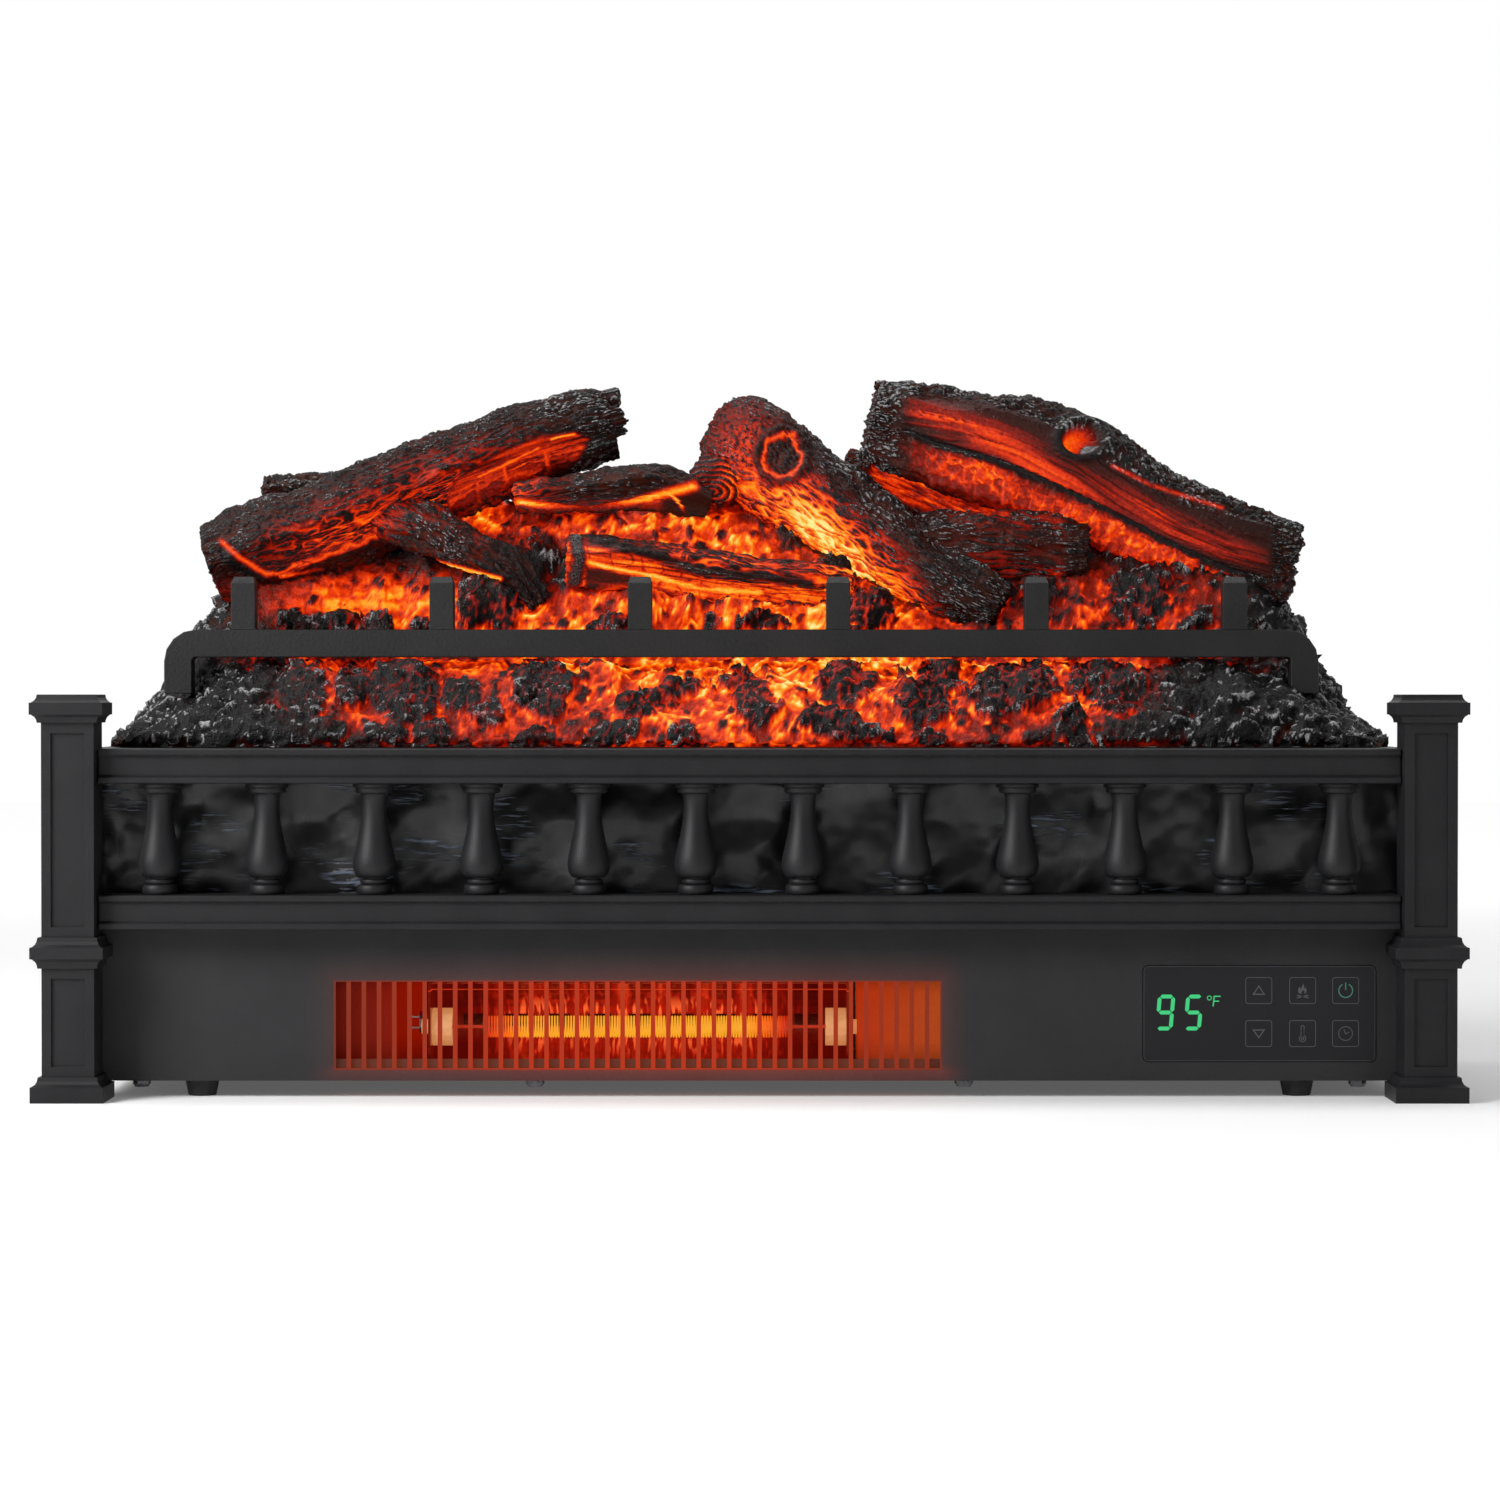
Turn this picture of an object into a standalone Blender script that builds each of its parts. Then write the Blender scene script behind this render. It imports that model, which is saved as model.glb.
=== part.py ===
"""Electric fireplace log set: a freestanding heater in a fence-fronted steel case.

The case carries a quartz heater behind a slotted outlet, a tangential blower, a touch control
with a display, and on its deck an ember bed, an iron grate and a pile of cast resin logs.
Metres, +Z up. The front faces -Y and the floor is Z = 0.
"""

import math

import bmesh
import bpy
from mathutils import Matrix, Vector, noise

# Overall size
WIDTH = 0.762
DEPTH = 0.250
REAR_REACH = 0.010
CASE_DEPTH = DEPTH - REAR_REACH
DECK_TOP = 0.1877

# What neighbours keep between them, how thick the sheet steel is, and how far a cutter overruns
CLEARANCE = 0.0003
SHEET = 0.0012
OVERRUN = 0.004

# Corner posts
POST_SHAFT = 0.028
POST_OVERHANG = 0.0055
POST_HEIGHT = 0.2165
CAP_COVE = 0.0043
CAP_SLAB = 0.0064
COLLAR_TOP = 0.0877
COLLAR_COVE = 0.0052
COLLAR_SLAB = 0.0061
BASE_SLAB = 0.0084
BASE_COVE = 0.0051
RECESS_WIDTH = 0.0177
RECESS_DEPTH = 0.0015
RECESS_END = 0.0055
# How a cove runs from the shaft to its slab: share of the overhang, share of the cove's height
COVE_SHARES = ((0.0, 0.0), (0.34, 0.0), (0.40, 0.40), (0.55, 0.72), (0.84, 1.0))

# Rails and balusters of the fence
RAIL_SETBACK = 0.014
RAIL_DEPTH = 0.027
RAIL_HEIGHT = 0.0187
RAIL_LIP = 0.0036
RAIL_BAND_RECESS = 0.0026
RAIL_EDGE = 0.0006
LOWER_RAIL_BOTTOM = 0.0910
BALUSTER_COUNT = 12
BALUSTER_END = 0.0315
BALUSTER_RADIUS = 0.0120
BALUSTER_SIDES = 10
# Turned outline of a baluster from the top down: share of its radius, share of its height
BALUSTER_SHARES = (
    (0.0, 1.0), (0.95, 1.0), (0.95, 0.92), (0.71, 0.90), (0.62, 0.70), (0.73, 0.50), (0.92, 0.36),
    (0.98, 0.26), (0.66, 0.13), (0.79, 0.10), (1.0, 0.08), (1.0, 0.0), (0.0, 0.0),
)

# Front panel with the slotted outlet and the window of the touch control
PANEL_SETBACK = 0.034
PANEL_END = 0.0250
PANEL_HALF_WIDTH = WIDTH / 2 - PANEL_END
PANEL_BOTTOM = 0.0090
PANEL_FLANGE = 0.0115
OUTLET_CENTRE = -0.060
OUTLET_SLOTS = 40
OUTLET_PITCH = 0.00818
OUTLET_SLOT = 0.0058
OUTLET_BOTTOM = 0.0156
OUTLET_HEIGHT = 0.0466
LENS_INSET = 0.0821
LENS_CENTRE = PANEL_HALF_WIDTH - LENS_INSET
LENS_BOTTOM = 0.0193
LENS_WIDTH = 0.1250
LENS_HEIGHT = 0.0516
LENS_THICKNESS = 0.0020
LENS_PROUD = 0.0004
LENS_CORNER = 0.0032

# Moulded rock sheet behind the balusters
ROCK_SETBACK = 0.0465
ROCK_RELIEF = 0.0038
ROCK_SHEET = 0.0022
ROCK_LUMP = 0.034
ROCK_COLUMNS = 34
ROCK_ROWS = 5

# Case, deck and base pan
DECK_SHEET = 0.0015
DECK_FRONT = 0.0415
WIRE_HOLE = 0.008
WIRE_HOLE_OFFSET = 0.225
PAN_FLANGE = 0.0100
PAN_FRONT = 0.0362
VENT_SLOTS = 20
VENT_PITCH = 0.0120
VENT_SLOT = 0.0045
VENT_HEIGHT = 0.048
VENT_BOTTOM = 0.066

# Feet and the screws that hold the pan to the front panel
FOOT_HEIGHT = 0.0087
FOOT_TOP_RADIUS = 0.0093
FOOT_BOTTOM_RADIUS = 0.0075
FOOT_STEM = 0.0024
FOOT_STEM_RISE = 0.0060
FRONT_FOOT_DEPTH = 0.0490
FRONT_FOOT_INSET = 0.0600
REAR_FOOT_MARGIN = 0.0200
REAR_FOOT_INSET = 0.0530
SCREW_DEPTH = 0.0408
# Where the screws stand: share of the panel's half width
SCREW_SHARES = (0.3244, 0.9205)
SCREW_HEAD_RADIUS = 0.0050
SCREW_HEAD = 0.0034
SCREW_SHANK = 0.0019
SCREW_LENGTH = 0.0080
HOLE_PLAY = 0.0003

# Quartz heater
REFLECTOR_LENGTH = 0.2280
REFLECTOR_FRONT = 0.0500
REFLECTOR_DEPTH = 0.0420
REFLECTOR_HEIGHT = 0.0470
REFLECTOR_CENTRE = 0.0372
REFLECTOR_SHEET = 0.0010
REFLECTOR_SLOTS = 9
REFLECTOR_SLOT = 0.0130
REFLECTOR_SLOT_HEIGHT = 0.0070
TUBE_DEPTH = 0.0625
TUBE_RADIUS = 0.0080
TUBE_WALL = 0.0011
CERAMIC_RADIUS = 0.01025
CERAMIC_LENGTH = 0.0110
CERAMIC_SOCKET = 0.0060
CERAMIC_PIN = 0.0040
CERAMIC_PIN_LENGTH = 0.0060
COIL_RADIUS = 0.0055
COIL_WIRE = 0.0008
COIL_TURNS = 14
COIL_LENGTH = 0.1630
COIL_TURN_POINTS = 8
CUTOUT_RADIUS = 0.0060
CUTOUT_LENGTH = 0.0060
CUTOUT_SETBACK_SHARE = 0.62
CUTOUT_TAB = 0.0030

# Tangential blower
BLOWER_DEPTH = 0.1500
BLOWER_HEIGHT = 0.0560
WHEEL_RADIUS = 0.0250
WHEEL_LENGTH = 0.2300
WHEEL_BLADES = 14
BLADE_CHORD = 0.0075
BLADE_SHEET = 0.0009
BLADE_SWEEP = math.radians(42)
WHEEL_DISC = 0.0016
WHEEL_DISCS = 3
SHAFT_RADIUS = 0.0030
SHAFT_STUB = 0.0100
RUNNING_GAP = 0.0032
SCROLL_GROWTH = 0.0110
SCROLL_SHEET = 0.0010
BLOWER_END_SHEET = 0.0015
BLOWER_END_MARGIN = 0.0050
BEARING_RADIUS = 0.0070
BEARING_LENGTH = 0.0060
MOTOR_STACK = 0.0440
MOTOR_STACK_LENGTH = 0.0160
MOTOR_BELL_RADIUS = 0.0170
MOTOR_BELL_LENGTH = 0.0110
MOTOR_COIL = 0.0230
MOTOR_COIL_REACH = 0.0120

# Air guide round the heater
GUIDE_SHEET = 0.0008
GUIDE_TOP = 0.0888
GUIDE_FOLD = 0.0075
GUIDE_NECK = 0.0049
GUIDE_SHOULDER = 0.0129
GUIDE_MARGIN = 0.0009

# Circuit boards
BOARD_SHEET = 0.0016
BOARD_MARGIN = 0.0040
TOUCH_SPRING_RADIUS = 0.0035
TOUCH_COLUMNS = 3
TOUCH_ROWS = 2
TOUCH_COLUMN_PITCH = 0.0232
TOUCH_ROW_PITCH = 0.0235
TOUCH_OFFSET = 0.0214
TOUCH_CENTRE = LENS_CENTRE + TOUCH_OFFSET
DISPLAY_WIDTH = 0.0400
DISPLAY_HEIGHT = 0.0250
DISPLAY_DEPTH = 0.0080
DISPLAY_OFFSET = 0.0389
DISPLAY_CENTRE = LENS_CENTRE - DISPLAY_OFFSET
POWER_BOARD_WIDTH = 0.1100
POWER_BOARD_DEPTH = 0.0800
POWER_BOARD_INSET = 0.0960
POWER_BOARD_CENTRE = PANEL_HALF_WIDTH - POWER_BOARD_INSET
POWER_BOARD_SETBACK = 0.0900
STANDOFF = 0.0080
STANDOFF_RADIUS = 0.0030
LED_BOARD_INSET = 0.0960
LED_BOARD_WIDTH = (PANEL_HALF_WIDTH - LED_BOARD_INSET) * 2
LED_BOARD_DEPTH = 0.0280
LED_BOARD_SETBACK = 0.1300
LED_COUNT = 14
LED_SIDE = 0.0050
LED_HEIGHT = 0.0016

# Main switch and cable gland on the back
SWITCH_INSET = 0.1060
SWITCH_OFFSET = PANEL_HALF_WIDTH - SWITCH_INSET
SWITCH_HEIGHT = 0.0480
SWITCH_BODY_WIDTH = 0.0130
SWITCH_BODY_HEIGHT = 0.0190
SWITCH_BODY_DEPTH = 0.0150
SWITCH_FLANGE = 0.0020
SWITCH_FLANGE_THICKNESS = 0.0018
SWITCH_WALL = 0.0012
ROCKER_TILT = math.radians(8)
ROCKER_WIDTH = 0.0100
ROCKER_RADIUS = 0.0078
ROCKER_PIN_RADIUS = 0.0012
ROCKER_PIN_REACH = 0.0008
ROCKER_RISE = 0.0032
# How far the rocker's shoulder and heel stand from its middle, and how deep its heel lies
ROCKER_SHOULDER_SHARE = 0.8
ROCKER_HEEL_SHARE = 0.3
ROCKER_HEEL_DEPTH_SHARE = 0.5
GLAND_INSET = 0.0560
GLAND_OFFSET = PANEL_HALF_WIDTH - GLAND_INSET
GLAND_HEIGHT = 0.0400
GLAND_RADIUS = 0.0080
GLAND_FLANGE_RADIUS = 0.0110
GLAND_FLANGE = 0.0030
GLAND_BORE = 0.0036
GLAND_TUBE_RADIUS = 0.0058

# Ember bed: a moulded shell that climbs behind the grate to carry the logs
BED_INSET = 0.0110
BED_WIDTH = (PANEL_HALF_WIDTH - BED_INSET) * 2
BED_FRONT = 0.0455
BED_REAR_MARGIN = 0.0095
BED_DEPTH = CASE_DEPTH - BED_FRONT - BED_REAR_MARGIN
BED_RIM = 0.0030
BED_END_SLOPE = 0.0700
BED_LUMP = 0.0280
BED_LUMP_RELIEF = 0.0170
BED_COLUMNS = 64
BED_ROWS = 14
BED_WALL = 0.0100
# How the bed climbs from front to back: share of its depth, share of the pile's height
BED_RISE_SHARES = (
    (0.0, 0.0), (0.03, 0.05), (0.10, 0.13), (0.19, 0.20), (0.26, 0.222), (0.32, 0.25), (0.38, 0.36),
    (0.46, 0.46), (0.56, 0.54), (0.72, 0.54), (0.84, 0.42), (0.94, 0.20), (1.0, 0.0),
)
# How far the bed's ends bulge, and its knolls: place across and back, half width, and rise, all as shares
BED_SHOULDER_SHARE = 0.25
BED_KNOLL_SHARES = ((-0.115, 0.62, 0.105, 0.165), (0.012, 0.62, 0.065, 0.09))
BED_KNOLL_DEPTH_SHARE = 0.20
# The hollow under the bed: share of its depth, share of the pile's height
BED_HOLLOW_SHARES = ((0.05, -0.02), (0.22, 0.12), (0.34, 0.14), (0.40, 0.24), (0.80, 0.24), (0.93, -0.02))

# Iron grate in front of the logs
GRATE_SETBACK = 0.0830
GRATE_BAR = 0.0140
GRATE_BAR_HEIGHT = 0.0152
GRATE_BAR_BOTTOM = 0.2370
GRATE_INSET = 0.0282
GRATE_LENGTH = BED_WIDTH - GRATE_INSET * 2
GRATE_OFFSET = -0.0045
GRATE_UPRIGHT_OFFSET = -0.0057
GRATE_CORNER = 0.0175
GRATE_LEG_DROP = 0.0200
GRATE_UPRIGHTS = 6
GRATE_UPRIGHT_END = 0.04455
GRATE_UPRIGHT_WIDTH = 0.0132
GRATE_UPRIGHT_RISE = 0.0290
GRATE_CHAMFER = 0.0035
GRATE_ARC_STEPS = 4

# Log pile: the box that the logs' places are shares of, and the thickness their radii are shares of
PILE_INSET = 0.0200
PILE_WIDTH = BED_WIDTH - PILE_INSET * 2
PILE_REAR_MARGIN = 0.0130
PILE_DEPTH = CASE_DEPTH - GRATE_SETBACK - GRATE_BAR - PILE_REAR_MARGIN
PILE_HEIGHT = 0.2050
LOG_RADIUS = 0.0270
LOG_SIDES = 14
BARK_RELIEF = 0.0018
BARK_RIDGE_SHARE = 0.4
BARK_LENGTH = 0.0300
END_RAGGEDNESS = 0.0045
END_DISH = 0.0040
SEAT_GROWTH = CLEARANCE * 2

# Spines of the logs from end to end: shares of the pile's width, depth and height, and of LOG_RADIUS
LOG_LEFT_SHARES = (
    (-0.463, 0.25, 0.49, 0.95), (-0.41, 0.25, 0.54, 1.01), (-0.36, 0.26, 0.594, 1.02),
    (-0.293, 0.30, 0.689, 0.94), (-0.20, 0.38, 0.807, 0.88), (-0.12, 0.44, 0.883, 0.82),
)
LOG_LEFT_LIMB_SHARES = (
    (-0.33, 0.26, 0.65, 0.50), (-0.274, 0.20, 0.587, 0.50), (-0.24, 0.18, 0.532, 0.45),
    (-0.201, 0.165, 0.467, 0.33), (-0.181, 0.155, 0.388, 0.22),
)
LOG_LEFT_STUB_SHARES = (
    (-0.421, 0.41, 0.692, 0.40), (-0.373, 0.40, 0.691, 0.44), (-0.31, 0.38, 0.707, 0.42),
)
LOG_CENTRE_SHARES = (
    (-0.026, 0.55, 0.874, 0.84), (-0.004, 0.51, 0.831, 1.0), (0.035, 0.45, 0.732, 1.0),
    (0.096, 0.36, 0.591, 0.87), (0.156, 0.27, 0.466, 0.74), (0.215, 0.20, 0.369, 0.60),
)
LOG_CENTRE_STUB_SHARES = (
    (-0.042, 0.34, 0.70, 0.42), (-0.030, 0.37, 0.73, 0.47), (-0.010, 0.44, 0.77, 0.50),
)
LOG_RIGHT_SHARES = (
    (0.106, 0.41, 0.895, 0.85), (0.192, 0.41, 0.826, 1.10), (0.277, 0.41, 0.759, 1.20),
    (0.351, 0.41, 0.626, 1.04), (0.413, 0.39, 0.537, 1.0), (0.471, 0.37, 0.504, 0.91),
)
LOG_SHORT_SHARES = ((0.139, 0.35, 0.55, 0.65), (0.208, 0.34, 0.547, 0.71), (0.29, 0.34, 0.528, 0.69))
LOG_BACK_SHARES = ((0.081, 0.54, 0.768, 0.46), (0.149, 0.54, 0.684, 0.55), (0.228, 0.54, 0.582, 0.55))
LOG_SPLIT_UPPER_SHARES = (
    (-0.202, 0.27, 0.671, 0.29), (-0.129, 0.26, 0.693, 0.46), (-0.077, 0.26, 0.698, 0.48),
    (-0.035, 0.27, 0.660, 0.35),
)
LOG_SPLIT_LOWER_SHARES = (
    (-0.156, 0.18, 0.50, 0.58), (-0.094, 0.175, 0.489, 0.50), (-0.017, 0.18, 0.456, 0.50),
    (0.086, 0.20, 0.418, 0.46),
)
# A split face: the angle that it looks along, up from straight ahead, and its share of the radius
LOG_LEFT_SPLIT = (math.radians(-52), 0.52)
LOG_RIGHT_SPLIT = (math.radians(-14), 0.58)
LOG_UPPER_SPLIT = (math.radians(-40), 0.45)
LOG_LOWER_SPLIT = (math.radians(-30), 0.50)
WHOLE_LOG = (0.0, 1.2)

# Knots: the place along a log's spine and the angle up from its front, then each ring's radius and its
# distance from the spine as shares of LOG_RADIUS
KNOT_SIDES = 12
EYE_PLACE = (1.65, math.radians(14))
EYE_BOSS_SHARES = ((0.56, 0.60), (0.54, 1.00), (0.45, 1.06))
EYE_DISH_SHARES = ((0.34, 0.97), (0.41, 1.16))
HOLLOW_PLACE = (2.0, math.radians(27))
HOLLOW_BOSS_SHARES = ((0.62, 0.50), (0.58, 0.90), (0.47, 1.08))
HOLLOW_PIT_SHARES = ((0.24, 0.72), (0.38, 1.18))

# Colours as linear red, green, blue
CHARCOAL_PAINT = (0.040, 0.040, 0.043)
PANEL_PAINT = (0.030, 0.030, 0.032)
GLOSS_BLACK = (0.006, 0.006, 0.008)
GALVANISED = (0.36, 0.37, 0.38)
POLISHED = (0.78, 0.78, 0.80)
CERAMIC_WHITE = (0.78, 0.70, 0.60)
QUARTZ = (0.85, 0.55, 0.35)
COIL_METAL = (0.55, 0.28, 0.12)
RUBBER_BLACK = (0.012, 0.012, 0.012)
PLASTIC_BLACK = (0.015, 0.015, 0.016)
BOARD_GREEN = (0.02, 0.10, 0.05)
IRON_BLACK = (0.022, 0.021, 0.021)
CHAR_BLACK = (0.030, 0.024, 0.022)
BARK_BROWN = (0.085, 0.032, 0.016)
EMBER_ORANGE = (0.35, 0.060, 0.012)
STEEL = (0.42, 0.42, 0.43)


def clear_scene():
    for old in list(bpy.data.objects):
        bpy.data.objects.remove(old, do_unlink=True)


def new_collection(name):
    collection = bpy.data.collections.new(name)
    bpy.context.scene.collection.children.link(collection)
    return collection


clear_scene()
PARTS = new_collection("electric_fireplace_log_set")
CUTTERS = new_collection("cutters")


def behind_front(distance):
    """World Y of a plane that far behind the front faces of the posts' slabs."""
    return distance - DEPTH / 2


def material(name, colour, roughness, metallic):
    made = bpy.data.materials.get(name)
    if made is None:
        made = bpy.data.materials.new(name)
        made.use_nodes = True
        shader = made.node_tree.nodes["Principled BSDF"]
        shader.inputs["Base Color"].default_value = (*colour, 1.0)
        shader.inputs["Roughness"].default_value = roughness
        shader.inputs["Metallic"].default_value = metallic
        made.diffuse_color = (*colour, 1.0)
    return made


PAINTED = material("charcoal_paint", CHARCOAL_PAINT, 0.50, 0.0)
PANEL = material("panel_paint", PANEL_PAINT, 0.55, 0.0)
ROCK = material("gloss_black_rock", GLOSS_BLACK, 0.18, 0.0)
ZINC = material("galvanised_sheet", GALVANISED, 0.42, 1.0)
MIRROR_SHEET = material("polished_reflector", POLISHED, 0.15, 1.0)
CERAMIC = material("ceramic", CERAMIC_WHITE, 0.55, 0.0)
GLASS = material("quartz_glass", QUARTZ, 0.10, 0.0)
RESISTANCE = material("heating_alloy", COIL_METAL, 0.45, 1.0)
RUBBER = material("black_rubber", RUBBER_BLACK, 0.75, 0.0)
BLACK_PLASTIC = material("black_plastic", PLASTIC_BLACK, 0.40, 0.0)
BOARD = material("circuit_board", BOARD_GREEN, 0.45, 0.0)
IRON = material("cast_iron", IRON_BLACK, 0.60, 0.0)
CHAR = material("charred_resin", CHAR_BLACK, 0.70, 0.0)
BARK = material("bark_resin", BARK_BROWN, 0.70, 0.0)
EMBER = material("ember_resin", EMBER_ORANGE, 0.60, 0.0)
FASTENER = material("screw_steel", STEEL, 0.35, 1.0)


def place(name, mesh, finish, collection=None):
    """Put a mesh in the scene as a part, or as a cutter where that collection is given."""
    made = bpy.data.objects.new(name, mesh)
    (collection or PARTS).objects.link(made)
    if collection is CUTTERS:
        made.hide_render = True
        made.display_type = "WIRE"
    if finish is not None and not mesh.materials:
        mesh.materials.append(finish)
    return made


def from_bmesh(name, body, finish=None, collection=None):
    bmesh.ops.recalc_face_normals(body, faces=body.faces)
    mesh = bpy.data.meshes.new(name)
    body.to_mesh(mesh)
    body.free()
    return place(name, mesh, finish, collection)


def add_box(body, low, high):
    """Add a box between two opposite corners to a bmesh."""
    size = [high[axis] - low[axis] for axis in range(3)]
    middle = [(high[axis] + low[axis]) / 2 for axis in range(3)]
    matrix = Matrix.Translation(middle) @ Matrix.Diagonal((*size, 1.0))
    bmesh.ops.create_cube(body, size=1.0, matrix=matrix)


def box(name, low, high, finish=None, collection=None):
    body = bmesh.new()
    add_box(body, low, high)
    return from_bmesh(name, body, finish, collection)


def boxes(name, corners, finish=None, collection=None):
    body = bmesh.new()
    for low, high in corners:
        add_box(body, low, high)
    return from_bmesh(name, body, finish, collection)


def add_round(body, centre, axis, radius, length, sides, end_radius=None):
    """Add a cylinder or cone that starts at centre and runs along +axis (0, 1 or 2)."""
    turn = {
        0: Matrix.Rotation(math.radians(90), 4, "Y"),
        1: Matrix.Rotation(math.radians(-90), 4, "X"),
        2: Matrix.Identity(4),
    }[axis]
    middle = Vector(centre)
    middle[axis] += length / 2
    bmesh.ops.create_cone(
        body, cap_ends=True, cap_tris=False, segments=sides, radius1=radius,
        radius2=radius if end_radius is None else end_radius, depth=length,
        matrix=Matrix.Translation(middle) @ turn,
    )


def rounds(name, rods, finish=None, collection=None):
    body = bmesh.new()
    for rod in rods:
        add_round(body, *rod)
    return from_bmesh(name, body, finish, collection)


def prism(name, outline, start, end, finish=None, collection=None):
    """Extrude an outline of (y, z) points along X from start to end."""
    body = bmesh.new()
    near = [body.verts.new((start, y, z)) for y, z in outline]
    face = body.faces.new(near)
    grown = bmesh.ops.extrude_face_region(body, geom=[face])
    moved = [item for item in grown["geom"] if isinstance(item, bmesh.types.BMVert)]
    bmesh.ops.translate(body, verts=moved, vec=(end - start, 0.0, 0.0))
    return from_bmesh(name, body, finish, collection)


def loft(body, rings):
    """Skin a stack of rings with equal numbers of points, closed at both ends."""
    made = [[body.verts.new(point) for point in ring] for ring in rings]
    count = len(made[0])
    for lower, upper in zip(made, made[1:]):
        for index in range(count):
            after = (index + 1) % count
            body.faces.new((lower[index], lower[after], upper[after], upper[index]))
    body.faces.new(made[0])
    body.faces.new(made[-1])


def cut_by_all(target, tools):
    """Cut a part with every shape of a collection at once."""
    modifier = target.modifiers.new(tools.name, "BOOLEAN")
    modifier.operation = "DIFFERENCE"
    modifier.operand_type = "COLLECTION"
    modifier.collection = tools
    modifier.solver = "EXACT"


def combine(target, tool, operation="DIFFERENCE"):
    """Cut a part with, or join it to, another shape and leave the modifier on it."""
    modifier = target.modifiers.new(tool.name, "BOOLEAN")
    modifier.operation = operation
    modifier.object = tool
    modifier.solver = "EXACT"
    return target


def turned(name, outline, sides, finish, collection=None):
    """Turn an outline of (radius, height) points, from the top down, about Z."""
    mesh = bpy.data.meshes.new(name)
    closed = outline[0] == outline[-1]
    points = [(radius, 0.0, height) for radius, height in (outline[:-1] if closed else outline)]
    edges = [(at, at + 1) for at in range(len(points) - 1)]
    if closed:
        edges.append((len(points) - 1, 0))
    mesh.from_pydata(points, edges, [])
    made = place(name, mesh, finish, collection)
    add_screw(made, sides)
    return made


def add_screw(made, sides):
    screw = made.modifiers.new("turn", "SCREW")
    screw.steps = sides
    screw.render_steps = sides
    screw.use_merge_vertices = True
    screw.merge_threshold = 0.00002
    screw.use_smooth_shade = True


def smooth(made, angle=math.radians(40)):
    made.data.shade_smooth()
    made.data.set_sharp_from_angle(angle=angle)
    return made


# Corner posts: moulded square columns with a cap, a collar and a base
def post_rings(centre_x):
    half = POST_SHAFT / 2
    collar_low = COLLAR_TOP - COLLAR_COVE * 2 - COLLAR_SLAB
    cap_low = POST_HEIGHT - CAP_COVE * 2 - CAP_SLAB
    stations = [(0.0, 1.0), (BASE_SLAB, 1.0)]

    def cove(start, height, down):
        """Rings of one cove; down is True where the slab lies above it."""
        rings = [(start + (share_z if down else 1.0 - share_z) * height, share_out)
                 for share_out, share_z in COVE_SHARES]
        return rings if down else rings[::-1]

    stations += cove(BASE_SLAB, BASE_COVE, False)
    stations += cove(collar_low, COLLAR_COVE, True)
    stations += [(collar_low + COLLAR_COVE, 1.0), (collar_low + COLLAR_COVE + COLLAR_SLAB, 1.0)]
    stations += cove(COLLAR_TOP - COLLAR_COVE, COLLAR_COVE, False)
    stations += cove(cap_low, CAP_COVE, True)
    stations += [(cap_low + CAP_COVE, 1.0), (cap_low + CAP_COVE + CAP_SLAB, 1.0)]
    stations += cove(POST_HEIGHT - CAP_COVE, CAP_COVE, False)[:-1]
    rings = []
    for height, share in stations:
        out = POST_OVERHANG * share
        left, right = centre_x - half - out, centre_x + half + out
        front = behind_front(POST_OVERHANG - out)
        back = behind_front(POST_OVERHANG + POST_SHAFT + out)
        rings.append([
            (left, front, height), (right, front, height), (right, back, height), (left, back, height),
        ])
    return rings


def build_post(name, side):
    centre_x = side * (WIDTH / 2 - POST_OVERHANG - POST_SHAFT / 2)
    body = bmesh.new()
    loft(body, post_rings(centre_x))
    post = from_bmesh(name, body, PAINTED)
    reach = POST_SHAFT / 2 + POST_OVERHANG + OVERRUN
    combine(post, box(
        name + "_back_cut", (centre_x - reach, PANEL_FRONT - CLEARANCE, BASE_SLAB + CLEARANCE),
        (centre_x + reach, PANEL_FRONT + reach, POST_HEIGHT + OVERRUN), None, CUTTERS,
    ))
    lower = (BASE_SLAB + BASE_COVE, COLLAR_TOP - COLLAR_COVE * 2 - COLLAR_SLAB)
    upper = (COLLAR_TOP, POST_HEIGHT - CAP_COVE * 2 - CAP_SLAB)
    shaft_front = behind_front(POST_OVERHANG)
    shaft_middle = shaft_front + POST_SHAFT / 2
    outer = centre_x + side * POST_SHAFT / 2
    half = RECESS_WIDTH / 2
    recesses = []
    for low, high in (lower, upper):
        bottom, top = low + RECESS_END, high - RECESS_END
        recesses.append((
            (centre_x - half, shaft_front - OVERRUN, bottom),
            (centre_x + half, shaft_front + RECESS_DEPTH, top),
        ))
        outside = sorted((outer - side * RECESS_DEPTH, outer + side * OVERRUN))
        recesses.append(((outside[0], shaft_middle - half, bottom), (outside[1], shaft_middle + half, top)))
    combine(post, boxes(name + "_recesses", recesses, None, CUTTERS))
    return post


# Rails of the fence: a bar with a lip along both edges of its face
RAIL_HALF_LENGTH = WIDTH / 2 - POST_OVERHANG - POST_SHAFT - CLEARANCE
UPPER_RAIL_BOTTOM = DECK_TOP - RAIL_HEIGHT


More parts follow.
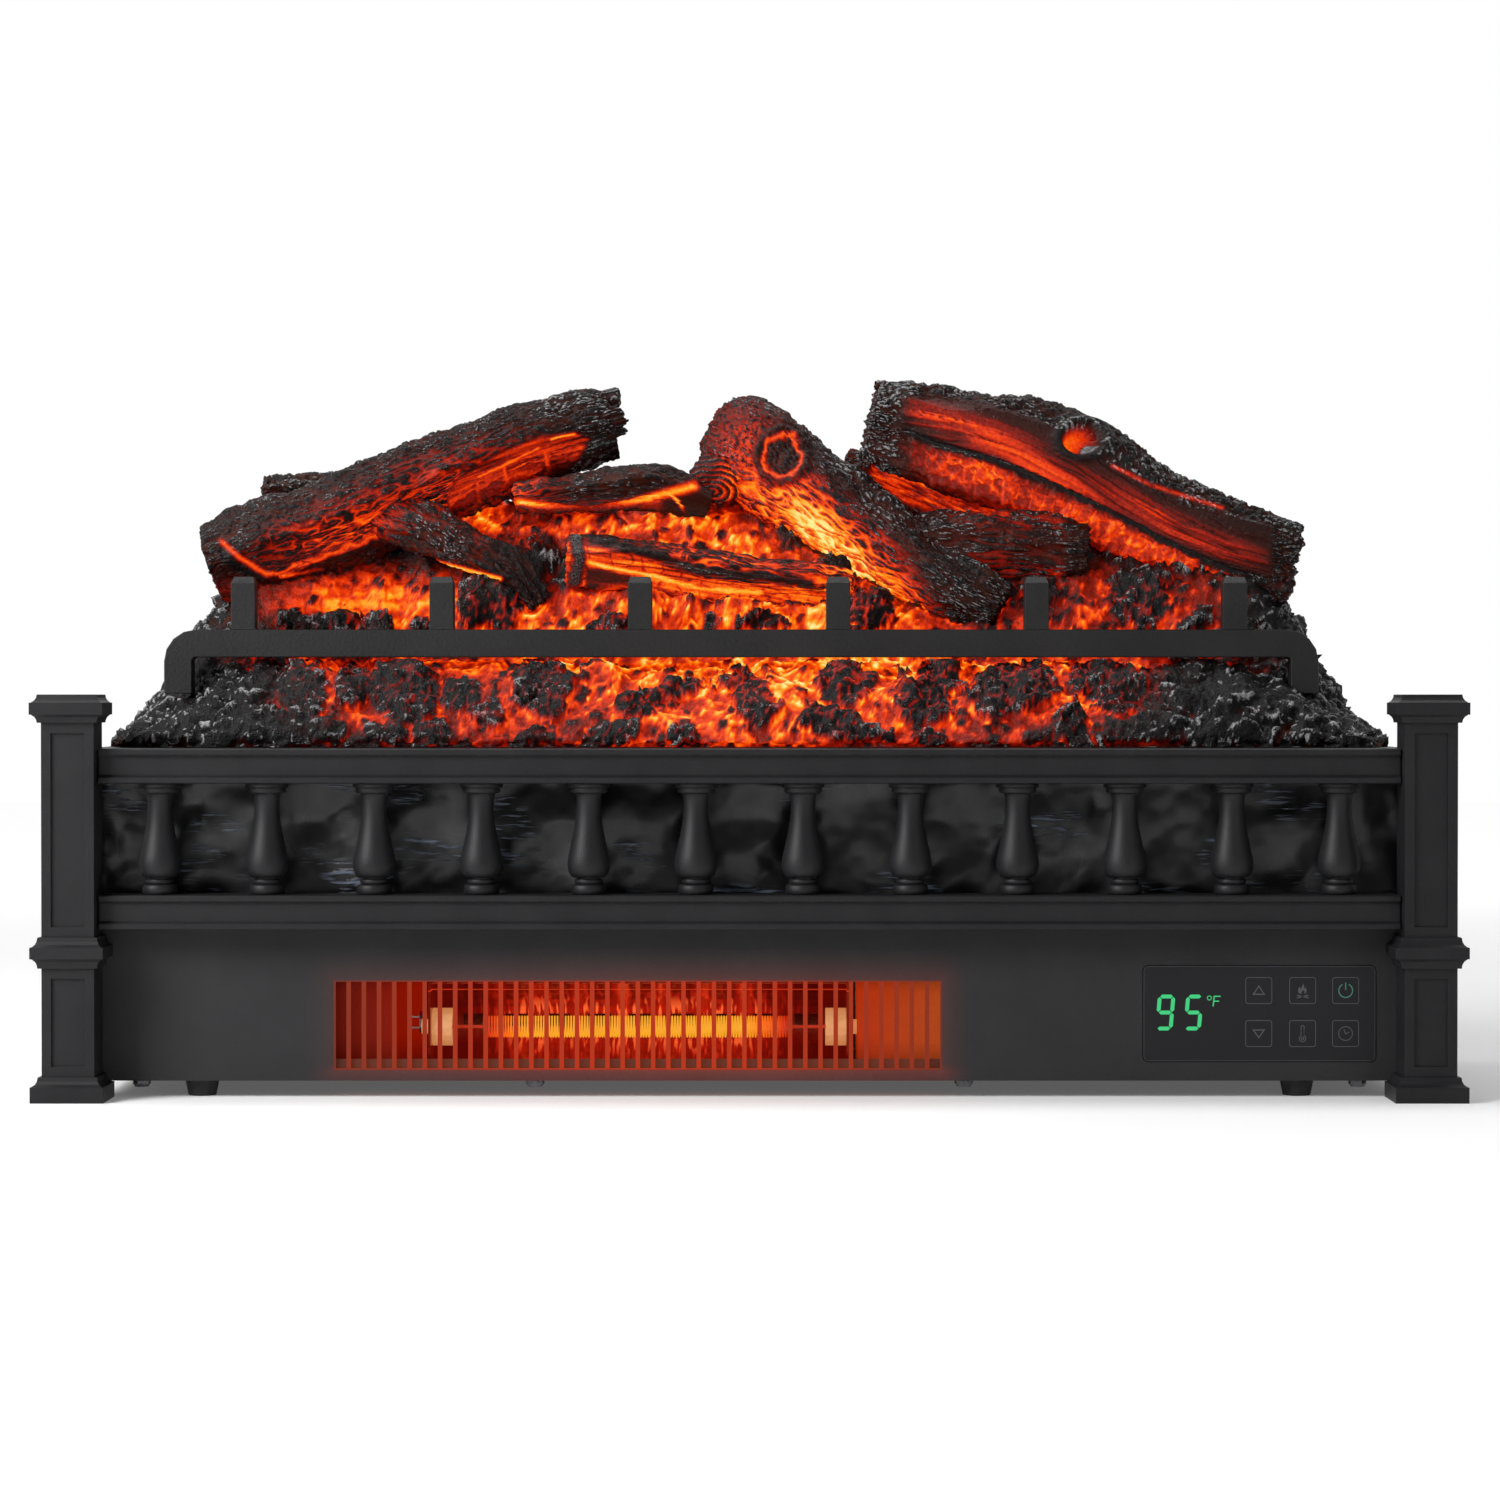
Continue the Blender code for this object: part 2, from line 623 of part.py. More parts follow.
def build_rail(name, bottom):
    front = behind_front(RAIL_SETBACK)
    back = front + RAIL_DEPTH
    top = bottom + RAIL_HEIGHT
    sunk = front + RAIL_BAND_RECESS
    outline = [
        (front, bottom), (front, bottom + RAIL_LIP), (sunk, bottom + RAIL_LIP + RAIL_EDGE),
        (sunk, top - RAIL_LIP - RAIL_EDGE), (front, top - RAIL_LIP), (front, top), (back, top),
        (back, bottom),
    ]
    rail = prism(name, outline, -RAIL_HALF_LENGTH, RAIL_HALF_LENGTH, PAINTED)
    edge = rail.modifiers.new("edges", "BEVEL")
    edge.width = RAIL_EDGE
    edge.segments = 1
    edge.limit_method = "ANGLE"
    edge.angle_limit = math.radians(60)
    return rail


def build_balusters():
    """Twelve turned balusters between the rails, sharing one turned outline."""
    low = LOWER_RAIL_BOTTOM + RAIL_HEIGHT + CLEARANCE
    high = UPPER_RAIL_BOTTOM - CLEARANCE
    outline = [(share_r * BALUSTER_RADIUS, share_z * (high - low)) for share_r, share_z in BALUSTER_SHARES]
    middle = behind_front(RAIL_SETBACK + RAIL_DEPTH / 2)
    pitch = (RAIL_HALF_LENGTH - BALUSTER_END) * 2 / (BALUSTER_COUNT - 1)
    first = None
    for index in range(BALUSTER_COUNT):
        name = "baluster_%02d" % (index + 1)
        if first is None:
            first = turned(name, outline, BALUSTER_SIDES, PAINTED)
            baluster = first
        else:
            baluster = place(name, first.data, PAINTED)
            add_screw(baluster, BALUSTER_SIDES)
        across = (index - (BALUSTER_COUNT - 1) / 2) * pitch
        baluster.location = (across, middle, low)


def rounded_rectangle(centre_x, centre_z, width, height, radius, steps=4):
    """Points (x, z) of a rectangle with round corners."""
    points = []
    for turn, side_x, side_z in ((0, 1, 1), (1, -1, 1), (2, -1, -1), (3, 1, -1)):
        corner_x = centre_x + side_x * (width / 2 - radius)
        corner_z = centre_z + side_z * (height / 2 - radius)
        for step in range(steps + 1):
            angle = (turn + step / steps) * math.pi / 2
            points.append((corner_x + radius * math.cos(angle), corner_z + radius * math.sin(angle)))
    return points


def plate_along_y(name, outline, front, back, finish=None, collection=None):
    """Extrude an outline of (x, z) points along Y."""
    body = bmesh.new()
    loft(body, [[(x, front, z) for x, z in outline], [(x, back, z) for x, z in outline]])
    return from_bmesh(name, body, finish, collection)


def plate_along_z(name, outline, low, high, finish=None, collection=None):
    """Extrude an outline of (x, y) points along Z."""
    body = bmesh.new()
    loft(body, [[(x, y, low) for x, y in outline], [(x, y, high) for x, y in outline]])
    bmesh.ops.recalc_face_normals(body, faces=body.faces)
    return from_bmesh(name, body, finish, collection)


# Front panel: a shallow sheet-steel lid with the outlet slots and the control window
PANEL_TOP = LOWER_RAIL_BOTTOM - CLEARANCE
PANEL_FRONT = behind_front(PANEL_SETBACK)
PANEL_BACK = PANEL_FRONT + PANEL_FLANGE
LENS_MIDDLE = LENS_BOTTOM + LENS_HEIGHT / 2


def build_front_panel():
    panel = box(
        "front_panel", (-PANEL_HALF_WIDTH, PANEL_FRONT, PANEL_BOTTOM),
        (PANEL_HALF_WIDTH, PANEL_BACK, PANEL_TOP), PANEL,
    )
    hollow = box(
        "front_panel_hollow", (-PANEL_HALF_WIDTH + SHEET, PANEL_FRONT + SHEET, PANEL_BOTTOM + SHEET),
        (PANEL_HALF_WIDTH - SHEET, PANEL_BACK + OVERRUN, PANEL_TOP - SHEET), None, CUTTERS,
    )
    combine(panel, hollow)
    slots = []
    for index in range(OUTLET_SLOTS):
        middle = OUTLET_CENTRE + (index - (OUTLET_SLOTS - 1) / 2) * OUTLET_PITCH
        slots.append((
            (middle - OUTLET_SLOT / 2, PANEL_FRONT - OVERRUN, OUTLET_BOTTOM),
            (middle + OUTLET_SLOT / 2, PANEL_FRONT + OVERRUN, OUTLET_BOTTOM + OUTLET_HEIGHT),
        ))
    combine(panel, boxes("outlet_slots", slots, None, CUTTERS))
    window = rounded_rectangle(
        LENS_CENTRE, LENS_MIDDLE, LENS_WIDTH + CLEARANCE * 2, LENS_HEIGHT + CLEARANCE * 2, LENS_CORNER,
    )
    combine(panel, plate_along_y(
        "control_window", window, PANEL_FRONT - OVERRUN, PANEL_FRONT + OVERRUN, None, CUTTERS,
    ))
    combine(panel, rounds("panel_screw_holes", screw_holes(PANEL_BOTTOM), None, CUTTERS))
    return panel


def screw_places():
    return [side * share * PANEL_HALF_WIDTH for share in SCREW_SHARES for side in (-1, 1)]


def screw_holes(sheet_bottom):
    """Clearance holes for the base screws through the sheet that starts at that height."""
    return [
        ((across, behind_front(SCREW_DEPTH), sheet_bottom - OVERRUN), 2, SCREW_SHANK + HOLE_PLAY,
         OVERRUN * 2 + SHEET, 10)
        for across in screw_places()
    ]


def build_control():
    """Touch lens in its window, the display behind it and the board that carries both."""
    outline = rounded_rectangle(LENS_CENTRE, LENS_MIDDLE, LENS_WIDTH, LENS_HEIGHT, LENS_CORNER)
    lens_front = PANEL_FRONT - LENS_PROUD
    lens_back = lens_front + LENS_THICKNESS
    plate_along_y("control_lens", outline, lens_front, lens_back, BLACK_PLASTIC)
    display_front = lens_back + CLEARANCE
    display_back = display_front + DISPLAY_DEPTH
    box(
        "display_module",
        (DISPLAY_CENTRE - DISPLAY_WIDTH / 2, display_front, LENS_MIDDLE - DISPLAY_HEIGHT / 2),
        (DISPLAY_CENTRE + DISPLAY_WIDTH / 2, display_back, LENS_MIDDLE + DISPLAY_HEIGHT / 2),
        BLACK_PLASTIC,
    )
    board_front = display_back + CLEARANCE
    half_width = LENS_WIDTH / 2 - BOARD_MARGIN
    half_height = LENS_HEIGHT / 2 - BOARD_MARGIN
    board = box(
        "control_board",
        (LENS_CENTRE - half_width, board_front, LENS_MIDDLE - half_height),
        (LENS_CENTRE + half_width, board_front + BOARD_SHEET, LENS_MIDDLE + half_height), BOARD,
    )
    springs = []
    for column in range(TOUCH_COLUMNS):
        for row in range(TOUCH_ROWS):
            across = TOUCH_CENTRE + (column - (TOUCH_COLUMNS - 1) / 2) * TOUCH_COLUMN_PITCH
            up = LENS_MIDDLE + (row - (TOUCH_ROWS - 1) / 2) * TOUCH_ROW_PITCH
            reach = board_front + BOARD_SHEET / 2 - display_front
            springs.append(((across, display_front, up), 1, TOUCH_SPRING_RADIUS, reach, 8))
    combine(board, rounds("touch_springs", springs, None, CUTTERS), "UNION")


# Rock sheet: a lumpy moulding between the rails
def rock_relief(x, z):
    coarse = noise.noise(Vector((x, z * 1.3, 0.0)) / ROCK_LUMP)
    fine = noise.noise(Vector((x, z, ROCK_LUMP)) / (ROCK_LUMP * 0.45))
    return ROCK_RELIEF * max(-1.0, min(1.0, 1.1 * coarse + 0.5 * fine))


def build_rock_panel():
    half = PANEL_HALF_WIDTH - SHEET - CLEARANCE
    low = LOWER_RAIL_BOTTOM + CLEARANCE
    high = DECK_TOP - DECK_SHEET - CLEARANCE
    body = bmesh.new()
    grid = []
    for row in range(ROCK_ROWS + 1):
        z = low + (high - low) * row / ROCK_ROWS
        line = []
        for column in range(ROCK_COLUMNS + 1):
            x = -half + 2 * half * column / ROCK_COLUMNS
            line.append(body.verts.new((x, behind_front(ROCK_SETBACK) + rock_relief(x, z), z)))
        grid.append(line)
    for lower, upper in zip(grid, grid[1:]):
        for column in range(ROCK_COLUMNS):
            body.faces.new((lower[column], lower[column + 1], upper[column + 1], upper[column]))
    mesh = bpy.data.meshes.new("rock_panel")
    body.to_mesh(mesh)
    body.free()
    panel = place("rock_panel", mesh, ROCK)
    shell = panel.modifiers.new("shell", "SOLIDIFY")
    shell.thickness = ROCK_SHEET
    shell.offset = -1.0
    return smooth(panel)


# Case: a wrap of sheet steel, a deck on top of it and a base pan inside its foot
CASE_FRONT = PANEL_BACK + CLEARANCE
CASE_BACK = behind_front(CASE_DEPTH)
CASE_TOP = DECK_TOP - DECK_SHEET - CLEARANCE
PAN_BOTTOM = PANEL_BOTTOM + SHEET + CLEARANCE
PAN_TOP = PAN_BOTTOM + SHEET


def build_rear_case():
    case = box(
        "rear_case", (-PANEL_HALF_WIDTH, CASE_FRONT, PANEL_BOTTOM),
        (PANEL_HALF_WIDTH, CASE_BACK, CASE_TOP), PANEL,
    )
    combine(case, box(
        "rear_case_hollow", (-PANEL_HALF_WIDTH + SHEET, CASE_FRONT - OVERRUN, PANEL_BOTTOM - OVERRUN),
        (PANEL_HALF_WIDTH - SHEET, CASE_BACK - SHEET, CASE_TOP + OVERRUN), None, CUTTERS,
    ))
    slots = []
    for index in range(VENT_SLOTS):
        middle = OUTLET_CENTRE + (index - (VENT_SLOTS - 1) / 2) * VENT_PITCH
        slots.append((
            (middle - VENT_SLOT / 2, CASE_BACK - OVERRUN, VENT_BOTTOM),
            (middle + VENT_SLOT / 2, CASE_BACK + OVERRUN, VENT_BOTTOM + VENT_HEIGHT),
        ))
    slots.append((
        (SWITCH_OFFSET - SWITCH_BODY_WIDTH / 2 - CLEARANCE, CASE_BACK - OVERRUN,
         SWITCH_HEIGHT - SWITCH_BODY_HEIGHT / 2 - CLEARANCE),
        (SWITCH_OFFSET + SWITCH_BODY_WIDTH / 2 + CLEARANCE, CASE_BACK + OVERRUN,
         SWITCH_HEIGHT + SWITCH_BODY_HEIGHT / 2 + CLEARANCE),
    ))
    combine(case, boxes("vent_slots", slots, None, CUTTERS))
    gland_hole = ((GLAND_OFFSET, CASE_BACK - OVERRUN, GLAND_HEIGHT), 1, GLAND_RADIUS + CLEARANCE,
                  OVERRUN * 2, 16)
    combine(case, rounds("gland_hole", [gland_hole], None, CUTTERS))
    return case


def build_deck():
    deck = box(
        "deck_plate", (-PANEL_HALF_WIDTH, behind_front(DECK_FRONT), DECK_TOP - DECK_SHEET),
        (PANEL_HALF_WIDTH, CASE_BACK, DECK_TOP), PANEL,
    )
    holes = [
        ((side * WIRE_HOLE_OFFSET, behind_front(LED_BOARD_SETBACK + LED_BOARD_DEPTH * 2), DECK_TOP - OVERRUN),
         2, WIRE_HOLE, OVERRUN * 2, 12)
        for side in (-1, 1)
    ]
    combine(deck, rounds("wire_holes", holes, None, CUTTERS))
    return deck


def foot_places():
    for label, depth, inset in (
        ("front", FRONT_FOOT_DEPTH, FRONT_FOOT_INSET),
        ("rear", CASE_DEPTH - REAR_FOOT_MARGIN, REAR_FOOT_INSET),
    ):
        for side, hand in ((-1, "left"), (1, "right")):
            yield "foot_%s_%s" % (label, hand), side * (PANEL_HALF_WIDTH - inset), behind_front(depth)


def build_base_pan():
    half = PANEL_HALF_WIDTH - SHEET - CLEARANCE
    front = behind_front(PAN_FRONT)
    back = CASE_BACK - SHEET - CLEARANCE
    pan = box("base_pan", (-half, front, PAN_BOTTOM), (half, back, PAN_BOTTOM + PAN_FLANGE), PANEL)
    combine(pan, box(
        "base_pan_hollow", (-half + SHEET, front + SHEET, PAN_TOP),
        (half - SHEET, back - SHEET, PAN_BOTTOM + PAN_FLANGE + OVERRUN), None, CUTTERS,
    ))
    stems = [
        ((x, y, PAN_BOTTOM - OVERRUN), 2, FOOT_STEM + HOLE_PLAY, OVERRUN * 2, 10)
        for _, x, y in foot_places()
    ]
    combine(pan, rounds("pan_holes", stems + screw_holes(PAN_BOTTOM), None, CUTTERS))
    return pan


def build_feet():
    """Tapered rubber feet, each pushed into the pan by its stem."""
    for name, x, y in foot_places():
        under = PANEL_BOTTOM if y - FOOT_TOP_RADIUS < PANEL_BACK else PAN_BOTTOM
        top = under - CLEARANCE
        outline = [
            (0.0, PAN_TOP + FOOT_STEM_RISE), (FOOT_STEM, PAN_TOP + FOOT_STEM_RISE), (FOOT_STEM, top),
            (FOOT_TOP_RADIUS, top), (FOOT_BOTTOM_RADIUS, 0.0), (0.0, 0.0),
        ]
        foot = turned(name, outline, 12, RUBBER)
        foot.location = (x, y, 0.0)


def build_screws():
    """Pan-head screws, heads down, through the panel's flange and the pan."""
    top = PANEL_BOTTOM - CLEARANCE
    outline = [
        (0.0, top + SCREW_LENGTH), (SCREW_SHANK, top + SCREW_LENGTH), (SCREW_SHANK, top),
        (SCREW_HEAD_RADIUS, top), (SCREW_HEAD_RADIUS, top - SCREW_HEAD * 0.45),
        (SCREW_HEAD_RADIUS * 0.72, top - SCREW_HEAD), (0.0, top - SCREW_HEAD),
    ]
    for index, across in enumerate(sorted(screw_places())):
        screw = turned("base_screw_%d" % (index + 1), outline, 10, FASTENER)
        screw.location = (across, behind_front(SCREW_DEPTH), 0.0)


# Quartz heater: a trough reflector, two ceramic caps, the tube and its coil
REFLECTOR_LEFT = OUTLET_CENTRE - REFLECTOR_LENGTH / 2
REFLECTOR_RIGHT = OUTLET_CENTRE + REFLECTOR_LENGTH / 2
TUBE_HEIGHT = REFLECTOR_CENTRE - 0.03 * REFLECTOR_HEIGHT


def trough(depth, height, front, steps=6):
    """Outline (y, z) of a parabolic trough open to the front."""
    upper = []
    for step in range(steps + 1):
        share = 1.0 - step / steps
        y = front + depth * (1.0 - share ** 2)
        upper.append((y, REFLECTOR_CENTRE + height / 2 * share))
    lower = [(y, 2 * REFLECTOR_CENTRE - z) for y, z in reversed(upper[:-1])]
    return upper + lower


def build_reflector():
    front = behind_front(REFLECTOR_FRONT)
    reflector = prism(
        "heater_reflector", trough(REFLECTOR_DEPTH, REFLECTOR_HEIGHT, front), REFLECTOR_LEFT,
        REFLECTOR_RIGHT, MIRROR_SHEET,
    )
    ears = [
        ((x - REFLECTOR_SHEET / 2, front, PAN_TOP + CLEARANCE),
         (x + REFLECTOR_SHEET / 2, front + REFLECTOR_DEPTH * 0.55, REFLECTOR_CENTRE))
        for x in (REFLECTOR_LEFT + REFLECTOR_SHEET * 0.7, REFLECTOR_RIGHT - REFLECTOR_SHEET * 0.7)
    ]
    combine(reflector, boxes("reflector_ears", ears, None, CUTTERS), "UNION")
    wall = REFLECTOR_SHEET * 1.4
    hollow = trough(
        REFLECTOR_DEPTH - REFLECTOR_SHEET + OVERRUN,
        (REFLECTOR_HEIGHT - REFLECTOR_SHEET * 3) * (1 + OVERRUN / REFLECTOR_DEPTH), front - OVERRUN,
    )
    combine(reflector, prism(
        "reflector_hollow", hollow, REFLECTOR_LEFT + wall, REFLECTOR_RIGHT - wall, None, CUTTERS,
    ))
    pitch = REFLECTOR_LENGTH / (REFLECTOR_SLOTS + 1)
    slots = []
    for index in range(REFLECTOR_SLOTS):
        middle = REFLECTOR_LEFT + pitch * (index + 1)
        back = front + REFLECTOR_DEPTH
        slots.append((
            (middle - REFLECTOR_SLOT / 2, back - OVERRUN * 2, REFLECTOR_CENTRE - REFLECTOR_SLOT_HEIGHT / 2),
            (middle + REFLECTOR_SLOT / 2, back + OVERRUN, REFLECTOR_CENTRE + REFLECTOR_SLOT_HEIGHT / 2),
        ))
    combine(reflector, boxes("reflector_slots", slots, None, CUTTERS))
    pins = [
        ((x - OVERRUN, behind_front(TUBE_DEPTH), TUBE_HEIGHT), 0, CERAMIC_PIN + HOLE_PLAY, OVERRUN * 2, 12)
        for x in (REFLECTOR_LEFT, REFLECTOR_RIGHT)
    ]
    combine(reflector, rounds("ceramic_holes", pins, None, CUTTERS))
    return reflector


def build_heater():
    wall = REFLECTOR_SHEET * 1.4
    centre_y = behind_front(TUBE_DEPTH)
    for hand, side, end in (("left", 1, REFLECTOR_LEFT + wall), ("right", -1, REFLECTOR_RIGHT - wall)):
        face = end + side * CLEARANCE
        outline = [
            (0.0, 0.0), (CERAMIC_PIN, 0.0), (CERAMIC_PIN, -CERAMIC_PIN_LENGTH),
            (CERAMIC_RADIUS, -CERAMIC_PIN_LENGTH), (CERAMIC_RADIUS, -CERAMIC_PIN_LENGTH - CERAMIC_LENGTH),
            (TUBE_RADIUS + CLEARANCE, -CERAMIC_PIN_LENGTH - CERAMIC_LENGTH),
            (TUBE_RADIUS + CLEARANCE, -CERAMIC_PIN_LENGTH - CERAMIC_LENGTH + CERAMIC_SOCKET),
            (0.0, -CERAMIC_PIN_LENGTH - CERAMIC_LENGTH + CERAMIC_SOCKET),
        ]
        cap = turned("ceramic_cap_" + hand, outline, 16, CERAMIC)
        cap.rotation_euler = (0.0, -side * math.pi / 2, 0.0)
        cap.location = (face - side * CERAMIC_PIN_LENGTH, centre_y, TUBE_HEIGHT)
    reach = REFLECTOR_LENGTH / 2 - wall - CLEARANCE * 2 - CERAMIC_LENGTH + CERAMIC_SOCKET
    tube = rounds(
        "quartz_tube", [((OUTLET_CENTRE - reach, centre_y, TUBE_HEIGHT), 0, TUBE_RADIUS, reach * 2, 20)],
        GLASS,
    )
    combine(tube, rounds("tube_bore", [
        ((OUTLET_CENTRE - reach - OVERRUN, centre_y, TUBE_HEIGHT), 0, TUBE_RADIUS - TUBE_WALL,
         (reach + OVERRUN) * 2, 20),
    ], None, CUTTERS))
    smooth(tube)
    build_coil(centre_y, reach)


def least_gap(points, apart, radius):
    """Least clear distance between stretches of one wire that lie at least that many points apart."""
    near = min(
        math.dist(points[first], points[second])
        for first in range(len(points)) for second in range(first + apart, len(points))
    )
    return near - 2 * radius


def build_coil(centre_y, reach):
    """Resistance wire wound as a helix, with straight leads to the ceramic caps."""
    count = COIL_TURNS * COIL_TURN_POINTS
    start = OUTLET_CENTRE - COIL_LENGTH / 2
    points = [(OUTLET_CENTRE - reach, centre_y, TUBE_HEIGHT)]
    points.append((start - COIL_RADIUS * 2, centre_y, TUBE_HEIGHT))
    for step in range(count + 1):
        angle = 2 * math.pi * step / COIL_TURN_POINTS
        along = start + COIL_LENGTH * step / count
        points.append((
            along, centre_y + COIL_RADIUS * math.sin(angle), TUBE_HEIGHT - COIL_RADIUS * math.cos(angle),
        ))
    points.append((OUTLET_CENTRE + COIL_LENGTH / 2 + COIL_RADIUS * 2, centre_y, TUBE_HEIGHT))
    points.append((OUTLET_CENTRE + reach, centre_y, TUBE_HEIGHT))
    curve = bpy.data.curves.new("heating_coil", "CURVE")
    curve.dimensions = "3D"
    curve.bevel_depth = COIL_WIRE
    curve.bevel_resolution = 1
    curve.use_fill_caps = True
    spline = curve.splines.new("POLY")
    spline.points.add(len(points) - 1)
    for point, place_at in zip(spline.points, points):
        point.co = (*place_at, 1.0)
    curve.materials.append(RESISTANCE)
    coil = bpy.data.objects.new("heating_coil", curve)
    PARTS.objects.link(coil)
    gap = least_gap(points, COIL_TURN_POINTS // 2, COIL_WIRE)
    print("heating_coil: least gap between turns %.4f m" % gap)


def build_cutout():
    """Round bimetal cut-out with two tabs on the reflector's left wall."""
    y = behind_front(REFLECTOR_FRONT) + REFLECTOR_DEPTH * CUTOUT_SETBACK_SHARE
    start = REFLECTOR_LEFT - CLEARANCE - CUTOUT_LENGTH
    cutout = rounds(
        "thermal_cutout",
        [((start, y, REFLECTOR_CENTRE), 0, CUTOUT_RADIUS, CUTOUT_LENGTH, 16)], BLACK_PLASTIC,
    )
    tabs = [
        ((start - CUTOUT_TAB * 2, y - CUTOUT_TAB / 2, REFLECTOR_CENTRE + side * CUTOUT_TAB - CUTOUT_TAB / 8),
         (start + CUTOUT_TAB / 2, y + CUTOUT_TAB / 2, REFLECTOR_CENTRE + side * CUTOUT_TAB + CUTOUT_TAB / 8))
        for side in (-1, 1)
    ]
    combine(cutout, boxes("cutout_tabs", tabs, None, CUTTERS), "UNION")


# Tangential blower: wheel with curved blades, scroll, tongue, end plates, bearing and motor
WHEEL_LEFT = OUTLET_CENTRE - WHEEL_LENGTH / 2
WHEEL_RIGHT = OUTLET_CENTRE + WHEEL_LENGTH / 2
BLOWER_Y = behind_front(BLOWER_DEPTH)
END_LEFT = WHEEL_LEFT - RUNNING_GAP
END_RIGHT = WHEEL_RIGHT + RUNNING_GAP


def blade_outline(angle, steps=2):
    """Section (y, z) of one blade: a curved strip from the rim inward, leaning forward."""
    outer, inner = [], []
    for step in range(steps + 1):
        share = step / steps
        radius = WHEEL_RADIUS - BLADE_SHEET - BLADE_CHORD * share
        turn = angle + BLADE_SWEEP * share ** 1.6
        outward = Vector((math.cos(turn), math.sin(turn)))
        across = Vector((-outward.y, outward.x)) * BLADE_SHEET / 2
        outer.append(outward * radius + across)
        inner.append(outward * radius - across)
    points = outer + inner[::-1]
    return [(BLOWER_Y + point.x, BLOWER_HEIGHT + point.y) for point in points]


def build_wheel():
    body = bmesh.new()
    for index in range(WHEEL_DISCS):
        start = WHEEL_LEFT + (WHEEL_LENGTH - WHEEL_DISC) * index / (WHEEL_DISCS - 1)
        add_round(body, (start, BLOWER_Y, BLOWER_HEIGHT), 0, WHEEL_RADIUS, WHEEL_DISC, 20)
    wheel = from_bmesh("blower_wheel", body, BLACK_PLASTIC)
    blades = bmesh.new()
    inset = WHEEL_DISC / 2
    for index in range(WHEEL_BLADES):
        outline = blade_outline(2 * math.pi * index / WHEEL_BLADES)
        loft(blades, [
            [(WHEEL_LEFT + inset, y, z) for y, z in outline], [(WHEEL_RIGHT - inset, y, z) for y, z in outline],
        ])
    combine(wheel, from_bmesh("wheel_blades", blades, None, CUTTERS), "UNION")
    left_end = END_LEFT - BLOWER_END_SHEET - SHAFT_STUB
    right_end = END_RIGHT + BLOWER_END_SHEET + SHAFT_STUB
    shafts = [
        ((left_end, BLOWER_Y, BLOWER_HEIGHT), 0, SHAFT_RADIUS, WHEEL_LEFT + inset - left_end, 12),
        ((WHEEL_RIGHT - inset, BLOWER_Y, BLOWER_HEIGHT), 0, SHAFT_RADIUS, right_end - WHEEL_RIGHT + inset, 12),
    ]
    combine(wheel, rounds("wheel_shafts", shafts, None, CUTTERS), "UNION")
    return wheel


def scroll_points(start, end, base, growth, steps=12):
    """Points (y, z) of a spiral round the wheel's axis, from one angle to another."""
    points = []
    for step in range(steps + 1):
        share = step / steps
        angle = start + (end - start) * share
        radius = base + growth * share
        points.append((BLOWER_Y + radius * math.cos(angle), BLOWER_HEIGHT + radius * math.sin(angle)))
    return points


def strip(name, centreline, thickness, start, end, finish):
    """A sheet that follows a centreline of (y, z) points, as an open surface with Solidify."""
    body = bmesh.new()
    near = [body.verts.new((start, y, z)) for y, z in centreline]
    far = [body.verts.new((end, y, z)) for y, z in centreline]
    for index in range(len(centreline) - 1):
        body.faces.new((near[index], near[index + 1], far[index + 1], far[index]))
    mesh = bpy.data.meshes.new(name)
    body.to_mesh(mesh)
    body.free()
    made = place(name, mesh, finish)
    shell = made.modifiers.new("shell", "SOLIDIFY")
    shell.thickness = thickness
    shell.offset = 0.0
    shell.use_even_offset = True
    return smooth(made)


